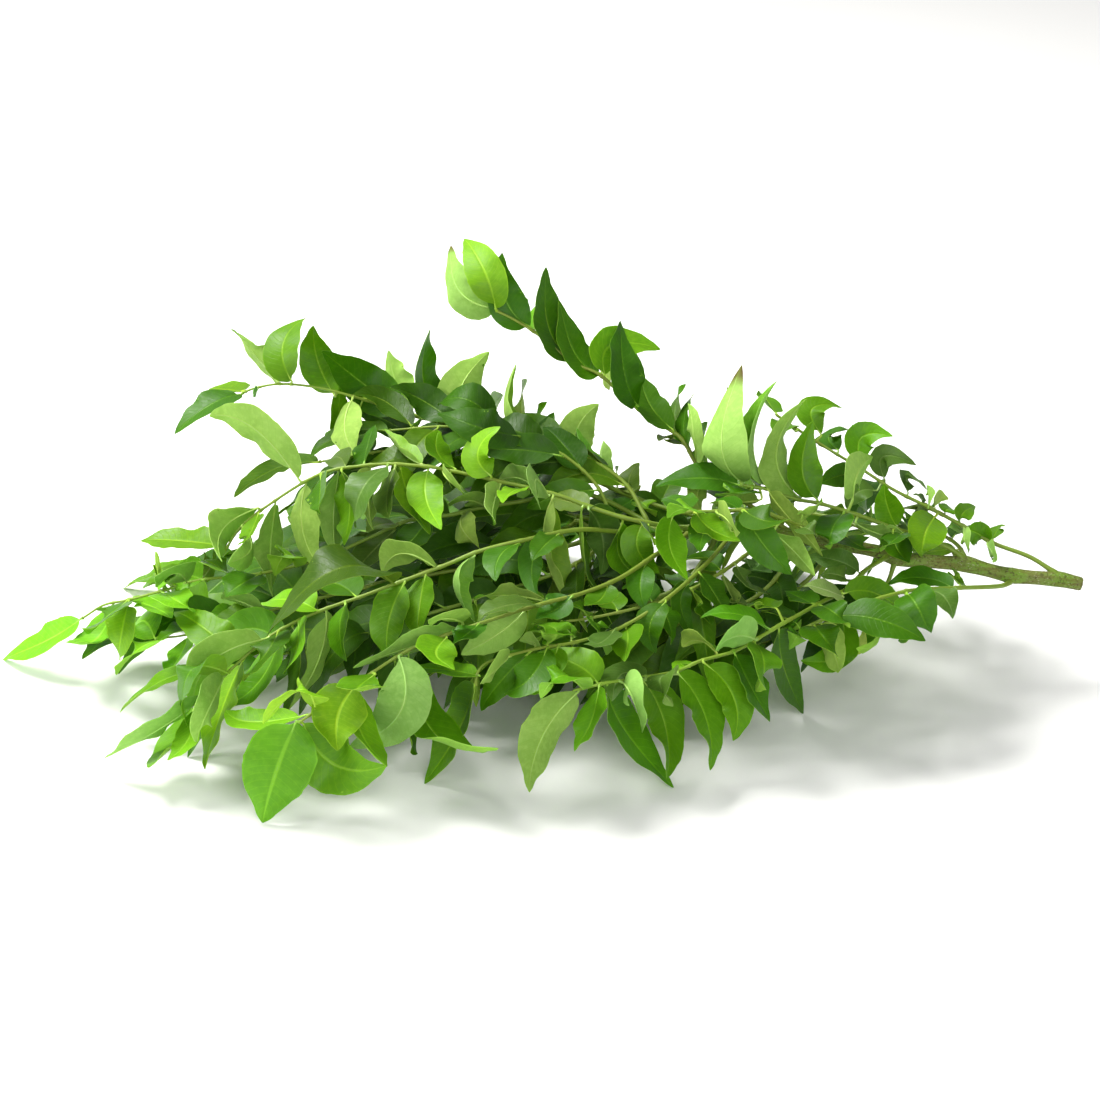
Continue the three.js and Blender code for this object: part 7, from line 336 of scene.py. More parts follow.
        (49.07, 4.64, 21.73), (46.18, 5.19, 21.08), (43.28, 5.72, 20.45), (40.37, 6.22, 19.85), (37.46, 6.7, 19.27),
        (34.53, 7.16, 18.73), (31.59, 7.6, 18.21), (28.65, 8.02, 17.71), (25.71, 8.42, 17.23), (22.75, 8.79, 16.76),
        (19.8, 9.15, 16.31), (16.84, 9.49, 15.86), (13.88, 9.81, 15.41), (10.91, 10.12, 14.97), (7.95, 10.39, 14.54),
        (4.97, 10.63, 14.12), (2, 10.85, 13.71), (-0.98, 11.05, 13.31), (-3.97, 11.23, 12.93), (-6.95, 11.4, 12.54),
        (-9.93, 11.56, 12.16), (-12.91, 11.73, 11.78), (-15.9, 11.91, 11.39), (-18.88, 12.1, 11),
    ], [
        (112.23, -13.42, 49.07, 111.13, -14.57, 48.29, 101.1, -19.77, 42.71, 89.9, -27.96, 22.15, -0.86, -0.277, 0.428, 14.58, 14.6, -6.7, "T", 0.64, 0),
        (105.31, -12.7, 43.55, 104.18, -9.16, 42.64, 93.91, 2.71, 44.01, 82.64, 8.88, 39.38, -0.586, -0.346, 0.733, 15.48, 17.7, -2.4, "T", 0.64, 0),
        (96.85, -9.4, 38.25, 95.36, -12.38, 37.74, 83.24, -11.27, 21.61, 68.98, -29.71, 3.75, -0.45, -0.393, 0.802, 16.75, 15.4, -14.2, "T", 0.64, 0),
        (87.92, -6.11, 33.73, 86.66, -2.5, 32.91, 73.1, 10.14, 38.07, 57.59, -2.13, 45.21, -0.351, 0.537, 0.767, 18.27, 17.7, 7.7, "M", 0.64, 0),
        (79.83, -3.48, 30.76, 77.83, -9.79, 33.04, 61.41, -13.98, 29.48, 43.02, -29.33, 20.51, -0.618, -0.109, 0.778, 13.44, 9.1, -14.3, "M", 0.64, 0),
        (70.27, -0.44, 27.51, 69.36, 3.55, 26.91, 59.67, 14.87, 33.25, 47.9, 4.26, 49.18, -0.502, -0.142, 0.853, 15.48, 13, -17.3, "T", 0.6, 0),
        (61.88, 1.76, 25.08, 59.82, 0.84, 24.8, 38.87, 0.97, 17.34, 17.4, 4.85, 9.98, -0.033, -0.529, 0.848, 19.26, 7.1, 12.7, "M", 0.64, 0),
        (51.84, 3.84, 22.64, 51.2, 8.03, 21.91, 42.9, 27.45, 30.62, 31.94, 24.33, 36.44, -0.149, -0.297, 0.943, 18.99, 8, -3.2, "T", 0.6, 0),
        (41.8, 5.92, 20.2, 40.02, 7.27, 18.22, 21.72, 5.35, 7.84, 2.57, -12.09, 3, 0.004, -0.237, 0.972, 18.39, 11.9, 6.3, "T", 0.6, 0),
        (31.54, 7.39, 18.39, 29.98, 10.97, 17.6, 13.38, 28.65, 23.02, -4.18, 16.43, 24.5, -0.105, -0.16, 0.981, 18.22, 15.1, -15.6, "T", 0.6, 0),
        (22.7, 8.56, 16.92, 20.78, 7.11, 17.79, 1.84, 7.95, 19.94, -17.73, -5.01, 21.92, -0.033, -0.552, 0.834, 17.1, 12.8, -13.1, "T", 0.6, 0),
        (13.86, 9.73, 15.46, 12.61, 13.45, 15.1, 0.84, 32.29, 22.62, -12.14, 23.02, 31.52, 0.037, -0.401, 0.915, 17.99, 11.5, -17.1, "M", 0.64, 0),
        (3.47, 10.61, 13.98, 2.42, 7.32, 13.96, -7.35, -7.63, 6.82, -18.93, -20.51, 0, 0.03, -0.542, 0.84, 16.45, 10.5, 16.2, "T", 0.6, 0),
        (-6.96, 11.3, 12.59, -8.67, 12.17, 11.42, -26.35, 19.64, 2.43, -45.15, 27.12, 1.2, -0.346, -0.199, 0.917, 19.16, 10.6, 12, "T", 0.6, 0),
        (-18.88, 12.1, 11, -20.36, 12.19, 10.81, -40.15, 13.42, 8.21, -57.97, 14.53, 1.2, 0.019, -0.107, 0.994, 17.2, 10, 0, "M", 0.64, 0),
    ]),
    ("leaf_10", 1.3, 0.6, 0.36, [
        (111.11, -10.03, 67.89), (109.25, -9.08, 68.47), (106.94, -7.42, 69.4), (104.63, -5.76, 70.32), (102.31, -4.11, 71.26),
        (99.99, -2.49, 72.23), (97.67, -0.9, 73.23), (95.35, 0.69, 74.24), (93.03, 2.26, 75.28), (90.69, 3.78, 76.36),
        (88.33, 5.25, 77.47), (85.95, 6.64, 78.63), (83.54, 7.95, 79.8), (81.1, 9.22, 80.98), (78.66, 10.46, 82.19),
        (76.23, 11.69, 83.43), (73.84, 12.91, 84.73), (71.51, 14.14, 86.16), (69.42, 15.39, 87.88), (67.91, 16.51, 90.2),
        (66.4, 17.43, 92.6), (65.08, 18.19, 95.17), (63.7, 18.91, 97.73), (61.96, 19.71, 100.02), (59.77, 20.61, 101.83),
        (57.31, 21.55, 103.23), (54.75, 22.5, 104.46), (52.17, 23.45, 105.63), (49.6, 24.38, 106.84), (47.12, 25.29, 108.25),
        (44.77, 26.15, 109.88), (42.52, 26.95, 111.68), (40.3, 27.72, 113.53), (38.08, 28.49, 115.37), (35.91, 29.24, 117.29),
        (33.75, 29.97, 119.22), (31.55, 30.71, 121.12), (29.28, 31.48, 122.9), (26.85, 32.3, 124.44), (24.23, 33.21, 125.53),
        (21.49, 34.16, 126.27), (18.76, 35.09, 127.04), (16.13, 35.95, 128.17), (13.68, 36.73, 129.68), (11.34, 37.46, 131.4),
        (9.06, 38.16, 133.2), (6.8, 38.84, 135.04), (4.51, 39.49, 136.86), (2.16, 40.11, 138.6), (-0.28, 40.65, 140.24),
        (-2.77, 41.11, 141.82), (-5.32, 41.54, 143.33), (-7.89, 42.01, 144.77), (-10.51, 42.62, 146.08), (-13.19, 43.35, 147.19),
        (-15.88, 44.1, 148.27),
    ], [
        (96.54, -0.21, 73.98, 95.56, 1.09, 72.1, 90.76, 8.79, 65.42, 86.58, 19.41, 53.54, -0.941, -0.156, 0.301, 11.08, 10, -12.2, "T", 1.06, 0),
        (87.13, 5.8, 78.17, 85.84, 7.76, 77.66, 79.11, 17.31, 76.85, 72.41, 26.46, 73.73, -0.255, 0.051, 0.966, 12.07, 10, 8.8, "T", 1.06, 0),
        (72.8, 13.49, 85.71, 72.46, 12.11, 84.45, 67.97, 5.65, 80.66, 70.09, 2.3, 72.52, -0.701, 0.395, -0.593, 11.86, 10, 8.5, "U", 1.16, 0),
        (70.42, 14.77, 86.96, 70.68, 17.98, 87.17, 69.77, 24.85, 95.22, 71.84, 12.59, 110.86, -0.752, 0.405, -0.52, 13.7, 10, 10.7, "U", 1.16, 0),
        (68.8, 15.87, 89.18, 68.33, 15.17, 90.92, 66.33, 8.41, 106.74, 64.96, 19.98, 115.92, 0.871, 0.45, -0.198, 13.09, 10, 10.5, "U", 1.16, 0),
        (65.03, 18.14, 95.16, 65.07, 18.74, 96.54, 62.7, 21.55, 105.75, 66.52, 36.86, 114.47, -0.894, -0.256, 0.367, 14.29, 10, -11.5, "T", 1.06, 0),
        (63.6, 18.91, 97.67, 62.4, 22.13, 96.67, 57.71, 30.44, 96.07, 52.37, 23.52, 98.08, -0.209, 0.238, 0.949, 12.59, 10, -1.3, "G", 1.06, 0),
        (61.85, 19.73, 99.89, 62.16, 22.71, 100.34, 58.96, 34.61, 106.26, 62.74, 29.84, 120.95, -0.78, 0.374, -0.502, 14.92, 10, 9.9, "U", 1.16, 0),
        (58.51, 21.07, 102.48, 57.81, 20.25, 104.32, 48.13, 29.32, 112.54, 44.63, 44.68, 121.37, 0.316, -0.662, 0.68, 14.57, 10, 3.3, "T", 1.06, 0),
        (47.18, 25.26, 108.38, 46.96, 28.52, 108.48, 41.83, 47.86, 113.22, 42.03, 47.26, 131.27, 0.618, -0.495, 0.611, 16.36, 10, 0.8, "T", 1.06, 0),
        (43.7, 26.49, 110.87, 43.28, 25.72, 112.66, 37.28, 22.5, 129.29, 36.37, 45.46, 143.71, 0.564, -0.738, 0.37, 16.96, 10, -10.2, "T", 1.06, 0),
        (32.55, 30.34, 120.04, 31.96, 33.58, 120.23, 30.14, 40.78, 120.19, 27.7, 48.43, 121.7, 0.958, 0.2, -0.205, 10.48, 10, 10.1, "U", 1.16, 0),
        (28.09, 31.88, 123.71, 29.43, 31.87, 124.34, 32.55, 40.2, 134.47, 54.06, 50.85, 128.51, 0.447, -0.737, 0.507, 16.69, 10, -13.7, "B", 1.06, 0),
        (28.09, 31.88, 123.71, 27.41, 33.77, 124.35, 16.53, 37.91, 132.21, 10.62, 44.46, 153.06, 0.554, -0.589, 0.588, 16.81, 10, -1.1, "T", 1, 0),
        (16.2, 35.91, 128.38, 15.72, 38.02, 128.87, 5.58, 42.71, 142.51, 5.16, 49, 166.1, 0.677, -0.586, 0.445, 19.43, 10, -12.8, "T", 1, 0),
        (-0.35, 40.57, 140.17, -0.19, 43.91, 140.56, 1.33, 54.07, 144.06, 1.3, 62.99, 146.16, -0.858, -0.019, 0.514, 13.65, 10, 1, "B", 1, 0),
        (-1.52, 40.89, 141.04, -2.07, 41.58, 142.23, -12.1, 46.48, 152.3, -13.71, 50.37, 171.82, -0.049, -0.865, 0.499, 16.69, 10, -2.3, "T", 1, 0),
        (-15.88, 44.1, 148.27, -16.47, 47.36, 148.5, -25.52, 63.83, 152.64, -25.22, 57.35, 168, 0.621, -0.185, 0.762, 17.21, 10, 6, "T", 1, 0),
        (-15.88, 44.1, 148.27, -16.74, 46.14, 148.79, -31.99, 52.01, 154.74, -35.18, 66.84, 169.11, 0.621, 0.764, -0.175, 18.18, 10, -5.9, "U", 1, 0.08),
        (-15.88, 44.1, 148.27, -16.47, 43.24, 150.01, -21.22, 45.66, 165.97, -30.15, 70.43, 171.43, -0.12, -0.782, 0.612, 16.69, 10, 10.3, "B", 1, 0),
    ]),
    ("leaf_11", 1.2, 0.55, 0.18, [
        (107.28, -10.1, 67.88), (106.47, -10.71, 62.92), (105.26, -12.39, 60.76), (104.09, -14.09, 58.6),
        (102.81, -15.71, 56.45), (101.27, -17.14, 54.32), (99.42, -18.27, 52.27), (97.38, -19.12, 50.27), (95.19, -19.75, 48.33),
        (92.86, -20.22, 46.52), (90.4, -20.57, 44.87), (87.82, -20.84, 43.38), (85.15, -21.03, 42.05), (82.42, -21.11, 40.84),
        (79.64, -21.12, 39.74), (76.84, -21.09, 38.7), (74.02, -21.04, 37.73), (71.17, -20.98, 36.81), (68.32, -20.93, 35.93),
        (65.45, -20.91, 35.09), (62.56, -20.89, 34.31), (59.67, -20.84, 33.58), (56.76, -20.78, 32.91), (53.83, -20.73, 32.28),
        (50.9, -20.69, 31.7), (47.96, -20.69, 31.16), (45.02, -20.74, 30.64), (42.07, -20.86, 30.15), (39.13, -21.04, 29.7),
        (36.18, -21.29, 29.29), (33.22, -21.58, 28.93), (30.27, -21.91, 28.59), (27.32, -22.27, 28.28), (24.37, -22.65, 27.98),
        (21.43, -23.05, 27.68), (18.48, -23.45, 27.37), (15.54, -23.85, 27.05), (12.6, -24.25, 26.71), (9.66, -24.68, 26.37),
        (6.72, -25.12, 26.03), (3.79, -25.58, 25.69), (0.85, -26.04, 25.35), (-2.08, -26.51, 25.02), (-5.01, -26.98, 24.68),
        (-7.94, -27.45, 24.34), (-10.88, -27.9, 24),
    ], [
        (100.26, -17.63, 53.31, 100.75, -17.86, 51.7, 102.45, -33.85, 47.84, 102.07, -50.24, 24.29, -0.376, -0.625, 0.685, 16.14, 17.7, -13.5, "T", 0.64, 0),
        (93.86, -19.8, 47.56, 92.94, -16.78, 45.15, 84.86, -9.3, 39.47, 70.51, -43.66, 33.35, 0.003, -0.944, 0.331, 11.31, 10.7, 12.3, "T", 0.64, 0),
        (86.37, -20.81, 42.91, 84.93, -24.54, 43.24, 71.6, -37.94, 38.35, 57.31, -46.06, 28.34, -0.26, -0.182, 0.948, 18.95, 15.9, -4.9, "M", 0.64, 0),
        (78.17, -21.06, 39.44, 77.01, -18.91, 37.53, 70.17, 8.83, 9.51, 50.13, -16.28, 10.54, -0.031, -0.999, -0.029, 11.51, 7.5, -11, "T", 0.64, 0),
        (69.66, -20.97, 36.64, 69.02, -23.87, 35.84, 62.04, -42.95, 27.45, 52.48, -60.71, 1.65, -0.271, -0.525, 0.807, 20.7, 10.6, -7.6, "T", 0.64, 0),
        (61.1, -20.88, 34.01, 59.45, -21.54, 34.98, 43.34, 6.3, 28.41, 25.18, 4.68, 18.79, -0.398, -0.344, 0.85, 18.35, 15.8, -3, "M", 0.64, 0),
        (50.85, -20.87, 31.93, 49.41, -24.23, 32.07, 36.06, -42.39, 27.46, 21.4, -58.93, 18.96, 0.07, -0.314, 0.947, 17.41, 8.1, -16.7, "M", 0.64, 0),
        (42.07, -20.86, 30.15, 41.12, -20.15, 31.27, 31.52, 4.2, 36.32, 19.41, 14.33, 22.72, -0.33, -0.332, 0.884, 21.09, 11.5, -1.5, "T", 0.6, 0),
        (31.75, -21.88, 28.86, 29.97, -24.49, 29.15, 11.27, -36.12, 24.64, -8.86, -28.62, 3.44, 0.158, -0.215, 0.964, 16.11, 7.5, -11.8, "M", 0.64, 0),
        (22.91, -22.89, 27.8, 20.85, -23.86, 29.14, 0.21, -20.83, 37.67, -20.75, -34.43, 40.84, 0.148, -0.706, 0.693, 18.78, 13.8, -7.4, "M", 0.64, 0),
        (14.1, -24.2, 26.81, 12.38, -27.33, 28.41, -5.77, -45.61, 36.7, -25.35, -49.4, 27.89, 0.049, -0.34, 0.939, 19.6, 14, 10.6, "M", 0.64, 0),
        (5.28, -25.51, 25.82, 3.46, -23.36, 25.98, -15.56, -15.98, 36.88, -35.47, -9.71, 22.56, 0.152, -0.476, 0.866, 18.14, 9.9, -17.3, "T", 0.6, 0),
        (-5, -27.03, 24.66, -6.7, -31.62, 26.08, -21.68, -46.29, 27.2, -37.98, -47.04, 7.29, 0.065, -0.28, 0.958, 16.6, 17, -0.5, "M", 0.64, 0),
        (-10.88, -27.9, 24, -12.3, -31.09, 25.33, -32.85, -34.69, 23.15, -51.66, -31.34, 7.28, 0.059, 0.052, 0.997, 17.12, 10, 0, "M", 0.64, 0),
    ]),
    ("leaf_12", 1.1, 0.6, 0.3, [
        (99.28, -10.52, 69.88), (97.66, -14.15, 70.71), (96.06, -16.68, 70.63), (94.48, -19.22, 70.57), (92.88, -21.75, 70.5),
        (91.23, -24.24, 70.37), (89.49, -26.65, 70.15), (87.63, -28.97, 69.81), (85.69, -31.2, 69.35), (83.68, -33.35, 68.8),
        (81.61, -35.42, 68.18), (79.47, -37.4, 67.52), (77.26, -39.29, 66.83), (74.96, -41.06, 66.12), (72.58, -42.69, 65.32),
        (70.14, -44.2, 64.48), (67.64, -45.6, 63.64), (65.09, -46.95, 62.84), (62.5, -48.26, 62.13), (59.86, -49.52, 61.5),
        (57.17, -50.7, 60.92), (54.45, -51.82, 60.39), (51.7, -52.88, 59.88), (48.93, -53.88, 59.38), (46.13, -54.82, 58.92),
        (43.3, -55.68, 58.49), (40.44, -56.48, 58.09), (37.57, -57.21, 57.69), (34.69, -57.9, 57.29), (31.79, -58.49, 56.86),
        (28.87, -58.96, 56.42), (25.94, -59.38, 55.99), (23, -59.83, 55.62), (20.07, -60.33, 55.34), (17.13, -60.85, 55.13),
        (14.19, -61.38, 54.95), (11.25, -61.9, 54.76),
    ], [
        (77.14, -39.1, 66.76, 76.05, -36.1, 65.68, 70.14, -27.53, 66.18, 60.21, -37.7, 70.97, -0.344, -0.014, 0.939, 12.74, 10, 5.4, "T", 1.06, 0),
        (85.59, -31.07, 69.24, 87.02, -30.64, 68.36, 90.61, -30.34, 62.97, 96.7, -41.78, 67.94, -0.01, 0.205, 0.979, 12.41, 10, -12.8, "G", 1.06, 0),
        (81.51, -35.29, 68.09, 82.52, -38.6, 68.67, 87.78, -43.85, 62.62, 97.88, -30.82, 52.25, 0.252, -0.013, 0.968, 12.59, 10, 11.8, "G", 1.06, 0),
        (75.98, -39.95, 66.38, 76.95, -41.31, 65.76, 82.33, -36.49, 52.26, 85.88, -45.04, 55.06, 0.45, 0.081, 0.89, 12.96, 10, 13.3, "G", 1, 0),
        (63.68, -47.49, 62.66, 64.31, -52.93, 63.71, 67.24, -50.99, 57.05, 71.83, -59.3, 52.13, 0.343, -0.148, 0.928, 11.48, 10, 8.7, "T", 1, 0),
        (48.86, -53.72, 59.45, 47.75, -50.71, 58.49, 43.23, -38.58, 57.82, 35.84, -39.5, 59.17, -0.175, 0.12, 0.977, 13.07, 10, 11.1, "T", 0.94, 0),
        (48.86, -53.72, 59.45, 49.36, -57.06, 59.48, 53.86, -63.14, 56.27, 55.6, -64.46, 45.68, 0.407, -0.15, 0.901, 13.73, 10, 10.5, "T", 0.94, 0),
        (34.66, -57.77, 57.27, 33.49, -55.06, 56.6, 29.98, -48.38, 58.04, 23.53, -44.74, 57.17, -0.119, 0.215, 0.969, 14.03, 10, 3.5, "M", 1, 0),
        (22.99, -59.95, 55.96, 23.52, -63, 55.75, 26.43, -70.3, 54.45, 29.1, -60.89, 39.36, 0.573, 0.043, 0.819, 15.77, 10, 5.9, "M", 1, 0),
        (22.99, -59.95, 55.96, 21.78, -56.66, 54.76, 17.72, -56.47, 59.28, 11.29, -50.92, 57.47, -0.05, 0.247, 0.968, 14.23, 10, 13.2, "M", 1, 0),
        (11.25, -61.9, 54.76, 10.19, -65.08, 55.29, 5.62, -73.25, 56.82, 0.82, -72.87, 49.92, -0.243, 0.224, 0.944, 14.4, 10, -11.1, "T", 0.94, 0),
        (63.68, -47.49, 62.66, 62.76, -44.43, 61.83, 59.83, -31.29, 59.78, 55.93, -6.21, 49.21, -0.139, 0.181, 0.974, 12.39, 10, 12.7, "T", 0.94, 0),
    ]),
    ("leaf_13", 1.2, 0.55, 0.18, [
        (87.46, -9.14, 70.11), (86.13, -5.92, 66.47), (84.18, -3.99, 65.27), (82.25, -2.09, 64.01), (80.29, -0.14, 62.86),
        (78.28, 1.87, 61.94), (76.24, 3.95, 61.27), (74.18, 6.08, 60.84), (72.14, 8.25, 60.61), (70.1, 10.44, 60.51),
        (68.08, 12.64, 60.48), (66.05, 14.84, 60.49), (64.01, 17.03, 60.51), (61.96, 19.21, 60.52), (59.9, 21.37, 60.5),
        (57.81, 23.51, 60.43), (55.69, 25.62, 60.29), (53.55, 27.69, 60.05), (51.37, 29.72, 59.73), (49.19, 31.73, 59.36),
        (46.98, 33.71, 58.95), (44.77, 35.67, 58.51), (42.54, 37.6, 58.03), (40.29, 39.52, 57.51), (38.04, 41.41, 56.97),
        (35.77, 43.27, 56.4), (33.5, 45.12, 55.8), (31.21, 46.94, 55.17), (28.9, 48.73, 54.52), (26.59, 50.5, 53.84),
        (24.27, 52.24, 53.12), (21.94, 53.96, 52.36), (19.61, 55.65, 51.56), (17.27, 57.32, 50.73), (14.92, 58.97, 49.88),
        (12.56, 60.58, 49.01), (10.18, 62.18, 48.12), (7.8, 63.74, 47.22), (5.39, 65.27, 46.32), (2.97, 66.78, 45.42),
        (0.53, 68.26, 44.52), (-1.93, 69.7, 43.62), (-4.41, 71.11, 42.72), (-6.91, 72.49, 41.82), (-9.42, 73.84, 40.91),
        (-11.94, 75.16, 39.99), (-14.48, 76.45, 39.07), (-17.02, 77.72, 38.14), (-19.58, 78.96, 37.21), (-22.14, 80.17, 36.26),
        (-24.72, 81.36, 35.31), (-27.3, 82.52, 34.35), (-29.89, 83.66, 33.37), (-32.48, 84.78, 32.38), (-35.08, 85.85, 31.36),
        (-37.69, 86.89, 30.31), (-40.3, 87.89, 29.25), (-42.91, 88.85, 28.17), (-45.54, 89.78, 27.09), (-48.19, 90.69, 26.02),
        (-50.84, 91.57, 24.96), (-53.52, 92.43, 23.93), (-56.21, 93.28, 22.94), (-58.92, 94.11, 21.99), (-61.66, 94.91, 21.09),
        (-64.42, 95.67, 20.23), (-67.2, 96.39, 19.4), (-70, 97.09, 18.61), (-72.81, 97.77, 17.83), (-75.62, 98.43, 17.07),
        (-78.44, 99.08, 16.31), (-81.26, 99.74, 15.56), (-84.07, 100.41, 14.79), (-86.88, 101.1, 14),
    ], [
        (70.09, 10.43, 60.54, 67.93, 10.14, 61.14, 49.69, 12.57, 64.12, 31.73, 7.98, 65.16, -0.018, -0.383, 0.923, 15.93, 14.4, -7.8, "T", 0.64, 0),
        (63.94, 16.96, 60.46, 65.11, 20.89, 58.99, 72.62, 25.79, 60.55, 77.65, 41.85, 36.67, 0.179, 0.404, 0.897, 15.51, 11.3, -16.3, "M", 0.64, 0),
        (57.78, 23.48, 60.38, 55.78, 25.15, 60.47, 41.34, 33.04, 64.54, 25.21, 7.1, 60.28, -0.414, -0.574, 0.706, 11.36, 12.4, 9.7, "T", 0.64, 0),
        (51.31, 29.61, 59.52, 52.18, 31.57, 60.6, 58.01, 44.9, 68.03, 61.18, 58.07, 63.78, -0.13, -0.371, 0.92, 13.08, 12.8, -12.3, "M", 0.64, 0),
        (43.63, 36.59, 58.21, 41.61, 38.03, 57.6, 24.69, 36.64, 59.25, 7.91, 11.62, 63.76, -0.311, -0.406, 0.859, 14.47, 14.2, 13, "T", 0.6, 0),
        (35.68, 43.08, 56.17, 35.17, 45, 55.18, 29.93, 56.66, 45.45, 23.2, 70.95, 15.31, -0.202, 0.058, 0.978, 15.42, 14.4, -0.3, "T", 0.6, 0),
        (27.72, 49.57, 54.13, 25.57, 49.31, 54.2, 3.58, 46.57, 55.48, -17.92, 38.22, 35.9, -0.227, -0.501, 0.835, 18.32, 16.4, -9.6, "T", 0.6, 0),
        (20.72, 54.65, 51.78, 21.21, 56.66, 50.86, 25.3, 69, 39.5, 26.2, 77.4, 8.9, -0.28, -0.324, 0.904, 19.92, 11.5, 10.8, "T", 0.6, 0),
        (12.51, 60.47, 48.91, 10.36, 61.42, 48.63, -13.01, 58.45, 52.61, -35.72, 51.64, 44.56, -0.38, -0.381, 0.843, 21.53, 6.9, 15.7, "M", 0.64, 0),
        (4.06, 65.82, 45.87, 3.4, 70.09, 44.89, -4.44, 81.13, 50, -13.76, 82.23, 41.51, -0.548, 0.087, 0.832, 19.36, 17.1, -6.5, "T", 0.6, 0),
        (-3.34, 70.1, 43.15, -5.31, 68.7, 44.38, -28.3, 70.74, 50.71, -51.3, 77.63, 36.03, -0.227, -0.405, 0.885, 20.86, 15, -7.9, "M", 0.64, 0),
        (-11.97, 75.1, 39.99, -12.98, 79.08, 39.48, -23.83, 100.06, 42.92, -35.42, 91.39, 49.07, -0.35, -0.316, 0.882, 19.07, 13.5, 10.4, "M", 0.64, 0),
        (-19.65, 78.73, 37.11, -21.14, 77.88, 36.09, -36.15, 67.58, 28.7, -51.96, 60.11, 5.83, -0.189, -0.348, 0.918, 19.43, 6.1, -6, "T", 0.6, 0),
        (-29.96, 83.39, 33.23, -30.56, 87.74, 32.88, -37.21, 110.1, 35.98, -45.01, 101.04, 42.91, -0.664, -0.273, 0.696, 20.25, 9.7, 4.7, "M", 0.64, 0),
        (-39.01, 87.33, 29.8, -41.2, 88.97, 29.16, -63.4, 86.92, 34.26, -84.94, 75.44, 29.85, 0.024, 0.13, 0.991, 20.75, 6.2, 13.7, "T", 0.6, 0),
        (-48.32, 90.47, 26.18, -49.83, 94.17, 24.65, -65.82, 102.13, 24.56, -81.85, 98.35, 12.35, -0.652, -0.291, 0.7, 19.37, 10.4, 5.7, "T", 0.6, 0),
        (-57.63, 93.61, 22.57, -59.57, 91.14, 23.15, -80.41, 83.2, 22.29, -101.11, 73.64, 4.89, -0.629, -0.278, 0.726, 17.5, 10.2, 6.5, "M", 0.64, 0),
        (-65.88, 95.9, 19.95, -67.58, 99.43, 18.51, -85.77, 119.58, 11.95, -102.58, 108.41, 9.45, -0.071, -0.311, 0.948, 21.47, 13.4, 9.4, "M", 0.64, 0),
        (-75.68, 98.32, 17.17, -77.46, 95.61, 17.44, -99.28, 90.69, 12.15, -121.24, 81.62, 1.2, -0.286, -0.41, 0.866, 22, 8.7, -14.3, "T", 0.6, 0),
        (-86.88, 101.1, 14, -88.29, 101.57, 13.55, -107.83, 104.52, 8.91, -125.56, 109.04, 0.7, 0.053, -0.184, 0.982, 18.06, 10, 0, "M", 0.64, 0),
    ]),
    ("leaf_14", 1.3, 0.5, 0.09, [
        (85.66, -9.01, 70.6), (85.28, -5.9, 69.81), (83.07, -3.89, 69.75), (80.86, -1.87, 69.7), (78.65, 0.16, 69.65),
        (76.43, 2.17, 69.6), (74.2, 4.17, 69.54), (71.94, 6.13, 69.49), (69.63, 8.04, 69.44), (67.27, 9.89, 69.36),
        (64.88, 11.69, 69.25), (62.44, 13.42, 69.13), (59.96, 15.1, 69.04), (57.44, 16.72, 69.01), (54.87, 18.27, 69.11),
        (52.26, 19.71, 69.33), (49.59, 21.03, 69.67), (46.89, 22.24, 70.13), (44.18, 23.4, 70.69), (41.5, 24.57, 71.31),
        (38.84, 25.77, 72), (36.19, 26.94, 72.76), (33.53, 28.06, 73.57), (30.84, 29.08, 74.41), (28.11, 29.98, 75.27),
        (25.35, 30.75, 76.12), (22.55, 31.42, 76.97), (19.75, 32.02, 77.82), (16.94, 32.57, 78.71), (14.14, 33.1, 79.64),
        (11.36, 33.63, 80.62), (8.62, 34.17, 81.7), (5.95, 34.72, 82.94), (3.34, 35.25, 84.32), (0.77, 35.77, 85.77),
        (-1.81, 36.26, 87.21), (-4.46, 36.72, 88.54), (-7.19, 37.15, 89.68), (-10.01, 37.54, 90.63), (-12.87, 37.89, 91.44),
        (-15.76, 38.21, 92.17), (-18.66, 38.52, 92.86), (-21.56, 38.81, 93.55), (-24.44, 39.11, 94.29), (-27.31, 39.42, 95.12),
        (-30.16, 39.71, 95.99), (-33.02, 39.94, 96.86), (-35.89, 40.13, 97.68), (-38.78, 40.3, 98.46), (-41.67, 40.47, 99.22),
        (-44.57, 40.62, 99.98), (-47.46, 40.77, 100.74), (-50.35, 40.9, 101.53), (-53.23, 41.01, 102.35), (-56.1, 41.1, 103.22),
        (-58.94, 41.17, 104.16), (-61.75, 41.21, 105.19), (-64.55, 41.22, 106.25), (-67.35, 41.2, 107.33),
        (-70.16, 41.15, 108.36), (-72.99, 41.07, 109.34), (-75.83, 40.96, 110.31), (-78.66, 40.82, 111.27),
        (-81.5, 40.67, 112.22), (-84.35, 40.5, 113.13), (-87.21, 40.32, 113.98), (-90.11, 40.15, 114.74), (-93.02, 39.99, 115.4),
        (-95.96, 39.82, 115.97), (-98.91, 39.66, 116.44), (-101.88, 39.48, 116.82), (-104.86, 39.3, 117.09),
        (-107.85, 39.1, 117.22), (-110.83, 38.87, 117.09), (-113.79, 38.61, 116.69), (-116.71, 38.34, 116.09),
        (-119.61, 38.11, 115.38), (-122.39, 38.04, 114.31), (-123.65, 38.1, 113.51),
    ], [
        (44.2, 23.39, 70.76, 42.89, 29.7, 68.08, 36.68, 33.57, 67.64, 25.76, 41.57, 64.12, -0.477, -0.04, 0.878, 11.82, 10, -1.8, "G", 1.06, 0),
        (42.85, 23.98, 71.04, 41.44, 21.91, 71.23, 35.64, 16.96, 69.6, 30.09, 13.44, 68.87, 0.207, 0.062, 0.976, 12.46, 10, 6.6, "T", 1.06, 0),
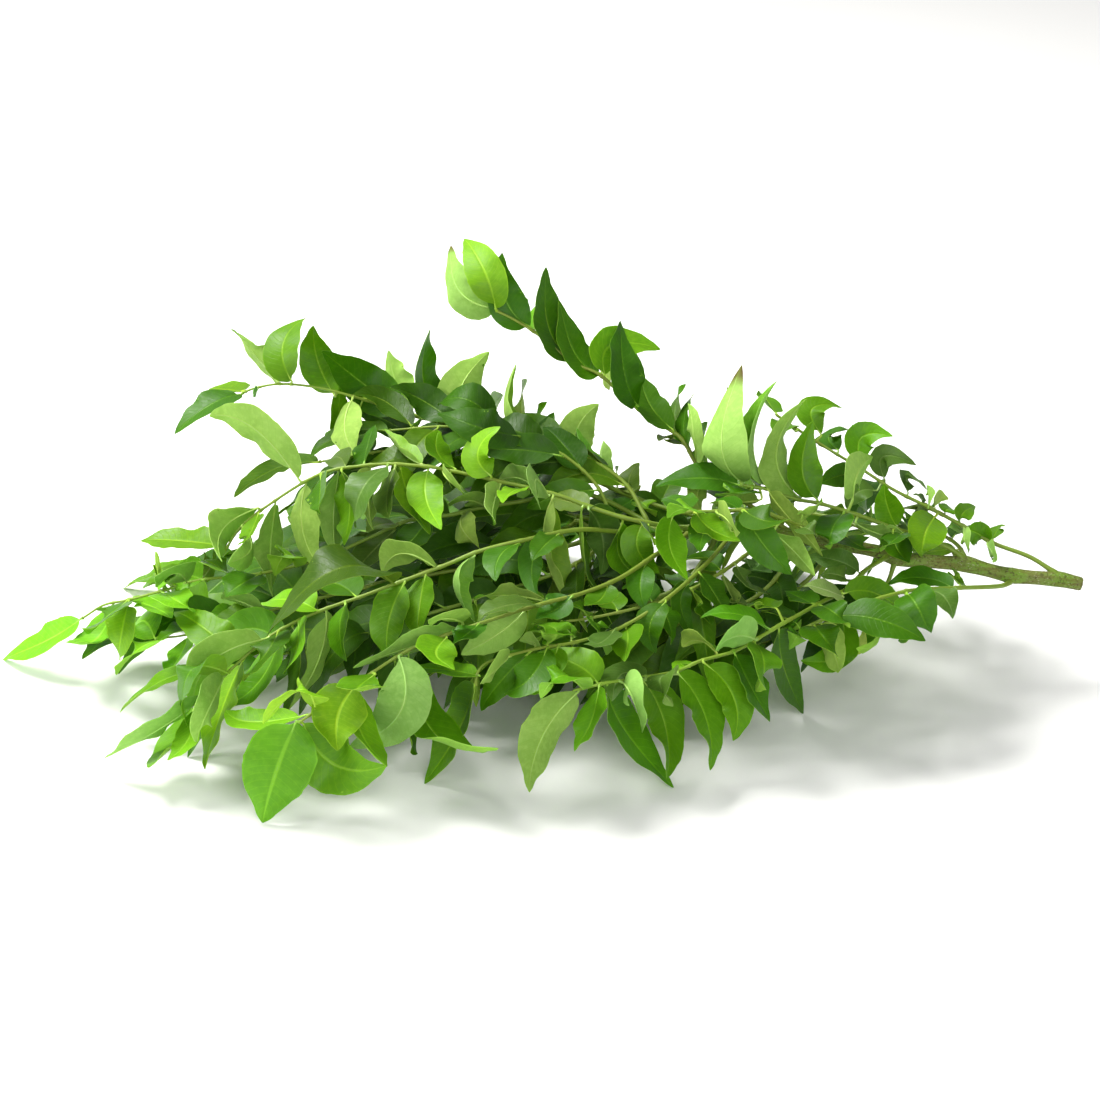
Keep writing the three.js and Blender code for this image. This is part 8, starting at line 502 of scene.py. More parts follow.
        (44.2, 23.39, 70.76, 45.15, 20.19, 70.98, 46.83, 9.83, 73.73, 51.22, 13.05, 67.65, -0.049, 0.112, 0.993, 10.81, 10, -11.8, "M", 1.16, 0),
        (41.5, 24.57, 71.31, 41.83, 26.94, 71.86, 39.98, 25.57, 78.77, 44.39, 34.13, 83.39, -0.323, -0.216, 0.921, 12.05, 10, -3.9, "G", 1.06, 0),
        (34.77, 27.15, 73.31, 35.06, 30.72, 73.37, 34.79, 40.21, 73.27, 35.59, 39.84, 79.06, -0.901, 0.051, -0.431, 11, 10, -12, "U", 1.16, 0),
        (32.07, 28.18, 74.12, 33.25, 27.77, 75.94, 21.35, 34.81, 85.42, 17.93, 39.08, 97.03, 0.77, -0.244, 0.59, 11.5, 42, -7.9, "F", 1.16, 0),
        (32.07, 28.18, 74.12, 32.88, 30.94, 75.47, 28.7, 39.73, 81.9, 29.68, 49.45, 86.61, 0.899, 0.293, -0.326, 13.12, 10, 6.7, "U", 1.16, 0),
        (16.98, 32.46, 78.91, 17.43, 32.99, 80.06, 17.53, 40.87, 94.43, 27.32, 44.34, 105.92, -0.001, 0.911, -0.413, 16.69, 10, -13.2, "U", 1, 0),
        (15.59, 32.75, 79.38, 15.13, 36.06, 79.33, 5.99, 42.35, 89.17, 8.14, 48.89, 100.35, -0.042, -0.851, 0.523, 13.25, 10, -1.3, "T", 1, 0),
        (2.08, 35.45, 85.12, 2.21, 39.32, 85.02, -0.49, 55.37, 90.2, 4.71, 50.81, 104.19, -0.889, 0.21, -0.406, 15.26, 10, 11.6, "U", 1, 0),
        (-0.53, 35.96, 86.49, -0.83, 34.17, 88.87, -12.73, 39.41, 102.89, -8.24, 65.44, 115.89, 0.94, -0.275, 0.202, 12.33, 42, 10.8, "F", 1, 0),
        (-4.46, 36.72, 88.54, -4.46, 39.86, 88.82, -6.13, 62.8, 97.87, -4.21, 45.63, 116.42, -0.906, 0.314, -0.283, 15.07, 10, -2.6, "U", 1, 0),
        (-15.75, 38.17, 92.2, -15.68, 40.39, 92.87, -17.76, 57.96, 96.6, -13.66, 48.23, 108.47, -0.976, 0.025, -0.215, 16.96, 10, -3.8, "U", 1, 0),
        (-17.19, 38.32, 92.59, -17.39, 32.81, 96.45, -26.89, 53.68, 101.23, -21.85, 53.97, 120.6, -0.506, -0.782, 0.364, 11.68, 10, 2.1, "T", 1, 0),
        (-31.59, 39.83, 96.43, -31.04, 39, 98.3, -31.79, 41.09, 113.67, -19.78, 62.43, 122.61, -0.04, 0.915, -0.403, 19.63, 10, 4.6, "U", 1, 0),
        (-34.47, 39.98, 97.22, -34.82, 41.79, 98.11, -47.47, 51.19, 111.88, -43.92, 47.84, 139.2, 0.782, -0.529, 0.329, 19.68, 10, 11.6, "T", 1, 0),
        (-25.83, 39.23, 94.89, -26.5, 36.89, 94.26, -27.93, 14.89, 99.01, -31.48, 32.26, 85.13, -0.306, -0.218, 0.927, 12.36, 10, -10.7, "T", 1, 0),
        (-28.71, 39.53, 95.66, -29.25, 36.03, 95.57, -32.77, 35.6, 91.11, -33.76, 24.64, 89.8, -0.526, 0.115, 0.843, 12.68, 10, 10.4, "T", 1, 0),
        (-41.68, 40.37, 99.2, -41.69, 37.28, 98.94, -43.88, 27.84, 97.65, -44.56, 28.74, 94.45, -0.783, 0.016, 0.621, 12.34, 10, 2.6, "T", 1, 0),
        (-47.45, 40.68, 100.79, -48.57, 38.05, 100.94, -51.6, 30.97, 99.52, -57.23, 40.55, 93.17, -0.835, 0.297, 0.463, 10.73, 10, -3.5, "U", 1, 0),
        (-51.78, 40.91, 101.98, -52.43, 43.93, 102.21, -59.64, 55.31, 111.61, -62.62, 60.7, 124.21, 0.718, 0.597, -0.357, 17.14, 10, -5.8, "U", 1, 0),
        (-56.07, 41.07, 103.28, -57.36, 43.16, 103.35, -72.78, 52.33, 111.42, -89.91, 42.2, 130.98, 0.026, -0.863, 0.504, 20.4, 10, -4.9, "T", 1, 0),
        (-50.34, 40.83, 101.58, -51.77, 44.95, 100.74, -63.59, 56.26, 89.83, -66.77, 50.72, 108.85, 0.21, 0.154, 0.965, 12.99, 42, 0.1, "F", 1, 0),
        (-84.36, 40.48, 113.09, -85.13, 43.73, 109.85, -92.97, 57.37, 120, -94.23, 52.99, 138.14, -0.056, -0.704, 0.708, 16.69, 10, 13.1, "M", 1, 0),
        (-71.58, 41.08, 108.84, -72.78, 44.95, 108.49, -82.94, 49.42, 94.09, -82.88, 51.9, 116.66, 0.213, -0.164, 0.963, 15.81, 10, -0.4, "M", 1, 0),
        (-77.26, 40.81, 110.73, -77.54, 37.93, 110.38, -79.87, 23.52, 102.65, -74.4, 12.92, 95.75, 0.662, 0.421, -0.62, 17.08, 10, 12.2, "U", 1, 0),
        (-103.39, 39.37, 116.79, -102.89, 38.56, 118.85, -106.6, 45.58, 132.38, -98, 64.14, 137.99, -0.451, -0.5, 0.739, 18.03, 10, -4.7, "M", 1, 0),
        (-107.85, 39.1, 117.22, -109.08, 42.33, 117.12, -119.21, 55.41, 123.98, -128.54, 51.79, 137.69, 0.788, 0.577, 0.213, 17.1, 10, 2.6, "U", 1, 0),
        (-122.35, 38.06, 114.24, -124.12, 40.43, 113.42, -131.51, 52.17, 109.18, -140.97, 63.7, 105.44, -0.25, 0.168, 0.953, 15.29, 10, -10.4, "M", 1, 0),
        (-123.65, 38.1, 113.51, -124.72, 35.71, 113.7, -136.61, 27.24, 112.48, -151.52, 20.29, 102.19, -0.211, -0.235, 0.949, 16.71, 10, -3, "T", 1, 0),
        (-116.71, 38.34, 116.09, -117.53, 37.14, 115.3, -117.81, 34.95, 115.25, -119.26, 31.91, 114.66, -0.949, 0.303, 0.092, 5.5, 10, 0.5, "U", 1, 0),
    ]),
    ("leaf_15", 1.2, 0.55, 0.27, [
        (83.36, -9.63, 70.85), (81.73, -13.28, 71.15), (80.52, -16.03, 71.04), (79.34, -18.8, 70.94), (78.17, -21.57, 70.86),
        (77, -24.35, 70.78), (75.82, -27.11, 70.68), (74.61, -29.86, 70.57), (73.35, -32.59, 70.42), (72.03, -35.29, 70.23),
        (70.62, -37.95, 69.98), (69.12, -40.53, 69.66), (67.54, -43.07, 69.27), (65.9, -45.55, 68.82), (64.2, -47.99, 68.33),
        (62.45, -50.37, 67.78), (60.64, -52.71, 67.2), (58.78, -55, 66.6), (56.87, -57.24, 65.97), (54.91, -59.43, 65.34),
        (52.89, -61.57, 64.71), (50.8, -63.64, 64.05), (48.62, -65.6, 63.35), (46.38, -67.47, 62.61), (44.08, -69.25, 61.84),
        (41.72, -70.96, 61.08), (39.32, -72.61, 60.34), (36.87, -74.23, 59.65), (34.39, -75.83, 59.05), (31.85, -77.37, 58.57),
        (29.22, -78.78, 58.18), (26.54, -80.11, 57.87), (23.81, -81.36, 57.62), (21.07, -82.6, 57.43), (18.35, -83.88, 57.26),
        (15.67, -85.25, 57.18), (13.01, -86.64, 57.33), (10.3, -87.94, 57.5), (7.52, -89.08, 57.64), (4.71, -90.16, 57.77),
        (1.92, -91.3, 57.79), (-0.83, -92.51, 57.71), (-3.57, -93.75, 57.6), (-6.31, -95.01, 57.48), (-9.03, -96.27, 57.33),
        (-11.75, -97.55, 57.14), (-14.46, -98.84, 56.87), (-17.14, -100.14, 56.43), (-19.67, -101.46, 55.51),
        (-21.52, -102.73, 53.55), (-22.37, -103.91, 50.96), (-22.51, -104.9, 48.12),
    ], [
        (-21.76, -103.26, 52.23, -20.92, -104.45, 52.28, -34.98, -93.02, 49.05, -50, -84.46, 45.54, -0.088, 0.002, 0.996, 12.36, 10, -4.8, "B", 1, 0),
        (-22.26, -104.36, 49.49, -23.09, -103.65, 47.78, -30.21, -92.75, 21.17, -43.95, -97.22, 0, -0.836, -0.474, 0.277, 20.81, 20, -13.7, "M", 1, 0),
        (-0.83, -92.52, 57.62, -1.7, -93.48, 57, -12.45, -98.18, 47.28, -21.17, -100.36, 34.66, -0.482, -0.598, 0.641, 14.31, 10, -12.4, "T", 0.94, 0),
        (6.05, -89.49, 57.44, 5.14, -92.78, 58.22, -2.12, -110.89, 53.86, -11.55, -106.46, 46.29, 0.019, -0.405, 0.914, 15.23, 10, 3.7, "T", 0.94, 0),
        (10.18, -87.67, 57.33, 9.49, -91.1, 57.84, 4.46, -100.53, 50.7, -3.42, -98.99, 41.06, -0.258, -0.291, 0.921, 14.78, 10, 12.8, "M", 1, 0),
        (-8.99, -96.32, 57.1, -10.05, -97.47, 56.92, -14.19, -107.75, 57.49, -20.51, -121.93, 57.85, -0.849, 0.377, 0.369, 14.18, 10, 11.8, "U", 1, 0),
        (6.05, -89.49, 57.44, 5.26, -90.38, 59.31, 8.77, -94.02, 67.16, -1.1, -80.87, 64.15, 0.145, 0.114, 0.983, 13.79, 10, 0.5, "M", 1, 0),
        (17.03, -84.6, 57.28, 15.68, -81.39, 55.94, 7.63, -64.28, 50.1, -2.41, -66.59, 53.5, -0.368, -0.02, 0.93, 14.45, 10, 8.3, "M", 1, 0),
        (33.01, -76.47, 58.99, 31.77, -79.78, 59.81, 26.03, -94.79, 61.85, 19.74, -96.16, 62.54, 0.033, 0.234, 0.972, 13, 10, -0.6, "G", 1, 0),
        (15.67, -85.25, 57.18, 14.85, -83.7, 57.64, 14.34, -82.6, 60.59, 10.37, -84.33, 65.86, 0.979, 0.197, -0.056, 11.41, 10, -5.9, "U", 1, 0),
        (36.79, -74.15, 59.8, 36.75, -73.58, 57.78, 37.26, -85.27, 58.39, 35.34, -101.45, 57.77, -0.43, -0.01, 0.903, 14.45, 10, 11.3, "M", 1, 0),
        (52.72, -61.4, 64.67, 52.53, -64.75, 64.72, 46.33, -72.31, 58.57, 48.55, -71.38, 44.68, -0.384, -0.59, 0.71, 12.99, 10, 8, "T", 0.94, 0),
        (62.28, -50.23, 67.66, 62.52, -49.44, 65.76, 59.25, -54.5, 58, 66.13, -52.29, 41.11, 0.469, -0.646, 0.602, 10.2, 10, -4.7, "T", 0.94, 0),
        (66.56, -44.17, 68.91, 67.32, -47.5, 69.23, 73.09, -53.27, 62.66, 78.37, -56.84, 54.06, 0.399, -0.283, 0.872, 13.13, 10, -1.4, "T", 1.06, 0),
        (1.92, -91.31, 57.55, 0.65, -88.13, 56.83, 0.11, -87.06, 58.4, -5.49, -80.58, 56.03, 0.774, 0.416, 0.477, 10.38, 10, 0.8, "U", 1, 0),
    ]),
    ("leaf_16", 1.3, 0.55, 0.18, [
        (75.51, -8.73, 70.92), (73.91, -10.82, 71.72), (71.81, -12.7, 72.74), (69.73, -14.6, 73.76), (67.59, -16.43, 74.77),
        (65.33, -18.13, 75.76), (62.9, -19.61, 76.71), (60.36, -20.91, 77.62), (57.72, -22.03, 78.49), (55.01, -22.98, 79.33),
        (52.23, -23.74, 80.15), (49.39, -24.31, 80.93), (46.51, -24.68, 81.65), (43.6, -24.88, 82.35), (40.69, -24.96, 83.05),
        (37.79, -24.92, 83.78), (34.9, -24.76, 84.55), (32.02, -24.42, 85.33), (29.17, -23.98, 86.13), (26.33, -23.49, 86.94),
        (23.49, -23.01, 87.78), (20.67, -22.58, 88.68), (17.87, -22.14, 89.67), (15.08, -21.69, 90.66), (12.26, -21.21, 91.55),
        (9.4, -20.71, 92.3), (6.52, -20.22, 92.94), (3.62, -19.71, 93.51), (0.72, -19.19, 94.05), (-2.18, -18.65, 94.56),
        (-5.08, -18.07, 95.05), (-7.97, -17.44, 95.51), (-10.86, -16.77, 95.94), (-13.75, -16.07, 96.34),
        (-16.63, -15.35, 96.72), (-19.51, -14.62, 97.09), (-22.39, -13.89, 97.46), (-25.27, -13.15, 97.83),
        (-28.15, -12.39, 98.2), (-31.03, -11.63, 98.55), (-33.9, -10.87, 98.89), (-36.79, -10.12, 99.21), (-39.68, -9.39, 99.48),
        (-42.58, -8.67, 99.67), (-45.51, -8.06, 99.75), (-48.46, -7.53, 99.82), (-51.42, -7.05, 99.88), (-54.38, -6.6, 99.91),
        (-57.35, -6.19, 99.88), (-60.32, -5.82, 99.77), (-63.29, -5.5, 99.57), (-66.26, -5.23, 99.3), (-69.23, -5.03, 98.92),
        (-72.19, -4.9, 98.46), (-75.15, -4.81, 98.02), (-78.12, -4.74, 97.61), (-81.07, -4.71, 97.12), (-83.99, -4.74, 96.46),
        (-86.86, -4.82, 95.58), (-89.63, -4.96, 94.46), (-92.31, -5.14, 93.14), (-94.93, -5.35, 91.69), (-97.5, -5.59, 90.17),
        (-100.03, -5.85, 88.59), (-102.54, -6.12, 86.98), (-105.03, -6.43, 85.34), (-107.51, -6.77, 83.7),
        (-109.99, -7.15, 82.06), (-112.46, -7.6, 80.43), (-114.9, -8.11, 78.77), (-117.28, -8.68, 77.03),
        (-119.57, -9.27, 75.19), (-121.72, -9.86, 73.2), (-123.67, -10.45, 71), (-125.38, -11.05, 68.62),
        (-126.94, -11.67, 66.13), (-128.44, -12.29, 63.62), (-130.02, -12.9, 61.15),
    ], [
        (43.59, -24.62, 82.35, 44.14, -25.64, 81.24, 42.42, -31.35, 72.5, 51.8, -25.65, 59.38, -0.121, -0.763, 0.635, 13.74, 10, 11.5, "M", 1.16, 0),
        (36.37, -24.72, 84.21, 35.95, -24.06, 80.87, 35.77, -21.24, 63.23, 49.99, -31.58, 57.64, 0.531, -0.649, 0.545, 14.51, 10, 8.4, "M", 1.16, 0),
        (46.5, -24.46, 81.64, 46.84, -27.88, 81.61, 46.98, -38.27, 83.78, 49.18, -35.77, 76.81, 0.559, 0.083, 0.825, 10.62, 10, 0.7, "T", 1.06, 0),
        (22.19, -22.63, 88.5, 22.33, -25.76, 88.01, 27.99, -12.84, 70.73, 27.74, -32.83, 62.33, 0.304, -0.88, 0.365, 17.94, 10, -2.8, "G", 1.06, 0),
        (20.77, -22.42, 88.93, 19.51, -24.07, 88.06, 21.02, -28.07, 61.78, 32.22, -49.85, 48.03, 0.977, -0.07, 0.201, 19.43, 10, 8.4, "M", 1, 0),
        (23.61, -22.84, 88.07, 22.14, -20.59, 87.1, 14.67, -13.63, 86.08, 6.01, -2.65, 83.44, -0.474, -0.187, 0.86, 12.42, 10, -13.2, "G", 1, 0),
        (7.94, -20.43, 92.51, 7.24, -24.03, 91.63, 5.6, -24.96, 64.06, 22.49, -37.59, 38.14, 0.892, -0.3, 0.339, 18.9, 42, 6.1, "F", 1, 0),
        (2.15, -19.38, 93.64, 0.77, -17.43, 93.27, -5.96, -8.67, 94.71, -14.43, 3.55, 88.44, 0.721, 0.561, 0.405, 14.14, 10, -3.8, "U", 1, 0),
        (6.5, -20.17, 92.79, 5.72, -22.24, 92.53, 0.35, -32.01, 104.06, 2.39, -41.8, 95.16, -0.943, 0.09, -0.32, 14.37, 10, -9.4, "U", 1, 0),
        (-3.63, -18.33, 94.76, -4.88, -19.57, 94.58, -9.02, -28.97, 97.4, -12.89, -41.96, 99.2, -0.127, 0.244, 0.962, 12.14, 10, 2.6, "B", 1, 0),
        (-18.06, -14.81, 96.68, -17.84, -15.33, 98.61, -23.09, -12.08, 107.84, -14.05, -8.89, 118.04, -0.549, -0.357, 0.756, 15.61, 10, 10.2, "B", 1, 0),
        (-13.73, -15.9, 96.14, -13.98, -17.27, 95.32, -16.8, -28.19, 91.26, -16.56, -43.27, 90.07, -0.943, 0.153, -0.296, 15.06, 10, 8, "U", 1, 0),
        (-36.8, -10.11, 99.04, -37.52, -13.33, 99.44, -33.63, -20.84, 97.81, -29.12, -9.18, 88.61, 0.9, 0.353, 0.254, 13.81, 10, -13.2, "U", 1, 0),
        (-18.06, -14.81, 96.68, -19.4, -12.15, 96.38, -24.24, -2.62, 94.77, -29.91, 7.6, 93.04, 0.084, 0.246, 0.966, 13.03, 10, -7.7, "T", 1, 0),
        (-32.48, -11.19, 98.5, -33.06, -8.03, 98.8, -40.2, -4.36, 104.53, -39.56, 4.36, 110.7, 0.522, -0.069, 0.85, 15.29, 10, -10.4, "M", 1, 0),
        (-44.08, -8.54, 99.6, -43.77, -8.21, 98.12, -44.42, -19.65, 90.57, -37.41, -47.24, 89.67, -0.089, -0.523, 0.848, 15.71, 10, -4.6, "B", 1, 0),
        (-55.9, -6.62, 99.65, -55.35, -5.57, 98.11, -51.31, -13.36, 86.86, -42.46, -33.54, 80.71, 0.599, -0.273, 0.753, 18.04, 10, 10.9, "B", 1, 0),
        (-45.55, -8.3, 99.61, -46.59, -6.73, 100.27, -55.79, 2.19, 102.62, -62.4, 12.81, 108.06, 0.406, 0.075, 0.911, 11.76, 42, -8.8, "F", 1, 0),
        (-60.33, -5.9, 99.67, -60.88, -9.04, 99.8, -69.96, -28.92, 98.26, -73.86, -26.06, 79.98, -0.366, -0.361, 0.858, 18.29, 10, -13.9, "G", 1, 0),
        (-67.72, -5.39, 98.86, -67.84, -4.31, 97.19, -68.38, -17.22, 88.59, -65.91, -35.6, 83.45, -0.916, 0.169, -0.363, 17.73, 10, -5.1, "U", 1, 0),
        (-57.38, -6.38, 99.66, -57.43, -9.4, 99.72, -59.82, -21.87, 94.25, -59.71, -35.22, 89.08, -0.807, -0.161, 0.568, 17.62, 10, -12.6, "G", 1, 0),
        (-70.69, -5.25, 98.45, -70.36, -3.44, 99.55, -69.27, 6.43, 103.07, -67.22, 17.29, 107.99, -0.766, -0.07, 0.638, 17.29, 10, 3.5, "T", 1, 0),
        (-76.62, -4.99, 97.63, -78.17, -2.89, 97.34, -81.96, 7.08, 97.36, -87.4, 17.26, 90.69, -0.524, 0.069, 0.849, 12.16, 10, 12.8, "G", 1, 0),
        (-81.06, -4.78, 97.02, -81.18, -3.9, 95.18, -83.97, -4.95, 73.98, -81.07, -29.53, 63.95, -0.789, 0.601, -0.127, 17.73, 10, 4.4, "U", 1, 0),
        (-79.58, -4.85, 97.22, -79.39, -7.93, 97.2, -76.1, -14.06, 83.56, -78.7, -24.46, 71.55, -0.865, -0.37, 0.34, 17.89, 10, -8, "M", 1, 0),
        (-88.26, -4.88, 95.05, -88.19, -8.09, 94.89, -87.77, -20.5, 92.3, -88.33, -27.14, 86.31, -0.858, -0.119, 0.5, 16.83, 10, 6.9, "T", 1, 0),
        (-96.18, -5.5, 90.89, -97.96, -4.27, 92.78, -115.77, 0.51, 113.21, -134.45, 7.11, 116.28, 0.435, 0.863, 0.258, 20.96, 10, 9, "U", 1, 0),
        (-94.93, -5.35, 91.69, -94.77, -4.87, 89.92, -95.92, -12.94, 73.06, -88.49, -24.17, 61.41, 0.76, 0.574, -0.304, 19.27, 10, -10.4, "U", 1, 0),
        (-107.48, -6.85, 83.67, -107.63, -6.47, 81.97, -111.21, -1, 56.03, -108.74, -20.89, 45.6, -0.795, 0.593, -0.127, 16.7, 10, -8.4, "U", 1.16, 0),
        (-113.58, -7.94, 79.49, -114.95, -9.41, 81.47, -129.95, -8.88, 71.2, -127.94, -31.82, 67.3, -0.802, 0.557, -0.216, 17.81, 10, 5.3, "U", 1.16, 0),
        (-113.58, -7.94, 79.49, -114.23, -11.05, 79.73, -116.26, -29, 78.62, -119.7, -24.73, 73.95, -0.638, 0.098, 0.764, 14.59, 10, 0.4, "M", 1, 0),
        (-127.68, -11.98, 64.87, -129.5, -8.8, 63.51, -148.62, 4.85, 59.81, -167.27, 11.61, 57.14, -0.213, -0.048, 0.976, 18.81, 10, -12, "M", 1.16, 0),
        (-120.56, -9.56, 74.12, -121.01, -12.76, 74.24, -117.67, -18.5, 66.51, -126.18, -33.06, 67.43, -0.984, 0.176, -0.028, 18.58, 10, -12.6, "U", 1.16, 0),
    ]),
    ("leaf_17", 1.2, 0.55, 0.18, [
        (75.53, -8.43, 70.14), (74.29, -8.64, 64.99), (72.71, -10.18, 62.94), (71.2, -11.77, 60.88), (69.68, -13.35, 58.83),
        (68.06, -14.86, 56.79), (66.28, -16.24, 54.81), (64.26, -17.41, 52.91), (61.98, -18.29, 51.18), (59.52, -18.95, 49.57),
        (56.95, -19.43, 48.09), (54.3, -19.75, 46.71), (51.58, -19.93, 45.44), (48.83, -20.01, 44.24), (46.04, -19.99, 43.11),
        (43.23, -19.91, 42.04), (40.4, -19.73, 41.05), (37.54, -19.46, 40.14), (34.68, -19.11, 39.31), (31.8, -18.69, 38.53),
        (28.93, -18.22, 37.79), (26.05, -17.71, 37.09), (23.17, -17.15, 36.41), (20.3, -16.57, 35.74), (17.43, -15.97, 35.07),
        (14.57, -15.34, 34.42), (11.7, -14.66, 33.79), (8.85, -13.95, 33.17), (5.99, -13.21, 32.58), (3.14, -12.45, 32),
        (0.29, -11.67, 31.44), (-2.55, -10.88, 30.89), (-5.4, -10.07, 30.36), (-8.24, -9.25, 29.83), (-11.09, -8.42, 29.32),
        (-13.93, -7.59, 28.82), (-16.78, -6.74, 28.33), (-19.62, -5.88, 27.86), (-22.45, -4.99, 27.4), (-25.29, -4.09, 26.95),
        (-28.12, -3.19, 26.51), (-30.96, -2.28, 26.08), (-33.79, -1.37, 25.66), (-36.63, -0.47, 25.24), (-39.47, 0.43, 24.81),
        (-42.31, 1.31, 24.39), (-45.16, 2.18, 23.96), (-48, 3.05, 23.53), (-50.85, 3.91, 23.09), (-53.69, 4.78, 22.66),
        (-56.54, 5.65, 22.22), (-59.39, 6.51, 21.79), (-62.24, 7.37, 21.37), (-65.09, 8.21, 20.94), (-67.95, 9.05, 20.52),
        (-70.81, 9.87, 20.11), (-73.68, 10.68, 19.71), (-76.55, 11.47, 19.31), (-79.44, 12.24, 18.93), (-82.32, 12.99, 18.55),
        (-85.22, 13.71, 18.19), (-88.12, 14.41, 17.84), (-91.03, 15.1, 17.5), (-93.94, 15.78, 17.16), (-96.85, 16.44, 16.83),
        (-99.77, 17.1, 16.5), (-102.68, 17.76, 16.17), (-105.6, 18.42, 15.84), (-108.51, 19.08, 15.51), (-111.42, 19.76, 15.17),
        (-112.88, 20.1, 15),
    ], [
        (61.98, -18.29, 51.18, 62.67, -20.23, 50.29, 68.57, -42.99, 46.09, 70.92, -67.05, 24.32, -0.704, -0.136, 0.697, 16.16, 8.8, 13.4, "M", 0.64, 0),
        (52.91, -19.76, 46.13, 51.42, -16.39, 45.35, 36.55, -9.97, 53.62, 21.08, 0.18, 40.43, -0.054, -0.341, 0.939, 17.6, 17.2, 15.4, "T", 0.6, 0),
        (41.74, -19.51, 41.81, 40.34, -21.38, 40.82, 28.64, -33.66, 35.67, 15.87, -56.1, 21.36, -0.026, -0.475, 0.88, 15.61, 11.2, -12.1, "T", 0.6, 0),
        (33.24, -18.84, 38.96, 32.63, -14.92, 38.53, 26.15, 8.89, 41.5, 16.99, 7.5, 47.11, -0.389, 0.442, 0.808, 18.08, 8.5, 2.8, "T", 0.6, 0),
        (24.63, -17.19, 36.88, 23.7, -17.25, 34.78, 12.8, -22.3, 16.4, 3.7, -49, 5.5, -0.196, 0.017, 0.981, 14, 11, -14, "T", 0.6, 0),
        (14.57, -15.28, 34.45, 13.85, -11.43, 34.2, 7.38, -4.48, 47.41, -1.04, 3.36, 54.06, -0.362, 0.576, 0.733, 16.26, 17.9, 10.5, "T", 0.6, 0),
        (4.59, -12.68, 32.41, 3.01, -15.79, 32.4, -11.2, -16.87, 18.72, -29.51, -25.7, 1.2, 0.106, -0.568, 0.816, 16.01, 14.8, -10.9, "T", 0.6, 0),
        (-3.96, -10.36, 30.73, -4.33, -6.42, 30.28, -7.94, 17.08, 39.18, -14.06, 6.75, 46.89, -0.373, 0.28, 0.885, 21.52, 10.3, 1, "T", 0.6, 0),
        (-13.93, -7.54, 28.87, -15.84, -9.5, 28.66, -36.8, -10.36, 19.38, -57.9, -23.86, 8.33, -0.32, -0.348, 0.881, 19.29, 14.1, -8.1, "T", 0.6, 0),
        (-23.86, -4.44, 27.3, -25.33, -0.93, 26.61, -40.19, 17.76, 32.65, -55.34, 12.48, 43.32, -0.366, -0.262, 0.893, 21.18, 8, 7.1, "M", 0.64, 0),
        (-32.38, -1.79, 25.96, -34.33, -1.7, 25.08, -53.12, -18.58, 26.18, -72.33, -32.77, 7.68, -0.16, -0.297, 0.941, 18.27, 16.1, 12.4, "T", 0.6, 0),
        (-40.89, 0.87, 24.61, -42.42, 4.46, 23.93, -56.94, 21.87, 29.49, -70.82, 7.63, 33.82, -0.313, -0.502, 0.806, 18.26, 10.8, -9.4, "T", 0.6, 0),
        (-50.87, 3.87, 23.11, -52.51, 0.73, 23.54, -70.57, -12.86, 20.04, -90.7, -8.96, 1.2, -0.29, -0.344, 0.893, 20.6, 13.7, -16.4, "M", 0.64, 0),
        (-60.85, 6.85, 21.62, -62.18, 10.72, 20.73, -74.85, 31.13, 21.08, -87.46, 28, 22.65, -0.13, -0.432, 0.892, 17.9, 10.8, 4.9, "M", 0.64, 0),
        (-70.83, 9.83, 20.13, -72.91, 9.96, 20.64, -95.93, 20.65, 23.56, -116.81, 2.53, 15.8, -0.32, -0.502, 0.804, 20.38, 6.2, 17.6, "T", 0.6, 0),
        (-79.47, 12.14, 18.98, -80.87, 15.83, 18.21, -93.86, 29.29, 23.47, -107.86, 35.63, 24.1, -0.408, -0.367, 0.836, 20.75, 6.3, -8.3, "M", 0.64, 0),
        (-88.15, 14.32, 17.89, -89.73, 11.1, 19.66, -109.79, 6.68, 26.58, -129.33, -10.39, 15.26, -0.511, -0.204, 0.835, 18.64, 10.4, -3.5, "T", 0.6, 0),
        (-99.77, 17.11, 16.5, -101.51, 17.54, 17.53, -121.45, 34.25, 22.41, -141.38, 40.62, 15.68, -0.088, -0.439, 0.894, 21.76, 17, 4.3, "T", 0.93, 0),
        (-112.88, 20.1, 15, -114.26, 19.74, 15.17, -134.45, 23.37, 13.35, -152.62, 26.84, 2.48, -0.122, -0.092, 0.988, 18.06, 10, 0, "M", 0.93, 0),
    ]),
    ("leaf_18", 1.3, 0.6, 0.3, [
        (65.51, -7.97, 70.56), (63.84, -11.2, 70.4), (62.34, -13.79, 70.62), (60.86, -16.39, 70.87), (59.39, -19, 71.12),
        (57.9, -21.6, 71.36), (56.39, -24.19, 71.58), (54.83, -26.76, 71.74), (53.2, -29.28, 71.84), (51.51, -31.77, 71.86),
        (49.75, -34.2, 71.77), (47.94, -36.6, 71.6), (46.11, -38.97, 71.36), (44.24, -41.3, 71.08), (42.32, -43.6, 70.77),
        (40.37, -45.87, 70.45), (38.37, -48.09, 70.12), (36.31, -50.26, 69.82), (34.18, -52.36, 69.57), (31.96, -54.37, 69.33),
        (29.63, -56.26, 69.1), (27.23, -58.05, 68.88), (24.76, -59.76, 68.67), (22.26, -61.41, 68.48), (19.74, -63.05, 68.32),
        (17.22, -64.69, 68.2), (14.66, -66.26, 68.16), (12.05, -67.74, 68.18), (9.41, -69.18, 68.22), (6.76, -70.61, 68.21),
        (4.14, -72.07, 68.13), (1.54, -73.58, 68.02), (-1.04, -75.12, 67.89), (-3.63, -76.64, 67.75), (-6.23, -78.14, 67.57),
        (-8.85, -79.6, 67.35), (-11.5, -80.99, 67.08), (-14.18, -82.31, 66.75), (-16.89, -83.56, 66.39), (-19.62, -84.75, 65.99),
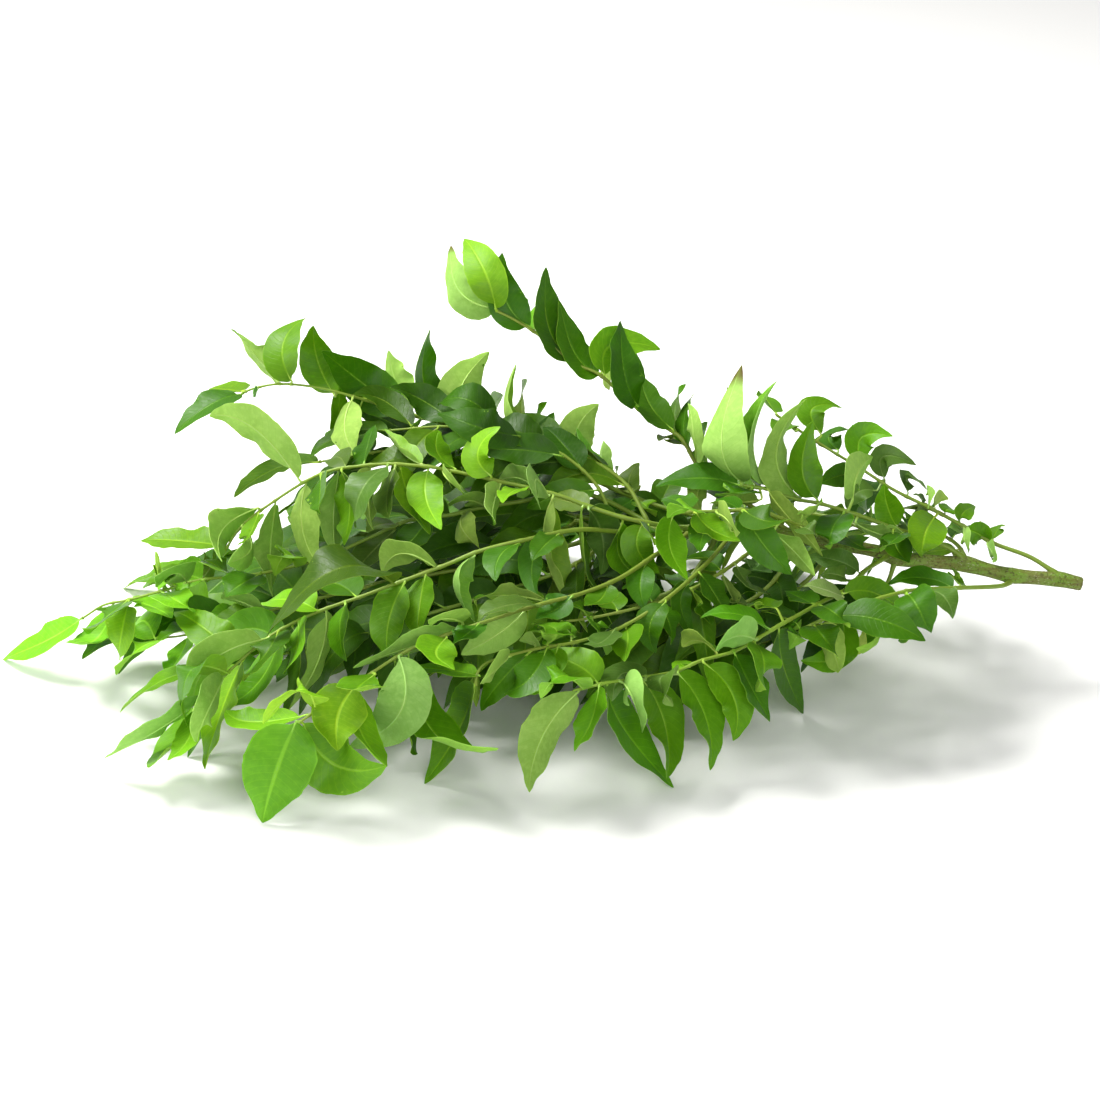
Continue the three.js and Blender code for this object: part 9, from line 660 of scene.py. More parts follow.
        (-22.36, -85.92, 65.57), (-25.11, -87.06, 65.12), (-27.85, -88.2, 64.67), (-30.6, -89.32, 64.19),
        (-33.34, -90.45, 63.69), (-36.07, -91.6, 63.17), (-38.79, -92.76, 62.62), (-41.5, -93.9, 62.02), (-44.21, -95.04, 61.36),
        (-46.87, -96.21, 60.6), (-49.47, -97.46, 59.76), (-52.01, -98.8, 58.88), (-54.48, -100.22, 57.92),
        (-56.91, -101.68, 56.91), (-59.31, -103.16, 55.87), (-61.7, -104.65, 54.81), (-64.11, -106.11, 53.77),
        (-66.53, -107.56, 52.73), (-68.95, -109.01, 51.68), (-71.36, -110.46, 50.62), (-73.76, -111.9, 49.54),
        (-76.16, -113.34, 48.43), (-78.54, -114.78, 47.29), (-80.91, -116.21, 46.12), (-83.27, -117.63, 44.92),
        (-85.62, -119.06, 43.7), (-87.97, -120.48, 42.49), (-90.33, -121.9, 41.28),
    ], [
        (6.81, -70.67, 67.84, 5.36, -66.23, 66.14, -9.72, -54.35, 63.18, -24.54, -59.14, 64.16, 0.227, 0.689, 0.688, 16.4, 10, -9.4, "U", 1, 0),
        (2.89, -72.89, 67.67, 1.5, -76, 69.25, -11.25, -86.71, 74.05, -22.55, -92.62, 70.83, 0.074, 0.138, 0.988, 16.72, 10, 7.6, "G", 1, 0),
        (15.92, -65.44, 68.23, 14.7, -68.24, 68.77, 8.41, -71.97, 65.07, 0.87, -77.17, 64.53, 0.291, -0.012, 0.957, 14.75, 10, 5.8, "T", 1, 0),
        (-2.35, -75.83, 67.46, -3.5, -75.11, 66.58, -14.17, -82.35, 59.58, -28.88, -83.81, 51.44, -0.489, 0.839, -0.24, 16.6, 10, -1.4, "U", 1, 0),
        (-21.04, -85.09, 65.44, -22.07, -88.51, 66.51, -25.99, -97.65, 67.22, -31.36, -102.01, 65.48, -0.056, 0.215, 0.975, 14.21, 10, -7.6, "T", 1, 0),
        (-26.5, -87.44, 64.51, -27.82, -86.86, 64.03, -44.86, -88.04, 58.45, -70.63, -106.91, 57.5, -0.346, 0.708, 0.616, 21.88, 10, 4.9, "U", 1, 0),
        (-27.86, -88.02, 64.27, -28.08, -91.37, 69.34, -33.94, -101.88, 76.27, -40.35, -98.22, 71.86, -0.303, 0.506, 0.808, 15.3, 10, 11.4, "U", 1, 0),
        (-34.68, -90.95, 63.1, -34.26, -92.48, 62.7, -37.93, -105.33, 61.93, -30.23, -116.35, 61.9, 0.32, 0.061, 0.945, 17.38, 10, 8.9, "B", 1, 0),
        (-51.85, -99, 58.7, -52.54, -101.96, 59.15, -51.96, -114.08, 41.5, -73.2, -95.49, 15.87, 0.027, 0.939, -0.344, 21.59, 10, 11.1, "U", 1, 0),
        (-49.28, -97.71, 59.56, -49.27, -96.4, 57.83, -38.37, -107.77, 27.93, -13.08, -138.62, 39.4, 0.564, -0.19, 0.804, 23.59, 10, -9.5, "M", 1, 0),
        (-54.42, -100.3, 57.85, -54.31, -99.46, 56.02, -49.63, -101.1, 28.8, -47.3, -112.73, 23.04, 0.967, -0.126, 0.221, 17.17, 10, -7.6, "T", 0.94, 0),
        (-62.92, -105.32, 54.26, -61.69, -108.53, 54.92, -67.45, -122.9, 55.76, -56.78, -120.22, 56.96, 0.086, 0.358, 0.93, 17.66, 10, -10.8, "M", 1, 0),
        (-68.94, -108.97, 51.63, -69.12, -112.16, 51.84, -75.64, -120.53, 43.61, -75.09, -133.44, 35.26, 0.178, -0.576, 0.798, 22.58, 10, -13.5, "B", 1, 0),
        (-71.35, -110.43, 50.57, -70.85, -109.71, 48.85, -66.82, -116.89, 32.86, -55.76, -137.66, 31.02, 0.694, -0.175, 0.698, 19.31, 10, -3.9, "B", 1, 0),
        (-83.24, -117.62, 44.84, -84.33, -120.77, 46.21, -89.28, -128.33, 58.59, -105.08, -121.46, 41.04, 0.2, 0.159, 0.967, 18.42, 10, -1.3, "B", 1, 0),
        (-90.33, -121.9, 41.28, -91.83, -122.37, 41.53, -99.77, -128.53, 22.88, -106.05, -129.06, 0, -0.032, -0.988, 0.151, 28.47, -10, 8.6, "B", 1, 0),
        (-90.33, -121.9, 41.28, -89.19, -121.17, 40.23, -77.63, -118.18, 20.25, -56.95, -130.65, 26.7, 0.234, -0.889, 0.394, 24.54, 10, 1, "B", 1, 0),
        (-86.78, -119.76, 43.06, -88.42, -116.63, 41.53, -110.95, -110.27, 35.05, -120.57, -106.28, 38.25, -0.192, -0.015, 0.981, 16.9, 10, -6, "B", 1.16, 0),
        (30.54, -55.01, 69.25, 29.71, -56.53, 68.79, 26.4, -66.74, 66.96, 20.26, -79.49, 71.4, 0.021, 0.096, 0.995, 12.77, 10, -5.4, "T", 1.06, 0),
        (44.99, -39.97, 71.12, 45.16, -41.34, 70.22, 42.79, -51.48, 66.28, 44.69, -59.26, 58.85, -0.022, -0.601, 0.799, 11.78, 10, 2.1, "T", 1.06, 0),
    ]),
    ("leaf_19", 1.3, 0.55, 0.09, [
        (55.87, -6.9, 69.72), (55.42, -6.76, 69.4), (53.56, -4.4, 69.38), (51.75, -2.01, 69.33), (49.9, 0.35, 69.31),
        (47.95, 2.63, 69.37), (45.85, 4.75, 69.6), (43.55, 6.61, 70.05), (41.13, 8.25, 70.74), (38.65, 9.7, 71.58),
        (36.11, 11, 72.52), (33.52, 12.14, 73.5), (30.85, 13.13, 74.46), (28.11, 13.94, 75.34), (25.28, 14.51, 76.14),
        (22.4, 14.8, 76.95), (19.51, 14.85, 77.72), (16.59, 14.73, 78.4), (13.65, 14.46, 78.93), (10.69, 14.1, 79.2),
        (7.76, 13.51, 79.01), (4.98, 12.62, 78.34), (2.29, 11.6, 77.48), (-0.45, 10.65, 76.73), (-3.31, 9.88, 76.27),
        (-6.22, 9.23, 75.98), (-9.15, 8.62, 75.77), (-12.08, 8.03, 75.59), (-15.02, 7.45, 75.41), (-17.95, 6.84, 75.22),
        (-20.87, 6.19, 74.99), (-23.76, 5.46, 74.66), (-26.62, 4.66, 74.25), (-29.46, 3.81, 73.8), (-32.31, 2.96, 73.4),
        (-35.18, 2.17, 73.1), (-38.09, 1.43, 72.98), (-41, 0.72, 73.02), (-43.92, 0.03, 73.09), (-46.84, -0.66, 73.1),
        (-49.75, -1.35, 72.92), (-52.63, -2.05, 72.46), (-55.45, -2.73, 71.7), (-58.2, -3.4, 70.73), (-60.92, -4.07, 69.65),
        (-63.61, -4.73, 68.51), (-66.31, -5.41, 67.38), (-69.03, -6.1, 66.34), (-71.75, -6.82, 65.3), (-74.46, -7.56, 64.24),
        (-77.17, -8.3, 63.2), (-79.9, -9.04, 62.21), (-82.66, -9.77, 61.29), (-85.45, -10.53, 60.47), (-88.23, -11.38, 59.75),
        (-91.03, -12.23, 59.08), (-93.86, -12.99, 58.43), (-96.72, -13.57, 57.76), (-99.61, -13.9, 57.04),
        (-102.51, -13.92, 56.27), (-105.38, -13.72, 55.45), (-108.25, -13.38, 54.62), (-111.11, -12.96, 53.82),
        (-113.97, -12.53, 53.05), (-116.86, -12.13, 52.35), (-119.78, -11.81, 51.73), (-122.72, -11.53, 51.23),
        (-125.68, -11.26, 50.82), (-128.64, -11, 50.44), (-131.61, -10.73, 50.07), (-134.57, -10.46, 49.67),
        (-137.51, -10.17, 49.18), (-140.43, -9.86, 48.55), (-143.29, -9.54, 47.73), (-146.11, -9.2, 46.75),
        (-148.87, -8.85, 45.64), (-151.61, -8.46, 44.49), (-154.36, -8.04, 43.37), (-157.13, -7.59, 42.32),
        (-159.9, -7.1, 41.27), (-162.66, -6.59, 40.21), (-165.42, -6.07, 39.15), (-168.18, -5.53, 38.11), (-170.95, -5.01, 37.1),
        (-173.76, -4.48, 36.19), (-176.62, -3.95, 35.45), (-179.46, -3.41, 34.67), (-182.18, -2.88, 33.53),
        (-184.69, -2.37, 31.97), (-187.04, -1.88, 30.18), (-189.33, -1.39, 28.31), (-191.66, -0.9, 26.48),
    ], [
        (-19.41, 6.5, 75.09, -20.81, 3.32, 76.47, -27.67, -3.71, 82.55, -35.92, 5.17, 75.82, -0.384, 0.574, 0.723, 13.29, 10, 6.2, "U", 1, 0),
        (-15.01, 7.42, 75.41, -14.58, 8.65, 77.02, -21.08, 18.69, 76.71, -30.79, 32.55, 71.5, -0.154, 0.122, 0.98, 14.02, 10, -2.7, "T", 1, 0),
        (-30.89, 3.37, 73.66, -30.1, 0.18, 73.63, -29.55, -15.39, 74.18, -22.16, -16.52, 66.5, 0.784, 0.351, -0.513, 13.97, 10, 9.2, "U", 1, 0),
        (-56.71, -3.1, 70.93, -58.11, -6.27, 72.46, -62.88, -10.11, 74.5, -68.75, -23, 77.67, 0.238, 0.244, 0.94, 13.79, 10, -13.1, "G", 1, 0),
        (-59.44, -3.8, 69.91, -58.35, -2.94, 68.47, -67.77, -9.86, 61.56, -75.61, -33.17, 60.68, -0.147, -0.454, 0.879, 15.32, 10, -13.4, "G", 1, 0),
        (-43.91, 0.06, 72.78, -44.89, -3.18, 73.48, -50.81, -13.61, 68.81, -58.62, -24.34, 68.32, -0.115, -0.052, 0.992, 15.88, 10, -10.6, "T", 1, 0),
        (-98.17, -13.67, 57.39, -99.27, -16.95, 58.37, -102.65, -25.1, 67.31, -107.56, -20.5, 56.01, 0.289, 0.23, 0.929, 16.69, 10, -8, "B", 1, 0),
        (-85.47, -10.6, 60.64, -86.95, -9.33, 60.3, -94.55, 1.59, 57.14, -104.27, 16.67, 52.46, -0.239, 0.131, 0.962, 16.57, 10, 2.4, "M", 1, 0),
        (-114, -12.41, 53.19, -114.9, -15.7, 53.69, -121.3, -29.15, 55.56, -127.11, -34.47, 52.65, 0.126, 0.038, 0.991, 17.51, 10, -3.4, "T", 1.16, 0),
        (-125.7, -11.27, 50.93, -127.17, -9.41, 50.64, -133.63, -8.61, 54.98, -140.42, -3.56, 54.91, -0.006, 0.193, 0.981, 15.63, 10, -3.1, "M", 1.16, 0),
        (-138.95, -10.01, 48.8, -138.78, -6.85, 48.9, -136.2, 6.82, 50.03, -134.15, -0.67, 60.51, -0.987, 0.098, -0.125, 15.4, 10, -7.7, "U", 1.16, 0),
        (-137.51, -10.17, 49.18, -138.86, -10.94, 49.21, -149.13, -4.13, 47.28, -157.91, -9.79, 43.94, -0.685, -0.117, 0.719, 19.24, 10, -6.1, "B", 1.16, 0),
        (-155.75, -7.57, 42.96, -156.37, -4.65, 42.92, -160.86, 8.5, 43.61, -158.5, 1.22, 56.39, 0.918, 0.115, 0.38, 16.34, 10, 5, "B", 1.16, 0),
        (-144.21, -9.31, 47.26, -145.46, -12.74, 48.8, -148.92, -20.75, 57.04, -158.92, -10.85, 46.32, -0.509, 0.484, 0.712, 16.95, 10, -5.7, "U", 1.16, 0),
        (-170.99, -5, 37.23, -169.72, -4.24, 36.14, -162.39, -4.7, 34, -151.17, -20.98, 36.84, 0.033, 0.223, 0.974, 17.7, 10, 6, "B", 1.16, 0),
        (-170.99, -5, 37.23, -171.68, -8.17, 37.61, -178.85, -22.78, 37.27, -188.15, -11.79, 25.27, -0.324, 0.116, 0.939, 18.9, 10, 3.2, "T", 1.16, 0),
        (-170.99, -5, 37.23, -170.86, -8.17, 37.03, -172.67, -19.37, 29.05, -175.23, -18.65, 15.55, -0.413, -0.398, 0.819, 17.13, 10, -8.9, "B", 1.16, 0),
        (-178.03, -3.68, 35.03, -178.29, -2.92, 33.13, -185.85, -9.24, 20.23, -194.29, -31.27, 31.28, -0.167, -0.009, 0.986, 18.81, 10, 5.8, "B", 1.16, 0),
        (-191.66, -0.9, 26.48, -193.16, -0.15, 25.38, -208.2, -0.34, 15.28, -230.59, 12.78, 0, -0.622, -0.297, 0.724, 17.2, 10, 7.8, "B", 1.16, 0),
        (-157.13, -7.34, 42.42, -155.47, -10.76, 43.03, -147.72, -34.51, 51.3, -139.08, -36.6, 46.83, -0.057, 0.112, 0.992, 16.64, 10, -10.3, "B", 1.16, 0),
    ]),
    ("leaf_20", 1.1, 0.55, 0.18, [
        (47.79, -5.58, 69.51), (46.46, -2.8, 73.76), (45.24, -0.54, 75.3), (44.1, 1.74, 76.87), (42.94, 4.02, 78.42),
        (41.71, 6.27, 79.96), (40.32, 8.46, 81.47), (38.68, 10.51, 82.89), (36.77, 12.4, 84.21), (34.65, 14.12, 85.44),
        (32.4, 15.71, 86.6), (30.04, 17.19, 87.69), (27.58, 18.57, 88.71), (25.04, 19.84, 89.66), (22.44, 21.03, 90.53),
        (19.76, 22.12, 91.31), (17.03, 23.13, 92.02), (14.24, 24.01, 92.62), (11.39, 24.78, 93.14), (8.51, 25.45, 93.58),
        (5.59, 26.04, 93.95), (2.66, 26.56, 94.26), (-0.28, 27.01, 94.51), (-3.24, 27.42, 94.72), (-6.21, 27.79, 94.88),
        (-9.18, 28.13, 95.01), (-12.16, 28.41, 95.07), (-15.15, 28.63, 95.08), (-18.13, 28.8, 95.03), (-21.12, 28.92, 94.94),
        (-24.11, 29, 94.81), (-27.1, 29.05, 94.65), (-30.09, 29.08, 94.47), (-33.08, 29.09, 94.27), (-36.06, 29.1, 94.06),
        (-39.05, 29.09, 93.84), (-42.03, 29.05, 93.59), (-45.01, 28.98, 93.31), (-47.99, 28.89, 93.01), (-50.97, 28.78, 92.69),
        (-53.94, 28.66, 92.35), (-56.91, 28.52, 92), (-59.87, 28.37, 91.64), (-62.84, 28.21, 91.26), (-65.8, 28.04, 90.88),
        (-68.76, 27.86, 90.47), (-71.72, 27.65, 90.04), (-74.67, 27.43, 89.59), (-77.62, 27.19, 89.12), (-80.56, 26.94, 88.65),
        (-83.51, 26.7, 88.17), (-86.46, 26.45, 87.7), (-89.4, 26.21, 87.23), (-90.88, 26.1, 87),
    ], [
        (38.38, 10.33, 82.78, 36.53, 11.2, 82.99, 19.92, 13.55, 86.94, 4.02, 3.68, 82.68, 0.275, -0.48, 0.833, 13.54, 11.4, -12.3, "M", 0.64, 0),
        (31.18, 16.41, 87.12, 30.25, 20.43, 86.39, 22.47, 26.23, 90.54, 13.79, 27.66, 94.01, 0.477, 0.308, 0.823, 13.35, 12.6, -6.7, "T", 0.64, 0),
        (22.44, 21.03, 90.53, 20.26, 18.69, 91.09, 1.28, 20.96, 88.48, -17.84, 19.21, 88.41, 0.13, -0.513, 0.849, 16.03, 13.9, 15.2, "T", 0.64, 0),
        (12.79, 24.33, 92.83, 11.29, 27.77, 92.58, -2.03, 45.34, 94.13, -16.08, 39.89, 97.54, -0.142, -0.514, 0.846, 16.43, 6.2, 7.9, "M", 0.64, 0),
        (2.61, 26.32, 94.03, 1.06, 23.13, 94.61, -13.39, 13.04, 88.31, -28.96, 5.14, 76.76, -0.152, -0.423, 0.893, 17.05, 7.3, 16.3, "M", 0.64, 0),
        (-7.72, 27.84, 94.82, -9.12, 30.82, 94.27, -27.03, 53.37, 97.18, -42.16, 75.77, 85.23, -0.38, -0.7, 0.604, 8.8, 6.5, 14.3, "T", 0.64, 0),
        (-18.14, 28.59, 94.83, -19.59, 27.19, 94.43, -33.3, 29.43, 80.94, -47.74, 11.73, 71.49, -0.006, -0.183, 0.983, 16.42, 15.6, -15.3, "M", 0.64, 0),
        (-30.09, 29.08, 94.77, -32.04, 32.79, 95.02, -44.84, 47.07, 92.67, -58.83, 55.67, 82.09, -0.186, -0.079, 0.979, 15.74, 10.5, -0.7, "T", 0.64, 0),
        (-39.03, 28.88, 93.63, -40.8, 24.74, 95.07, -58.44, 14.98, 93.02, -77.93, 20.71, 85.06, 0.258, -0.172, 0.951, 15.84, 13.3, 11.5, "M", 0.64, 0),
        (-47.97, 28.68, 92.8, -49.62, 32.51, 92.65, -63.82, 49.24, 96.27, -76.99, 52.25, 98.78, -0.693, -0.652, 0.306, 12.43, 7.5, -15.5, "T", 0.64, 0),
        (-58.39, 28.44, 91.82, -59.97, 26.13, 91.38, -76.67, 24.05, 81.47, -93.68, 9.78, 73.41, -0.474, -0.183, 0.861, 18.24, 17.1, -11.4, "T", 0.64, 0),
        (-68.73, 27.7, 90.29, -70.05, 31.72, 89.33, -80.21, 52.17, 87.39, -90.34, 48.74, 90.24, -0.027, 0.047, 0.999, 14.99, 14.4, -0.8, "M", 0.64, 0),
        (-77.59, 27.06, 88.97, -79.08, 23.9, 89.18, -93.47, 11.25, 81.27, -109.95, 10.34, 67.95, -0.426, 0.166, 0.889, 16.9, 11.1, 4.3, "T", 0.64, 0),
        (-90.88, 26.1, 87, -92.52, 27.99, 85.9, -111.76, 31.63, 80.71, -126.52, 10.68, 77.22, -0.123, -0.028, 0.992, 16.34, 10, 0, "M", 0.64, 0),
    ]),
    ("leaf_21", 1.3, 0.55, 0.18, [
        (43.98, -5.41, 68.28), (43.12, -6.98, 68.16), (41.45, -9.13, 69.4), (39.8, -11.3, 70.67), (38.16, -13.46, 71.93),
        (36.5, -15.62, 73.18), (34.78, -17.75, 74.4), (33, -19.85, 75.59), (31.11, -21.89, 76.71), (29.13, -23.86, 77.79),
        (27.09, -25.78, 78.86), (24.97, -27.64, 79.89), (22.77, -29.44, 80.83), (20.48, -31.19, 81.66), (18.1, -32.89, 82.34),
        (15.64, -34.53, 82.84), (13.12, -36.11, 83.18), (10.55, -37.63, 83.39), (7.93, -39.09, 83.49), (5.28, -40.49, 83.5),
        (2.59, -41.82, 83.45), (-0.13, -43.07, 83.35), (-2.89, -44.23, 83.21), (-5.69, -45.27, 83), (-8.54, -46.18, 82.73),
        (-11.4, -47.01, 82.39), (-14.26, -47.79, 81.99), (-17.13, -48.56, 81.55), (-19.97, -49.36, 81.05),
        (-22.78, -50.24, 80.49), (-25.55, -51.16, 79.81), (-28.28, -52.1, 79.01), (-30.99, -53.05, 78.14),
        (-33.7, -53.98, 77.26), (-36.44, -54.87, 76.43), (-39.21, -55.72, 75.65), (-41.99, -56.56, 74.89),
        (-44.77, -57.38, 74.13), (-47.55, -58.18, 73.37), (-50.34, -58.97, 72.61), (-53.13, -59.75, 71.83),
        (-55.92, -60.49, 71.02), (-58.71, -61.21, 70.19), (-61.5, -61.9, 69.34), (-64.3, -62.59, 68.49), (-67.09, -63.27, 67.66),
        (-69.89, -63.97, 66.85), (-72.71, -64.66, 66.09), (-75.54, -65.34, 65.37), (-78.37, -66.03, 64.66),
        (-81.19, -66.74, 63.92), (-83.98, -67.47, 63.12), (-86.74, -68.25, 62.24), (-89.47, -69.06, 61.31),
        (-92.19, -69.89, 60.35), (-94.88, -70.74, 59.34), (-97.55, -71.61, 58.29), (-100.19, -72.5, 57.17),
        (-102.77, -73.41, 55.96), (-105.27, -74.38, 54.61), (-107.66, -75.39, 53.12), (-109.98, -76.38, 51.5),
        (-112.29, -77.35, 49.85), (-114.55, -78.31, 48.13), (-116.79, -79.26, 46.38), (-119, -80.2, 44.58),
        (-121.19, -81.12, 42.75), (-123.37, -81.99, 40.89), (-125.52, -82.82, 38.98), (-127.65, -83.61, 37.02),
        (-129.76, -84.38, 35.03), (-131.86, -85.13, 33.03), (-133.97, -85.9, 31.05),
    ], [
        (-37.95, -55.07, 76.22, -39.27, -54.1, 75.31, -53.49, -43.95, 77.04, -62.62, -29.94, 61.41, 0.377, 0.708, 0.597, 16.95, 10, 5.5, "U", 1, 0),
        (-24.1, -50.79, 79.93, -24.08, -51.89, 79.18, -32.12, -58.33, 70.46, -23.27, -65.75, 56.67, 0.905, -0.368, 0.212, 15.01, 42, 5.1, "F", 1, 0),
        (-43.47, -56.78, 74.62, -43.5, -58.17, 73.54, -45.54, -67.16, 64.94, -46, -79.89, 56.57, -0.605, -0.425, 0.673, 16.04, 10, -4.4, "M", 1, 0),
        (-51.74, -59.36, 72.22, -51.97, -60.96, 71.46, -57.94, -69.49, 59.41, -58.03, -81.1, 48.73, -0.408, -0.624, 0.667, 17.12, 10, -0.5, "M", 1, 0),
        (-54.54, -60.07, 71.43, -55.77, -61.32, 71.41, -77.99, -81.27, 87.11, -105.7, -82.23, 58.63, -0.24, -0.162, 0.957, 29.09, 10, 12.2, "M", 0.45, 0),
        (-5.72, -45.17, 82.95, -6.45, -46.47, 82.25, -13.61, -56.37, 81.51, -15.42, -70.04, 77.4, -0.311, -0.077, 0.947, 14.52, 10, -3.2, "T", 1, 0),
        (10.52, -37.59, 83.3, 9.54, -39.71, 83.24, 4.41, -47.97, 82.47, -0.78, -58.34, 80.67, 0.059, -0.104, 0.993, 12.36, 10, 12, "T", 1, 0),
        (3.89, -41.05, 83.4, 3.75, -41.65, 82.16, -0.92, -37.5, 68.62, 1.16, -51.7, 61, -0.521, -0.665, 0.536, 12.87, 10, 8.4, "T", 1, 0),
        (-82.58, -67.12, 63.52, -83.2, -66.73, 61.91, -87.59, -71.55, 40.26, -101.97, -72.97, 17.38, -0.823, 0.527, 0.211, 21.75, 10, -1.4, "U", 1, 0),
        (-75.57, -65.36, 65.49, -75.35, -68.52, 65.36, -76.9, -79.56, 59.96, -74.75, -87.25, 49.64, -0.867, -0.24, 0.436, 18.11, 10, 8.6, "M", 1, 0),
        (-93.48, -70.37, 59.74, -93.73, -73.48, 59.93, -93.54, -91.89, 57.31, -99.34, -84.36, 43.7, -0.793, -0.07, 0.605, 19.15, 10, -9.7, "B", 1, 0),
        (-96.19, -71.2, 58.77, -96.5, -70.41, 56.9, -92.86, -85.3, 45.08, -100.09, -102.24, 28.08, -0.904, -0.364, 0.224, 19.63, 10, 3.6, "T", 0.94, 0),
        (-105.27, -74.38, 54.61, -106.22, -75.68, 54.22, -127.27, -84.78, 49.26, -136.73, -83.44, 28.84, -0.461, 0.867, 0.189, 19.99, 10, 9.3, "U", 1.16, 0),
        (-101.41, -73, 56.45, -102.05, -76.11, 56.9, -105.74, -92.69, 55.51, -115.6, -86.03, 40.98, -0.423, -0.073, 0.903, 18.21, 10, 12.9, "T", 0.94, 0),
        (-100.12, -72.54, 57.07, -101.13, -71.74, 55.54, -108.95, -77.01, 37.21, -123.12, -80.51, 26.39, -0.65, -0.415, 0.636, 17.76, 10, 0.7, "M", 1, 0),
        (-115.64, -78.75, 47.2, -116.3, -78.03, 45.41, -124.83, -83.68, 26.26, -130.87, -102.82, 9.94, -0.812, -0.406, 0.419, 21.41, 10, 4, "M", 1.16, 0),
        (-123.37, -81.99, 40.89, -123.65, -85.14, 41.09, -127.39, -111.67, 40.22, -132.42, -113.77, 28.51, -0.92, 0.379, -0.103, 18.37, 10, 0.3, "U", 1.16, 0),
        (-121.16, -81.07, 42.69, -121.75, -84.14, 43.07, -134.79, -99.12, 51.3, -137.86, -100.06, 26.9, -0.667, -0.247, 0.703, 17.55, 10, 0.1, "T", 1.16, 0),
        (-131.85, -85.12, 33.02, -132.65, -88.62, 34.04, -148.13, -97.31, 25.43, -172.3, -90.22, 7.98, -0.532, 0.642, 0.552, 19.09, 10, 10.9, "U", 1.16, 0),
        (-133.97, -85.9, 31.05, -134.99, -85.17, 29.42, -144.52, -91.88, 14.81, -150.77, -118.12, 19.77, -0.587, -0.108, 0.802, 17.95, 10, -0.7, "M", 1.16, 0),
        (-133.97, -85.9, 31.05, -134.47, -87.91, 30.74, -136.32, -104.73, 24.05, -144.3, -110.23, 18.09, -0.592, -0.126, 0.796, 17.26, 10, -6.9, "B", 1.16, 0),
        (-85.34, -67.89, 62.64, -86.68, -68.63, 63.25, -98.09, -59.93, 63.65, -111.87, -35.85, 50.58, -0.274, 0.086, 0.958, 19.37, 10, -5.2, "B", 1, 0),
        (-69.96, -63.95, 67.08, -71.48, -60.79, 65.59, -82.87, -45.91, 64.96, -95.26, -44.03, 62.71, -0.209, 0.077, 0.975, 19.12, 10, 2.7, "T", 1, 0),
    ]),
    ("leaf_22", 1.2, 0.55, 0.18, [
        (38, -4.09, 67.88), (36.04, -1.89, 69.81), (33.9, 0.18, 69.43), (31.78, 2.26, 69.05), (29.62, 4.3, 68.68),
        (27.39, 6.27, 68.32), (25.07, 8.13, 67.99), (22.71, 9.95, 67.73), (20.32, 11.74, 67.51), (17.89, 13.49, 67.31),
        (15.43, 15.18, 67.1), (12.92, 16.79, 66.83), (10.36, 18.32, 66.51), (7.76, 19.75, 66.11), (5.13, 21.1, 65.65),
        (2.46, 22.37, 65.17), (-0.23, 23.58, 64.67), (-2.94, 24.76, 64.14), (-5.65, 25.9, 63.6), (-8.37, 27.02, 63.03),
        (-11.09, 28.12, 62.43), (-13.81, 29.22, 61.8), (-16.51, 30.31, 61.14), (-19.21, 31.41, 60.45), (-21.9, 32.52, 59.71),
        (-24.57, 33.62, 58.93), (-27.23, 34.71, 58.1), (-29.89, 35.8, 57.24), (-32.54, 36.87, 56.35), (-35.19, 37.94, 55.44),
        (-37.83, 39, 54.52), (-40.48, 40.05, 53.59), (-43.13, 41.1, 52.66), (-45.78, 42.13, 51.74), (-48.44, 43.16, 50.82),
        (-51.11, 44.18, 49.92), (-53.78, 45.2, 49.04), (-56.46, 46.21, 48.15), (-59.14, 47.23, 47.27), (-61.82, 48.23, 46.39),
        (-64.5, 49.23, 45.51), (-67.19, 50.22, 44.63), (-69.87, 51.2, 43.74), (-72.56, 52.17, 42.85), (-75.25, 53.13, 41.95),
        (-77.95, 54.07, 41.04), (-80.64, 55, 40.12), (-83.34, 55.91, 39.19), (-86.04, 56.81, 38.24), (-88.73, 57.69, 37.28),
        (-91.43, 58.55, 36.31), (-94.13, 59.4, 35.32), (-96.83, 60.24, 34.33), (-99.53, 61.07, 33.34), (-102.23, 61.88, 32.34),
        (-104.94, 62.69, 31.34), (-107.65, 63.48, 30.34), (-110.36, 64.26, 29.34), (-113.09, 65.03, 28.36),
        (-115.81, 65.8, 27.38), (-118.54, 66.55, 26.41), (-121.28, 67.28, 25.45), (-124.03, 68, 24.5), (-126.78, 68.7, 23.55),
        (-129.54, 69.39, 22.6), (-132.3, 70.06, 21.66), (-135.07, 70.74, 20.71), (-137.83, 71.4, 19.77), (-140.59, 72.07, 18.83),
        (-143.36, 72.74, 17.89), (-146.12, 73.41, 16.95), (-148.88, 74.1, 16),
    ], [
        (17.76, 13.31, 67.31, 15.69, 11.31, 68.04, -1, 12.96, 67.51, -17.5, 9.41, 53.8, -0.085, -0.572, 0.816, 14.84, 10.1, 9.7, "M", 0.64, 0),
        (10.3, 18.16, 66.41, 9.71, 22.33, 66.2, 4.5, 41.56, 71.76, -2.34, 49.31, 61.04, -0.38, 0.026, 0.924, 15, 17.8, -4.7, "T", 0.64, 0),
        (2.43, 22.3, 65.13, 0.28, 20.83, 65.8, -18.94, 24.02, 62.91, -37.76, 11.14, 65.2, -0.191, -0.386, 0.903, 17.21, 15, 1.1, "M", 0.64, 0),
        (-7.01, 26.35, 63.11, -8.27, 29.45, 62.7, -20.16, 48.5, 62.13, -32.58, 38.11, 53.42, -0.446, -0.373, 0.814, 16.97, 13.3, -4.6, "T", 0.64, 0),
        (-16.49, 30.28, 60.99, -18.33, 29.92, 59.95, -36.05, 31.18, 47.14, -54.94, 41.84, 11.85, -0.14, -0.364, 0.921, 17.74, 11.1, -1.7, "M", 0.64, 0),
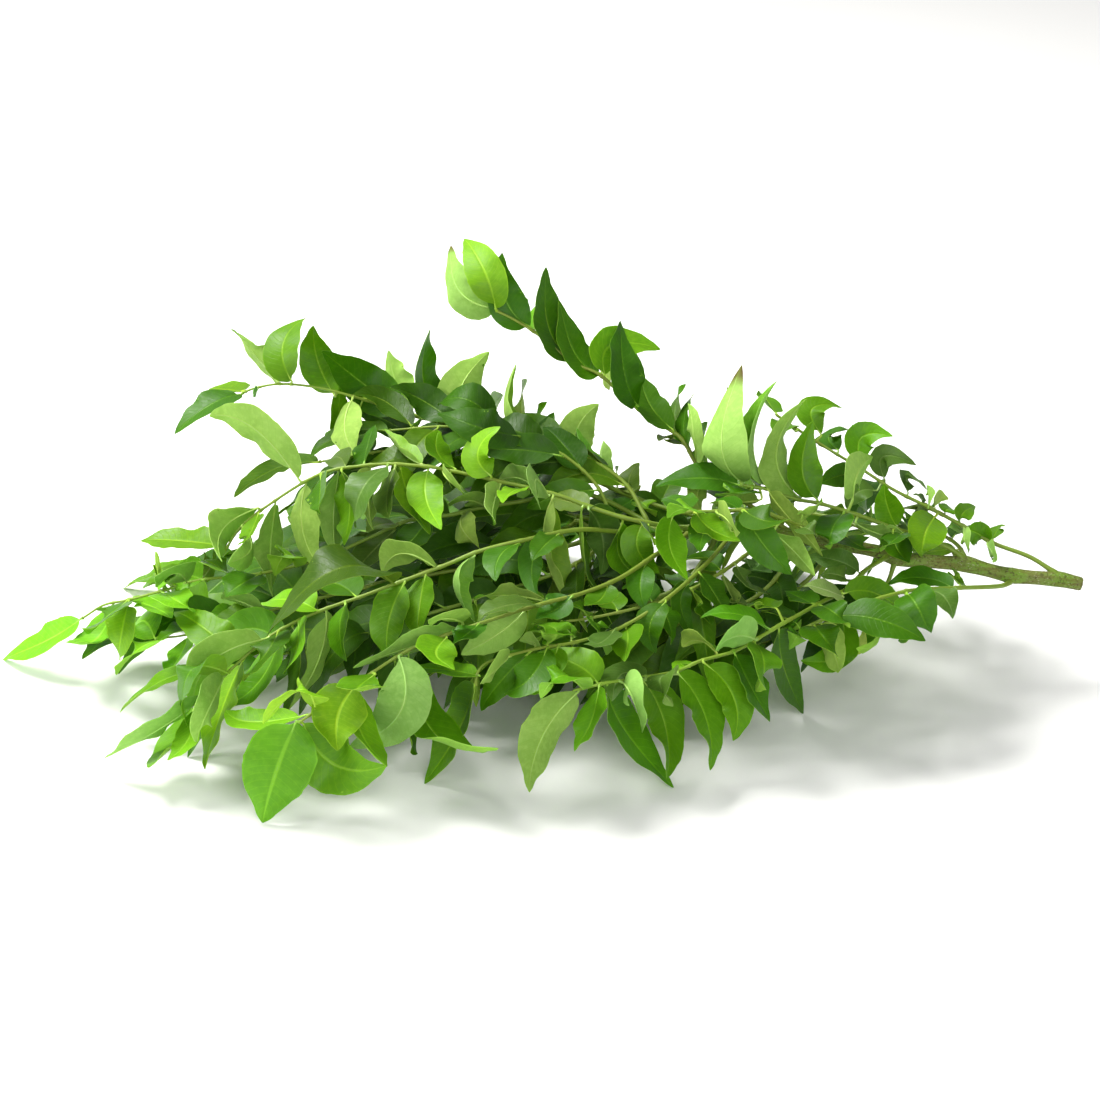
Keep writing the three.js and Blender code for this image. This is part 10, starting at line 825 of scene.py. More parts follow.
        (-25.87, 34.08, 58.32, -26.72, 36, 59.01, -34.18, 57.88, 63.76, -42.86, 62.54, 60.9, -0.619, -0.231, 0.75, 17.54, 17.5, 1.6, "T", 0.64, 0),
        (-33.84, 37.27, 55.67, -36.07, 38.36, 55.72, -58.83, 40.36, 60.29, -80.62, 27.69, 60.29, -0.552, -0.272, 0.788, 20.82, 8.6, 6.7, "M", 0.64, 0),
        (-43.14, 40.98, 52.57, -44.58, 44.41, 52.17, -59.06, 59.57, 59.54, -74.82, 74.89, 36.08, -0.504, 0.124, 0.855, 20.52, 13.6, 17.5, "T", 0.6, 0),
        (-52.45, 44.69, 49.48, -53.93, 41.79, 49.16, -69.14, 45.83, 34.09, -84.64, 40.26, 1.2, -0.298, -0.49, 0.819, 17.87, 11.4, -8.8, "M", 0.64, 0),
        (-61.85, 48.1, 46.34, -63.05, 51.71, 44.3, -75.15, 66.53, 33.83, -87.03, 54.71, 13.86, -0.224, 0.553, 0.802, 21.44, 6.2, -15.7, "M", 0.64, 0),
        (-71.25, 51.5, 43.2, -73.22, 50.03, 43.29, -94.28, 56.33, 34.81, -112.67, 31.01, 15.55, -0.111, -0.563, 0.819, 17.02, 11.1, -16, "T", 0.6, 0),
        (-79.31, 54.42, 40.51, -80.11, 58.53, 40.28, -87.06, 81.48, 47.22, -94.82, 85.01, 50.53, -0.318, 0.525, 0.789, 19.46, 17.3, -8.6, "T", 0.6, 0),
        (-87.39, 57.18, 37.73, -89.18, 54.24, 38.76, -110.16, 39.89, 41.52, -133.17, 42.89, 26.26, -0.059, -0.195, 0.979, 19.8, 12.1, 11.4, "T", 0.93, 0),
        (-98.22, 60.45, 33.79, -98.84, 64.75, 33.32, -103.66, 84.35, 40.84, -110.64, 98.53, 33, -0.532, -0.249, 0.809, 18.06, 12, 17.1, "M", 0.64, 0),
        (-106.35, 62.91, 30.83, -107.87, 63.68, 28.92, -122.74, 46.14, 19.87, -137.92, 23.6, 6.71, -0.241, -0.36, 0.901, 21.89, 14.7, 1.6, "T", 0.93, 0),
        (-114.47, 65.36, 27.88, -116.31, 68.48, 26.46, -130.58, 71.15, 25.11, -144.78, 67.78, 11.41, 0.065, 0.359, 0.931, 16.44, 10, 6.8, "T", 0.93, 0),
        (-124.07, 67.9, 24.53, -125.4, 64.85, 24.43, -141.62, 52.23, 15.25, -158.38, 38.3, 3.39, 0.023, -0.112, 0.993, 20.97, 17.4, 7.7, "T", 0.93, 0),
        (-133.72, 70.31, 21.21, -135.31, 73.54, 19.01, -147.93, 82.1, 10.22, -158.75, 67.52, 12.91, -0.088, -0.499, 0.862, 17.11, 15.2, -1.9, "T", 0.93, 0),
        (-141.99, 72.37, 18.37, -142.87, 68.92, 18.15, -153.59, 54.2, 8.08, -166.28, 44.97, 1.2, -0.059, -0.335, 0.94, 17.44, 14.7, 10.4, "T", 0.93, 0),
        (-148.88, 74.1, 16, -150.08, 72.96, 16.22, -168.88, 73.97, 11.39, -187.02, 83.5, 0, -0.211, 0.03, 0.977, 18.06, 10, 0, "M", 0.93, 0),
    ]),
    ("leaf_23", 1, 0.5, 0.18, [
        (34.1, -3.6, 67.61), (32.5, -2.17, 73.14), (31.36, -0.69, 75.47), (30.27, 0.8, 77.83), (29.13, 2.28, 80.16),
        (27.85, 3.74, 82.43), (26.34, 5.15, 84.59), (24.55, 6.49, 86.57), (22.58, 7.76, 88.42), (20.48, 8.98, 90.17),
        (18.27, 10.14, 91.8), (15.96, 11.26, 93.34), (13.56, 12.33, 94.76), (11.08, 13.35, 96.07), (8.51, 14.31, 97.26),
        (5.87, 15.22, 98.33), (3.17, 16.06, 99.27), (0.41, 16.86, 100.13), (-2.38, 17.61, 100.88), (-5.2, 18.32, 101.56),
        (-8.05, 19.01, 102.16), (-10.92, 19.66, 102.68), (-13.8, 20.29, 103.13), (-16.71, 20.88, 103.5), (-19.64, 21.42, 103.77),
        (-22.58, 21.93, 103.96), (-25.52, 22.4, 104.08), (-28.48, 22.86, 104.14), (-31.43, 23.3, 104.14),
        (-34.39, 23.73, 104.08), (-37.35, 24.16, 103.97), (-40.3, 24.57, 103.78), (-43.25, 24.96, 103.49),
        (-46.19, 25.33, 103.12), (-49.13, 25.69, 102.71), (-52.07, 26.04, 102.27), (-55, 26.38, 101.83), (-57.94, 26.74, 101.4),
        (-60.88, 27.1, 101),
    ], [
        (26.93, 4.4, 83.41, 24.97, 1.89, 84.48, 10.32, -0.84, 83.65, -3.56, 1.21, 76.17, 0.514, -0.636, 0.576, 12.45, 9.8, -14.8, "M", 0.64, 0),
        (20.26, 8.87, 89.95, 19.61, 12.96, 89.73, 12.08, 22.17, 96.33, 3.56, 33.49, 100.67, 0.373, -0.733, 0.569, 15.55, 6.2, 15.6, "T", 0.64, 0),
        (12.15, 12.72, 95.16, 10.24, 10.15, 96.71, -7.57, 12.27, 98.5, -25.42, 9.37, 99.16, 0.214, -0.649, 0.73, 15.49, 14.8, 7.5, "T", 0.64, 0),
        (4.52, 15.65, 98.81, 3.1, 19.34, 97.7, -9.51, 23.25, 102.88, -23.22, 37.2, 98.33, 0.217, -0.526, 0.822, 17.86, 10.1, -5.2, "T", 0.64, 0),
        (-5.28, 18.23, 101.34, -6.94, 14.43, 103.76, -22.94, -1.52, 114.42, -40.64, 13.7, 115.21, 0.176, -0.709, 0.682, 17.09, 12.1, 15, "T", 0.64, 0),
        (-13.85, 20.19, 102.91, -15.3, 22.61, 103.61, -27.62, 19.87, 117.7, -41.48, 34.23, 109.82, 0.254, -0.609, 0.752, 16.03, 13.4, -8.7, "T", 0.64, 0),
        (-24.05, 22.17, 104.03, -25.83, 22.78, 102.5, -41.7, 6.21, 98.43, -58.86, 0.94, 84.47, -0.241, -0.06, 0.969, 17.63, 6.8, 12.7, "M", 0.64, 0),
        (-31.44, 23.26, 103.92, -33.01, 22.61, 105.6, -46.88, 38.38, 109.53, -60.7, 32, 118.97, -0.214, -0.534, 0.818, 15.54, 13.6, 11, "T", 0.64, 0),
        (-40.3, 24.57, 103.78, -41.44, 20.94, 103.75, -50.24, 5.91, 100.99, -60.49, -3.21, 82.75, 0.175, -0.056, 0.983, 14.25, 8.6, -13, "M", 0.64, 0),
        (-50.59, 25.83, 102.39, -52.11, 28.25, 102.56, -64.45, 41.86, 108.58, -76.68, 34.82, 114.01, -0.051, -0.432, 0.901, 13.15, 13.2, -8.8, "T", 0.64, 0),
        (-60.88, 27.1, 101, -62.47, 29.3, 99.95, -80.35, 33.62, 96.59, -95.84, 29.65, 87.91, 0.067, -0.101, 0.993, 15.48, 10, 0, "M", 0.64, 0),
    ]),
    ("leaf_24", 1.2, 0.55, 0.18, [
        (34.1, -4.05, 67.16), (32.09, -6.83, 68.43), (30.11, -8.76, 67.26), (28.19, -10.74, 66.06), (26.26, -12.7, 64.87),
        (24.23, -14.59, 63.72), (22.06, -16.35, 62.62), (19.74, -17.96, 61.61), (17.24, -19.36, 60.7), (14.65, -20.61, 59.86),
        (11.98, -21.75, 59.07), (9.27, -22.8, 58.33), (6.52, -23.79, 57.62), (3.76, -24.74, 56.93), (0.98, -25.67, 56.27),
        (-1.8, -26.58, 55.61), (-4.59, -27.48, 54.97), (-7.38, -28.4, 54.34), (-10.16, -29.34, 53.72), (-12.96, -30.26, 53.12),
        (-15.76, -31.17, 52.55), (-18.58, -32.06, 52), (-21.4, -32.93, 51.47), (-24.23, -33.78, 50.96), (-27.07, -34.63, 50.44),
        (-29.91, -35.46, 49.93), (-32.74, -36.29, 49.4), (-35.58, -37.11, 48.87), (-38.42, -37.92, 48.32),
        (-41.26, -38.73, 47.79), (-44.11, -39.53, 47.25), (-46.96, -40.31, 46.71), (-49.81, -41.08, 46.17),
        (-52.66, -41.84, 45.63), (-55.52, -42.57, 45.07), (-58.38, -43.29, 44.5), (-61.24, -43.99, 43.93),
        (-64.1, -44.67, 43.33), (-66.97, -45.33, 42.72), (-69.83, -45.98, 42.1), (-72.7, -46.62, 41.48), (-75.57, -47.24, 40.85),
        (-78.44, -47.84, 40.22), (-81.32, -48.44, 39.59), (-84.2, -49.01, 38.98), (-87.09, -49.57, 38.37),
        (-89.98, -50.1, 37.78), (-92.88, -50.61, 37.2), (-95.79, -51.1, 36.63), (-98.7, -51.56, 36.06), (-101.62, -52, 35.5),
        (-104.54, -52.43, 34.95), (-107.46, -52.86, 34.4), (-110.38, -53.27, 33.85), (-113.31, -53.68, 33.3),
        (-116.23, -54.09, 32.74), (-119.15, -54.49, 32.19), (-122.08, -54.86, 31.64), (-125.01, -55.21, 31.09),
        (-127.95, -55.55, 30.55), (-130.88, -55.9, 30),
    ], [
        (17.24, -19.36, 60.7, 17.22, -23.25, 60.94, 17.17, -45.57, 57.73, 14.69, -48.74, 29.06, -0.742, -0.08, 0.665, 14.97, 12.2, 0.8, "T", 0.6, 0),
        (6.52, -23.79, 57.62, 4.47, -24.93, 58.93, -13.04, -21.85, 63.77, -31, -13.37, 51.43, 0.002, -0.549, 0.836, 15.78, 6.4, -6.7, "T", 0.64, 0),
        (-3.23, -27.02, 55.4, -3.16, -29.02, 54.35, -2.85, -46.89, 48.74, -5.25, -62.4, 26.62, 0.272, -0.365, 0.891, 16.03, 12.3, -4.7, "M", 0.64, 0),
        (-12.98, -30.25, 53.18, -14.78, -29.68, 52.05, -31.83, -33.13, 46.61, -49.76, -28.57, 19.15, -0.237, -0.632, 0.738, 18.14, 13.3, -15.6, "T", 0.6, 0),
        (-24.27, -33.65, 50.95, -24, -37.79, 51.08, -22.36, -58.17, 46.23, -24.18, -63.43, 17.24, -0.025, 0.136, 0.99, 17.37, 12.7, -6.5, "M", 0.64, 0),
        (-35.62, -36.95, 48.83, -37.57, -38.31, 49.9, -57.6, -27.29, 50.67, -78.3, -16.69, 37.35, 0.02, -0.409, 0.912, 17.21, 14.9, -11.2, "T", 0.6, 0),
        (-45.55, -39.84, 46.97, -46.21, -41.96, 46.51, -53.12, -62.59, 44.77, -62.45, -81.27, 17.99, 0.079, 0.228, 0.97, 18.45, 16.4, 5.9, "T", 0.6, 0),
        (-55.53, -42.46, 44.99, -57.43, -44.09, 45.3, -77.61, -38.53, 38.47, -98.47, -33, 12.42, -0.322, -0.389, 0.863, 18.95, 8.9, -7.1, "T", 0.6, 0),
        (-66.98, -45.21, 42.64, -68.11, -49.06, 43.37, -81.55, -53.6, 36.81, -97.1, -53.92, 7.91, -0.002, -0.32, 0.947, 19.77, 16.1, -4.1, "T", 0.6, 0),
        (-78.47, -47.76, 40.26, -80.65, -45.12, 39.15, -101.9, -38.22, 38.76, -121.24, -54.19, 31.85, -0.054, -0.405, 0.913, 19.88, 8.6, 13, "M", 0.64, 0),
        (-87.14, -49.41, 38.45, -87.49, -53.58, 39.78, -94.45, -61.02, 35.81, -102.9, -80.7, 37.48, -0.489, -0.209, 0.847, 19.08, 7, 0.5, "T", 0.6, 0),
        (-98.71, -51.53, 36.07, -100.32, -52.23, 37.18, -117.69, -41.06, 41.31, -133.72, -49.79, 30.19, -0.406, -0.513, 0.756, 18.11, 11.7, -10.8, "M", 0.93, 0),
        (-108.95, -52.92, 34.14, -110.25, -56.18, 34.05, -124.66, -69.65, 27.08, -141.09, -75.55, 0, -0.138, -0.349, 0.927, 18.35, 13.6, 8.3, "T", 0.93, 0),
        (-119.18, -54.31, 32.21, -120.49, -53.95, 33.39, -133.34, -48.06, 43.93, -150.26, -23, 41.1, -0.439, 0.126, 0.889, 17.62, 6.9, 4.1, "M", 0.93, 0),
        (-130.88, -55.9, 30, -132.28, -56.58, 29.98, -151.68, -59.75, 26.77, -169.55, -59.83, 12.44, -0.014, 0.123, 0.992, 17.2, 10, 0, "M", 0.93, 0),
    ]),
    ("leaf_25", 1.2, 0.55, 0.18, [
        (25.4, -2.9, 66.4), (18.3, -2.01, 72.13), (16.82, -0.1, 70.35), (15.38, 1.84, 68.57), (13.74, 3.64, 66.82),
        (11.78, 5.17, 65.16), (9.51, 6.37, 63.62), (7.06, 7.34, 62.19), (4.52, 8.17, 60.83), (1.91, 8.88, 59.53),
        (-0.74, 9.51, 58.28), (-3.43, 10.04, 57.07), (-6.16, 10.49, 55.9), (-8.91, 10.87, 54.78), (-11.69, 11.17, 53.69),
        (-14.49, 11.38, 52.65), (-17.31, 11.52, 51.64), (-20.15, 11.58, 50.67), (-23, 11.6, 49.74), (-25.86, 11.57, 48.83),
        (-28.72, 11.51, 47.94), (-31.59, 11.42, 47.08), (-34.47, 11.31, 46.24), (-37.35, 11.17, 45.43), (-40.24, 11.02, 44.63),
        (-43.13, 10.83, 43.88), (-46.03, 10.6, 43.16), (-48.94, 10.33, 42.47), (-51.85, 10.04, 41.8), (-54.76, 9.73, 41.15),
        (-57.67, 9.41, 40.51), (-60.58, 9.07, 39.87), (-63.49, 8.73, 39.22), (-66.4, 8.39, 38.57), (-69.3, 8.04, 37.9),
        (-72.2, 7.69, 37.22), (-75.09, 7.3, 36.52), (-77.98, 6.9, 35.83), (-80.86, 6.49, 35.13), (-83.75, 6.07, 34.44),
        (-86.64, 5.65, 33.75), (-89.53, 5.25, 33.07), (-92.43, 4.86, 32.4), (-95.34, 4.5, 31.76), (-98.25, 4.16, 31.13),
        (-101.17, 3.86, 30.53), (-104.1, 3.59, 29.96), (-107.04, 3.33, 29.41), (-109.98, 3.08, 28.87), (-112.92, 2.86, 28.35),
        (-115.87, 2.66, 27.84), (-118.82, 2.48, 27.34), (-121.78, 2.32, 26.85), (-124.73, 2.18, 26.36), (-127.69, 2.07, 25.87),
        (-130.65, 1.99, 25.39), (-133.61, 1.95, 24.92), (-136.57, 1.95, 24.46), (-139.53, 1.97, 24.01), (-142.5, 2, 23.56),
        (-145.47, 2.04, 23.12), (-148.43, 2.07, 22.68), (-151.4, 2.09, 22.23), (-152.88, 2.1, 22),
    ], [
        (7.06, 7.34, 62.19, 5.19, 4.28, 62.62, -10.96, -11.55, 63.43, -27.31, -21.32, 43.49, -0.342, -0.412, 0.845, 17.46, 14.9, -13, "M", 0.64, 0),
        (-2.2, 9.55, 57.79, -3.28, 13.55, 56.67, -13.99, 30.5, 55.17, -25.37, 19.38, 50.68, -0.373, -0.443, 0.815, 17.21, 17.5, 11.9, "T", 0.6, 0),
        (-11.76, 10.89, 53.83, -13.63, 8.26, 54.95, -32.75, -3.06, 62.09, -52.88, -1.24, 52.19, -0.536, -0.439, 0.721, 19.57, 16.5, 16.7, "T", 0.64, 0),
        (-21.57, 11.6, 50.2, -23.34, 10.85, 51.39, -40.05, 24.05, 54.61, -56.99, 24.9, 51.29, -0.33, -0.554, 0.764, 17.61, 11.1, -16, "T", 0.6, 0),
        (-30.21, 11.22, 47.74, -30.42, 8, 47.5, -32.95, -17.1, 42.38, -40.43, -27.3, 10.83, 0.143, -0.524, 0.84, 17.88, 7.5, -14.5, "M", 0.64, 0),
        (-40.29, 10.78, 44.86, -41.88, 14.02, 44.16, -57.36, 30.41, 47.5, -73.49, 36.15, 43.87, -0.101, -0.573, 0.813, 17.56, 13.2, -1, "T", 0.6, 0),
        (-48.94, 10.3, 42.48, -49.12, 5.1, 43.22, -52.06, -22.15, 38.78, -58.53, -35.15, 13.57, -0.015, -0.313, 0.949, 19.79, 8.6, -2.5, "T", 0.6, 0),
        (-59.11, 9.13, 40.17, -60.7, 11.12, 40.13, -75.04, 25.68, 43.39, -90.36, 36.04, 35.97, -0.105, -0.537, 0.837, 18.4, 12.2, -10.6, "T", 0.6, 0),
        (-69.28, 7.97, 37.85, -69.23, 2.32, 38.71, -74.05, -14.59, 26.17, -76.69, -27.39, 6.95, 0.079, -0.538, 0.84, 15.74, 16.4, -1.5, "T", 0.6, 0),
        (-79.44, 6.74, 35.53, -80.98, 9.39, 35.42, -96.17, 22.34, 45.15, -112.52, 31.22, 43.79, -0.472, -0.447, 0.76, 19.85, 7.1, -11.3, "M", 0.64, 0),
        (-88.14, 5.61, 33.55, -88.59, 0.95, 33.85, -91.6, -24.64, 27.61, -110.8, -26.75, 12.29, 0.53, -0.769, 0.357, 13.67, 15.3, 6.2, "T", 0.6, 0),
        (-98.29, 4.29, 31.24, -99.63, 5.47, 31.74, -114.48, 19.7, 40.09, -130.41, 27.5, 28.34, -0.472, -0.173, 0.864, 20.54, 11.1, 6.9, "T", 0.93, 0),
        (-108.53, 3.33, 29.21, -110.3, 0.85, 29.73, -128.28, -10.4, 26.96, -145.25, -33.55, 17.4, -0.492, 0.223, 0.841, 14.7, 16.7, 12.7, "T", 0.93, 0),
        (-117.37, 2.75, 27.67, -119.64, 6.28, 25.82, -138.64, 22.48, 20.86, -156, 21.5, 14.86, -0.199, -0.21, 0.957, 15.37, 13, -6.6, "M", 0.93, 0),
        (-129.17, 2.07, 25.64, -130.98, -0.87, 26.62, -153.86, -4.05, 26.97, -177.4, -7.34, 2.85, -0.077, -0.354, 0.932, 18.9, 17.8, -13.6, "T", 0.93, 0),
        (-138.06, 2.08, 24.27, -139.72, 5.53, 23.74, -154.6, 22.9, 30.2, -166.69, 7.85, 36.42, -0.462, -0.407, 0.788, 20.08, 10.9, 1.9, "M", 0.93, 0),
        (-152.88, 2.1, 22, -154.62, 4.06, 20.8, -175.7, 5.99, 16.74, -190.13, -19.52, 16.41, -0.087, 0.02, 0.996, 18.06, 10, 0, "M", 0.93, 0),
    ]),
    ("terminal_leaf", 1.2, 0.5, 0.18, [
        (24.83, -2.9, 64.78), (22.04, -2.64, 63.72), (19.28, -2.31, 62.61), (16.49, -2.04, 61.54), (13.66, -1.9, 60.58),
        (10.78, -1.9, 59.74), (7.88, -2, 58.98), (4.98, -2.15, 58.26), (2.07, -2.34, 57.57), (-0.84, -2.56, 56.9),
        (-3.76, -2.8, 56.26), (-6.68, -3.07, 55.65), (-9.61, -3.36, 55.07), (-12.53, -3.67, 54.51), (-15.47, -4.02, 54),
        (-18.4, -4.41, 53.53), (-21.34, -4.84, 53.13), (-24.27, -5.31, 52.76), (-27.21, -5.8, 52.41), (-30.15, -6.3, 52.08),
        (-33.08, -6.81, 51.75), (-36.01, -7.31, 51.41), (-38.95, -7.79, 51.03), (-41.88, -8.26, 50.63), (-44.81, -8.73, 50.22),
        (-47.74, -9.2, 49.81), (-50.67, -9.67, 49.38), (-53.6, -10.13, 48.96), (-56.53, -10.6, 48.52), (-59.45, -11.07, 48.08),
        (-62.38, -11.54, 47.64), (-65.3, -12.01, 47.19), (-68.23, -12.49, 46.74), (-71.15, -12.99, 46.29),
        (-74.07, -13.49, 45.85), (-76.99, -13.98, 45.39), (-79.91, -14.47, 44.93), (-82.83, -14.94, 44.44),
        (-85.75, -15.38, 43.92), (-88.66, -15.78, 43.37), (-91.58, -16.14, 42.78), (-94.5, -16.48, 42.17),
        (-97.41, -16.78, 41.54), (-100.32, -17.06, 40.88), (-103.22, -17.31, 40.19), (-106.12, -17.52, 39.46),
        (-109.01, -17.71, 38.69), (-111.89, -17.87, 37.87), (-114.75, -17.98, 36.98), (-117.58, -18.04, 36),
        (-120.38, -18.05, 34.94), (-123.17, -18.03, 33.85), (-125.96, -17.99, 32.75), (-128.76, -17.94, 31.68),
        (-131.57, -17.91, 30.66), (-134.43, -17.9, 29.76), (-137.32, -17.9, 28.96), (-140.22, -17.9, 28.22),
        (-143.15, -17.9, 27.56), (-146.08, -17.9, 26.95), (-149.02, -17.9, 26.39), (-151.99, -17.9, 25.96),
        (-154.98, -17.9, 25.73), (-157.96, -17.9, 25.51),
    ], [
        (-56.51, -10.64, 48.46, -56.99, -13.78, 48.57, -57.94, -22.7, 45.56, -63.95, -30.65, 37.91, -0.496, -0.082, 0.864, 15.99, 10, -5.3, "T", 0.94, 0),
        (-101.75, -17.12, 40.45, -102.69, -14.16, 37.57, -105.24, -9.96, 27.66, -111.42, -15.81, 18.81, -0.947, -0.312, 0.072, 15.05, 10, -1.4, "M", 1, 0),
        (-113.31, -17.89, 37.37, -114.34, -21.1, 38.29, -123.52, -30.18, 39.99, -135.28, -38.97, 35.15, 0.054, -0.007, 0.999, 18, 10, -0.9, "M", 0.8, 0),
        (-113.31, -17.89, 37.37, -114.71, -17.77, 37.85, -121.67, -17.45, 42.08, -131.84, -8.32, 39.51, 0.538, 0.551, 0.637, 18.1, 10, -6.4, "U", 1.16, 0),
        (-133.09, -17.92, 30.46, -133.74, -23.94, 33.12, -142.46, -31.17, 36.61, -152.54, -57.01, 45.09, -0.006, 0.372, 0.928, 16.93, 10, -5.9, "T", 1.16, 0),
        (-144.63, -17.9, 27.35, -145.23, -19.45, 26.61, -147.52, -30.23, 23.32, -151.39, -44.55, 22.28, -0.624, 0.029, 0.781, 16.92, 10, -4.2, "B", 1.16, 0),
        (-154.98, -17.9, 25.81, -156.06, -18.9, 25.24, -164.44, -32.97, 27.5, -175.34, -25.79, 12.61, -0.283, 0.075, 0.956, 19.32, 10, -9.5, "B", 1.16, 0),
        (-157.96, -17.9, 25.51, -159.75, -15.6, 24.47, -165.68, -5.08, 27.12, -171.67, -4.49, 19.74, -0.563, 0.079, 0.823, 17.42, 10, 11.9, "B", 1.16, 0),
        (-90.12, -15.77, 42.91, -90.85, -12.16, 39.66, -94.11, -0.91, 24.42, -94.64, -16.32, 23.81, -0.863, 0.379, -0.333, 13.88, 10, 9.6, "T", 0.94, 0),
        (-65.29, -12.08, 47.14, -65.98, -7.74, 43.56, -63.54, 6.86, 30.72, -71.68, 0.34, 20.74, -0.566, -0.795, -0.22, 10.78, 10, 10.9, "T", 0.94, 0),
        (-38.94, -7.81, 51, -39.19, -2.21, 46.75, -37.44, -3.42, 38.53, -40.47, 5, 23.57, -0.525, -0.726, -0.444, 13.14, 10, -8.9, "T", 0.94, 0),
        (-14, -3.9, 54.31, -14.05, -1.8, 51.66, -12.68, 5.83, 38.77, -14.69, -5.18, 31.41, -0.627, -0.674, -0.39, 12.87, 10, 13.7, "T", 0.94, 0),
        (-76.99, -13.99, 45.38, -78.36, -12.78, 45.54, -83.81, -8.4, 43.27, -90.55, 9.58, 40.27, -0.199, 0.161, 0.967, 14.05, 10, 7.1, "M", 1, 0),
        (-47.74, -9.21, 49.78, -49.2, -6.01, 49, -56.83, 1.08, 49, -63.98, 16.69, 45.39, -0.09, 0.144, 0.985, 15.86, 10, 13.6, "T", 0.94, 0),
        (10.78, -1.9, 59.74, 10.79, 1.29, 56.63, 8.96, 5.21, 43.77, 10.64, -5.43, 37.17, -0.006, -0.925, -0.381, 10.15, 10, -10, "T", 0.94, 0),
        (-22.8, -5.28, 53.15, -24.18, -5.77, 53.77, -30.53, -1.75, 55.92, -40.3, 12.36, 50.71, -0.286, 0.024, 0.958, 13.76, 10, -2.9, "T", 0.94, 0),
        (-123.21, -17.95, 33.97, -124.91, -15.34, 32.76, -131.39, -13.99, 34.69, -134.77, -19, 30.56, -0.36, 0.077, 0.93, 14.1, 10, 0, "B", 1.16, 0),
    ]),
]

# ------------------------------------------------------------------ helpers
def unit(a):
    return a / np.maximum(np.linalg.norm(a, axis=-1, keepdims=True), 1e-12)


def smooth(x, a, b):
    t = np.clip((x - a) / (b - a), 0.0, 1.0)
    return t * t * (3 - 2 * t)


def srgb(r, g, b):
    c = np.array([r, g, b], float) / 255.0
    return np.where(c <= 0.04045, c / 12.92, ((c + 0.055) / 1.055) ** 2.4)


def fine_curve(points, step):
    """Centripetal-free Catmull-Rom through the points, resampled about every step."""
    p = np.asarray(points, float)
    q = np.vstack([2 * p[0] - p[1], p, 2 * p[-1] - p[-2]])
    out = []
    for i in range(1, len(q) - 2):
        a, b, c, d = q[i - 1], q[i], q[i + 1], q[i + 2]
        n = max(1, int(math.ceil(np.linalg.norm((c - b)[:3]) / step)))
        for k in range(n):
            t = k / n
            out.append(0.5 * (2 * b + (c - a) * t + (2 * a - 5 * b + 4 * c - d) * t * t
                              + (3 * b - a - 3 * c + d) * t ** 3))
    out.append(p[-1])
    return np.array(out)


def arc_of(p):
    return np.r_[0, np.cumsum(np.linalg.norm(np.diff(p[:, :3], axis=0), axis=1))]


def frames(path):
    """Tangent and two normals along a path, carried without twist."""
    t = unit(np.gradient(path, axis=0))
    ref = np.array([0.0, 0.0, 1.0]) if abs(t[0][2]) < 0.9 else np.array([1.0, 0, 0])
    a = unit(np.cross(t[0], ref))
    A = [a]
    for k in range(1, len(path)):
        a = A[-1] - t[k] * (A[-1] @ t[k])
        A.append(unit(a))
    A = np.array(A)
    return t, A, np.cross(t, A)


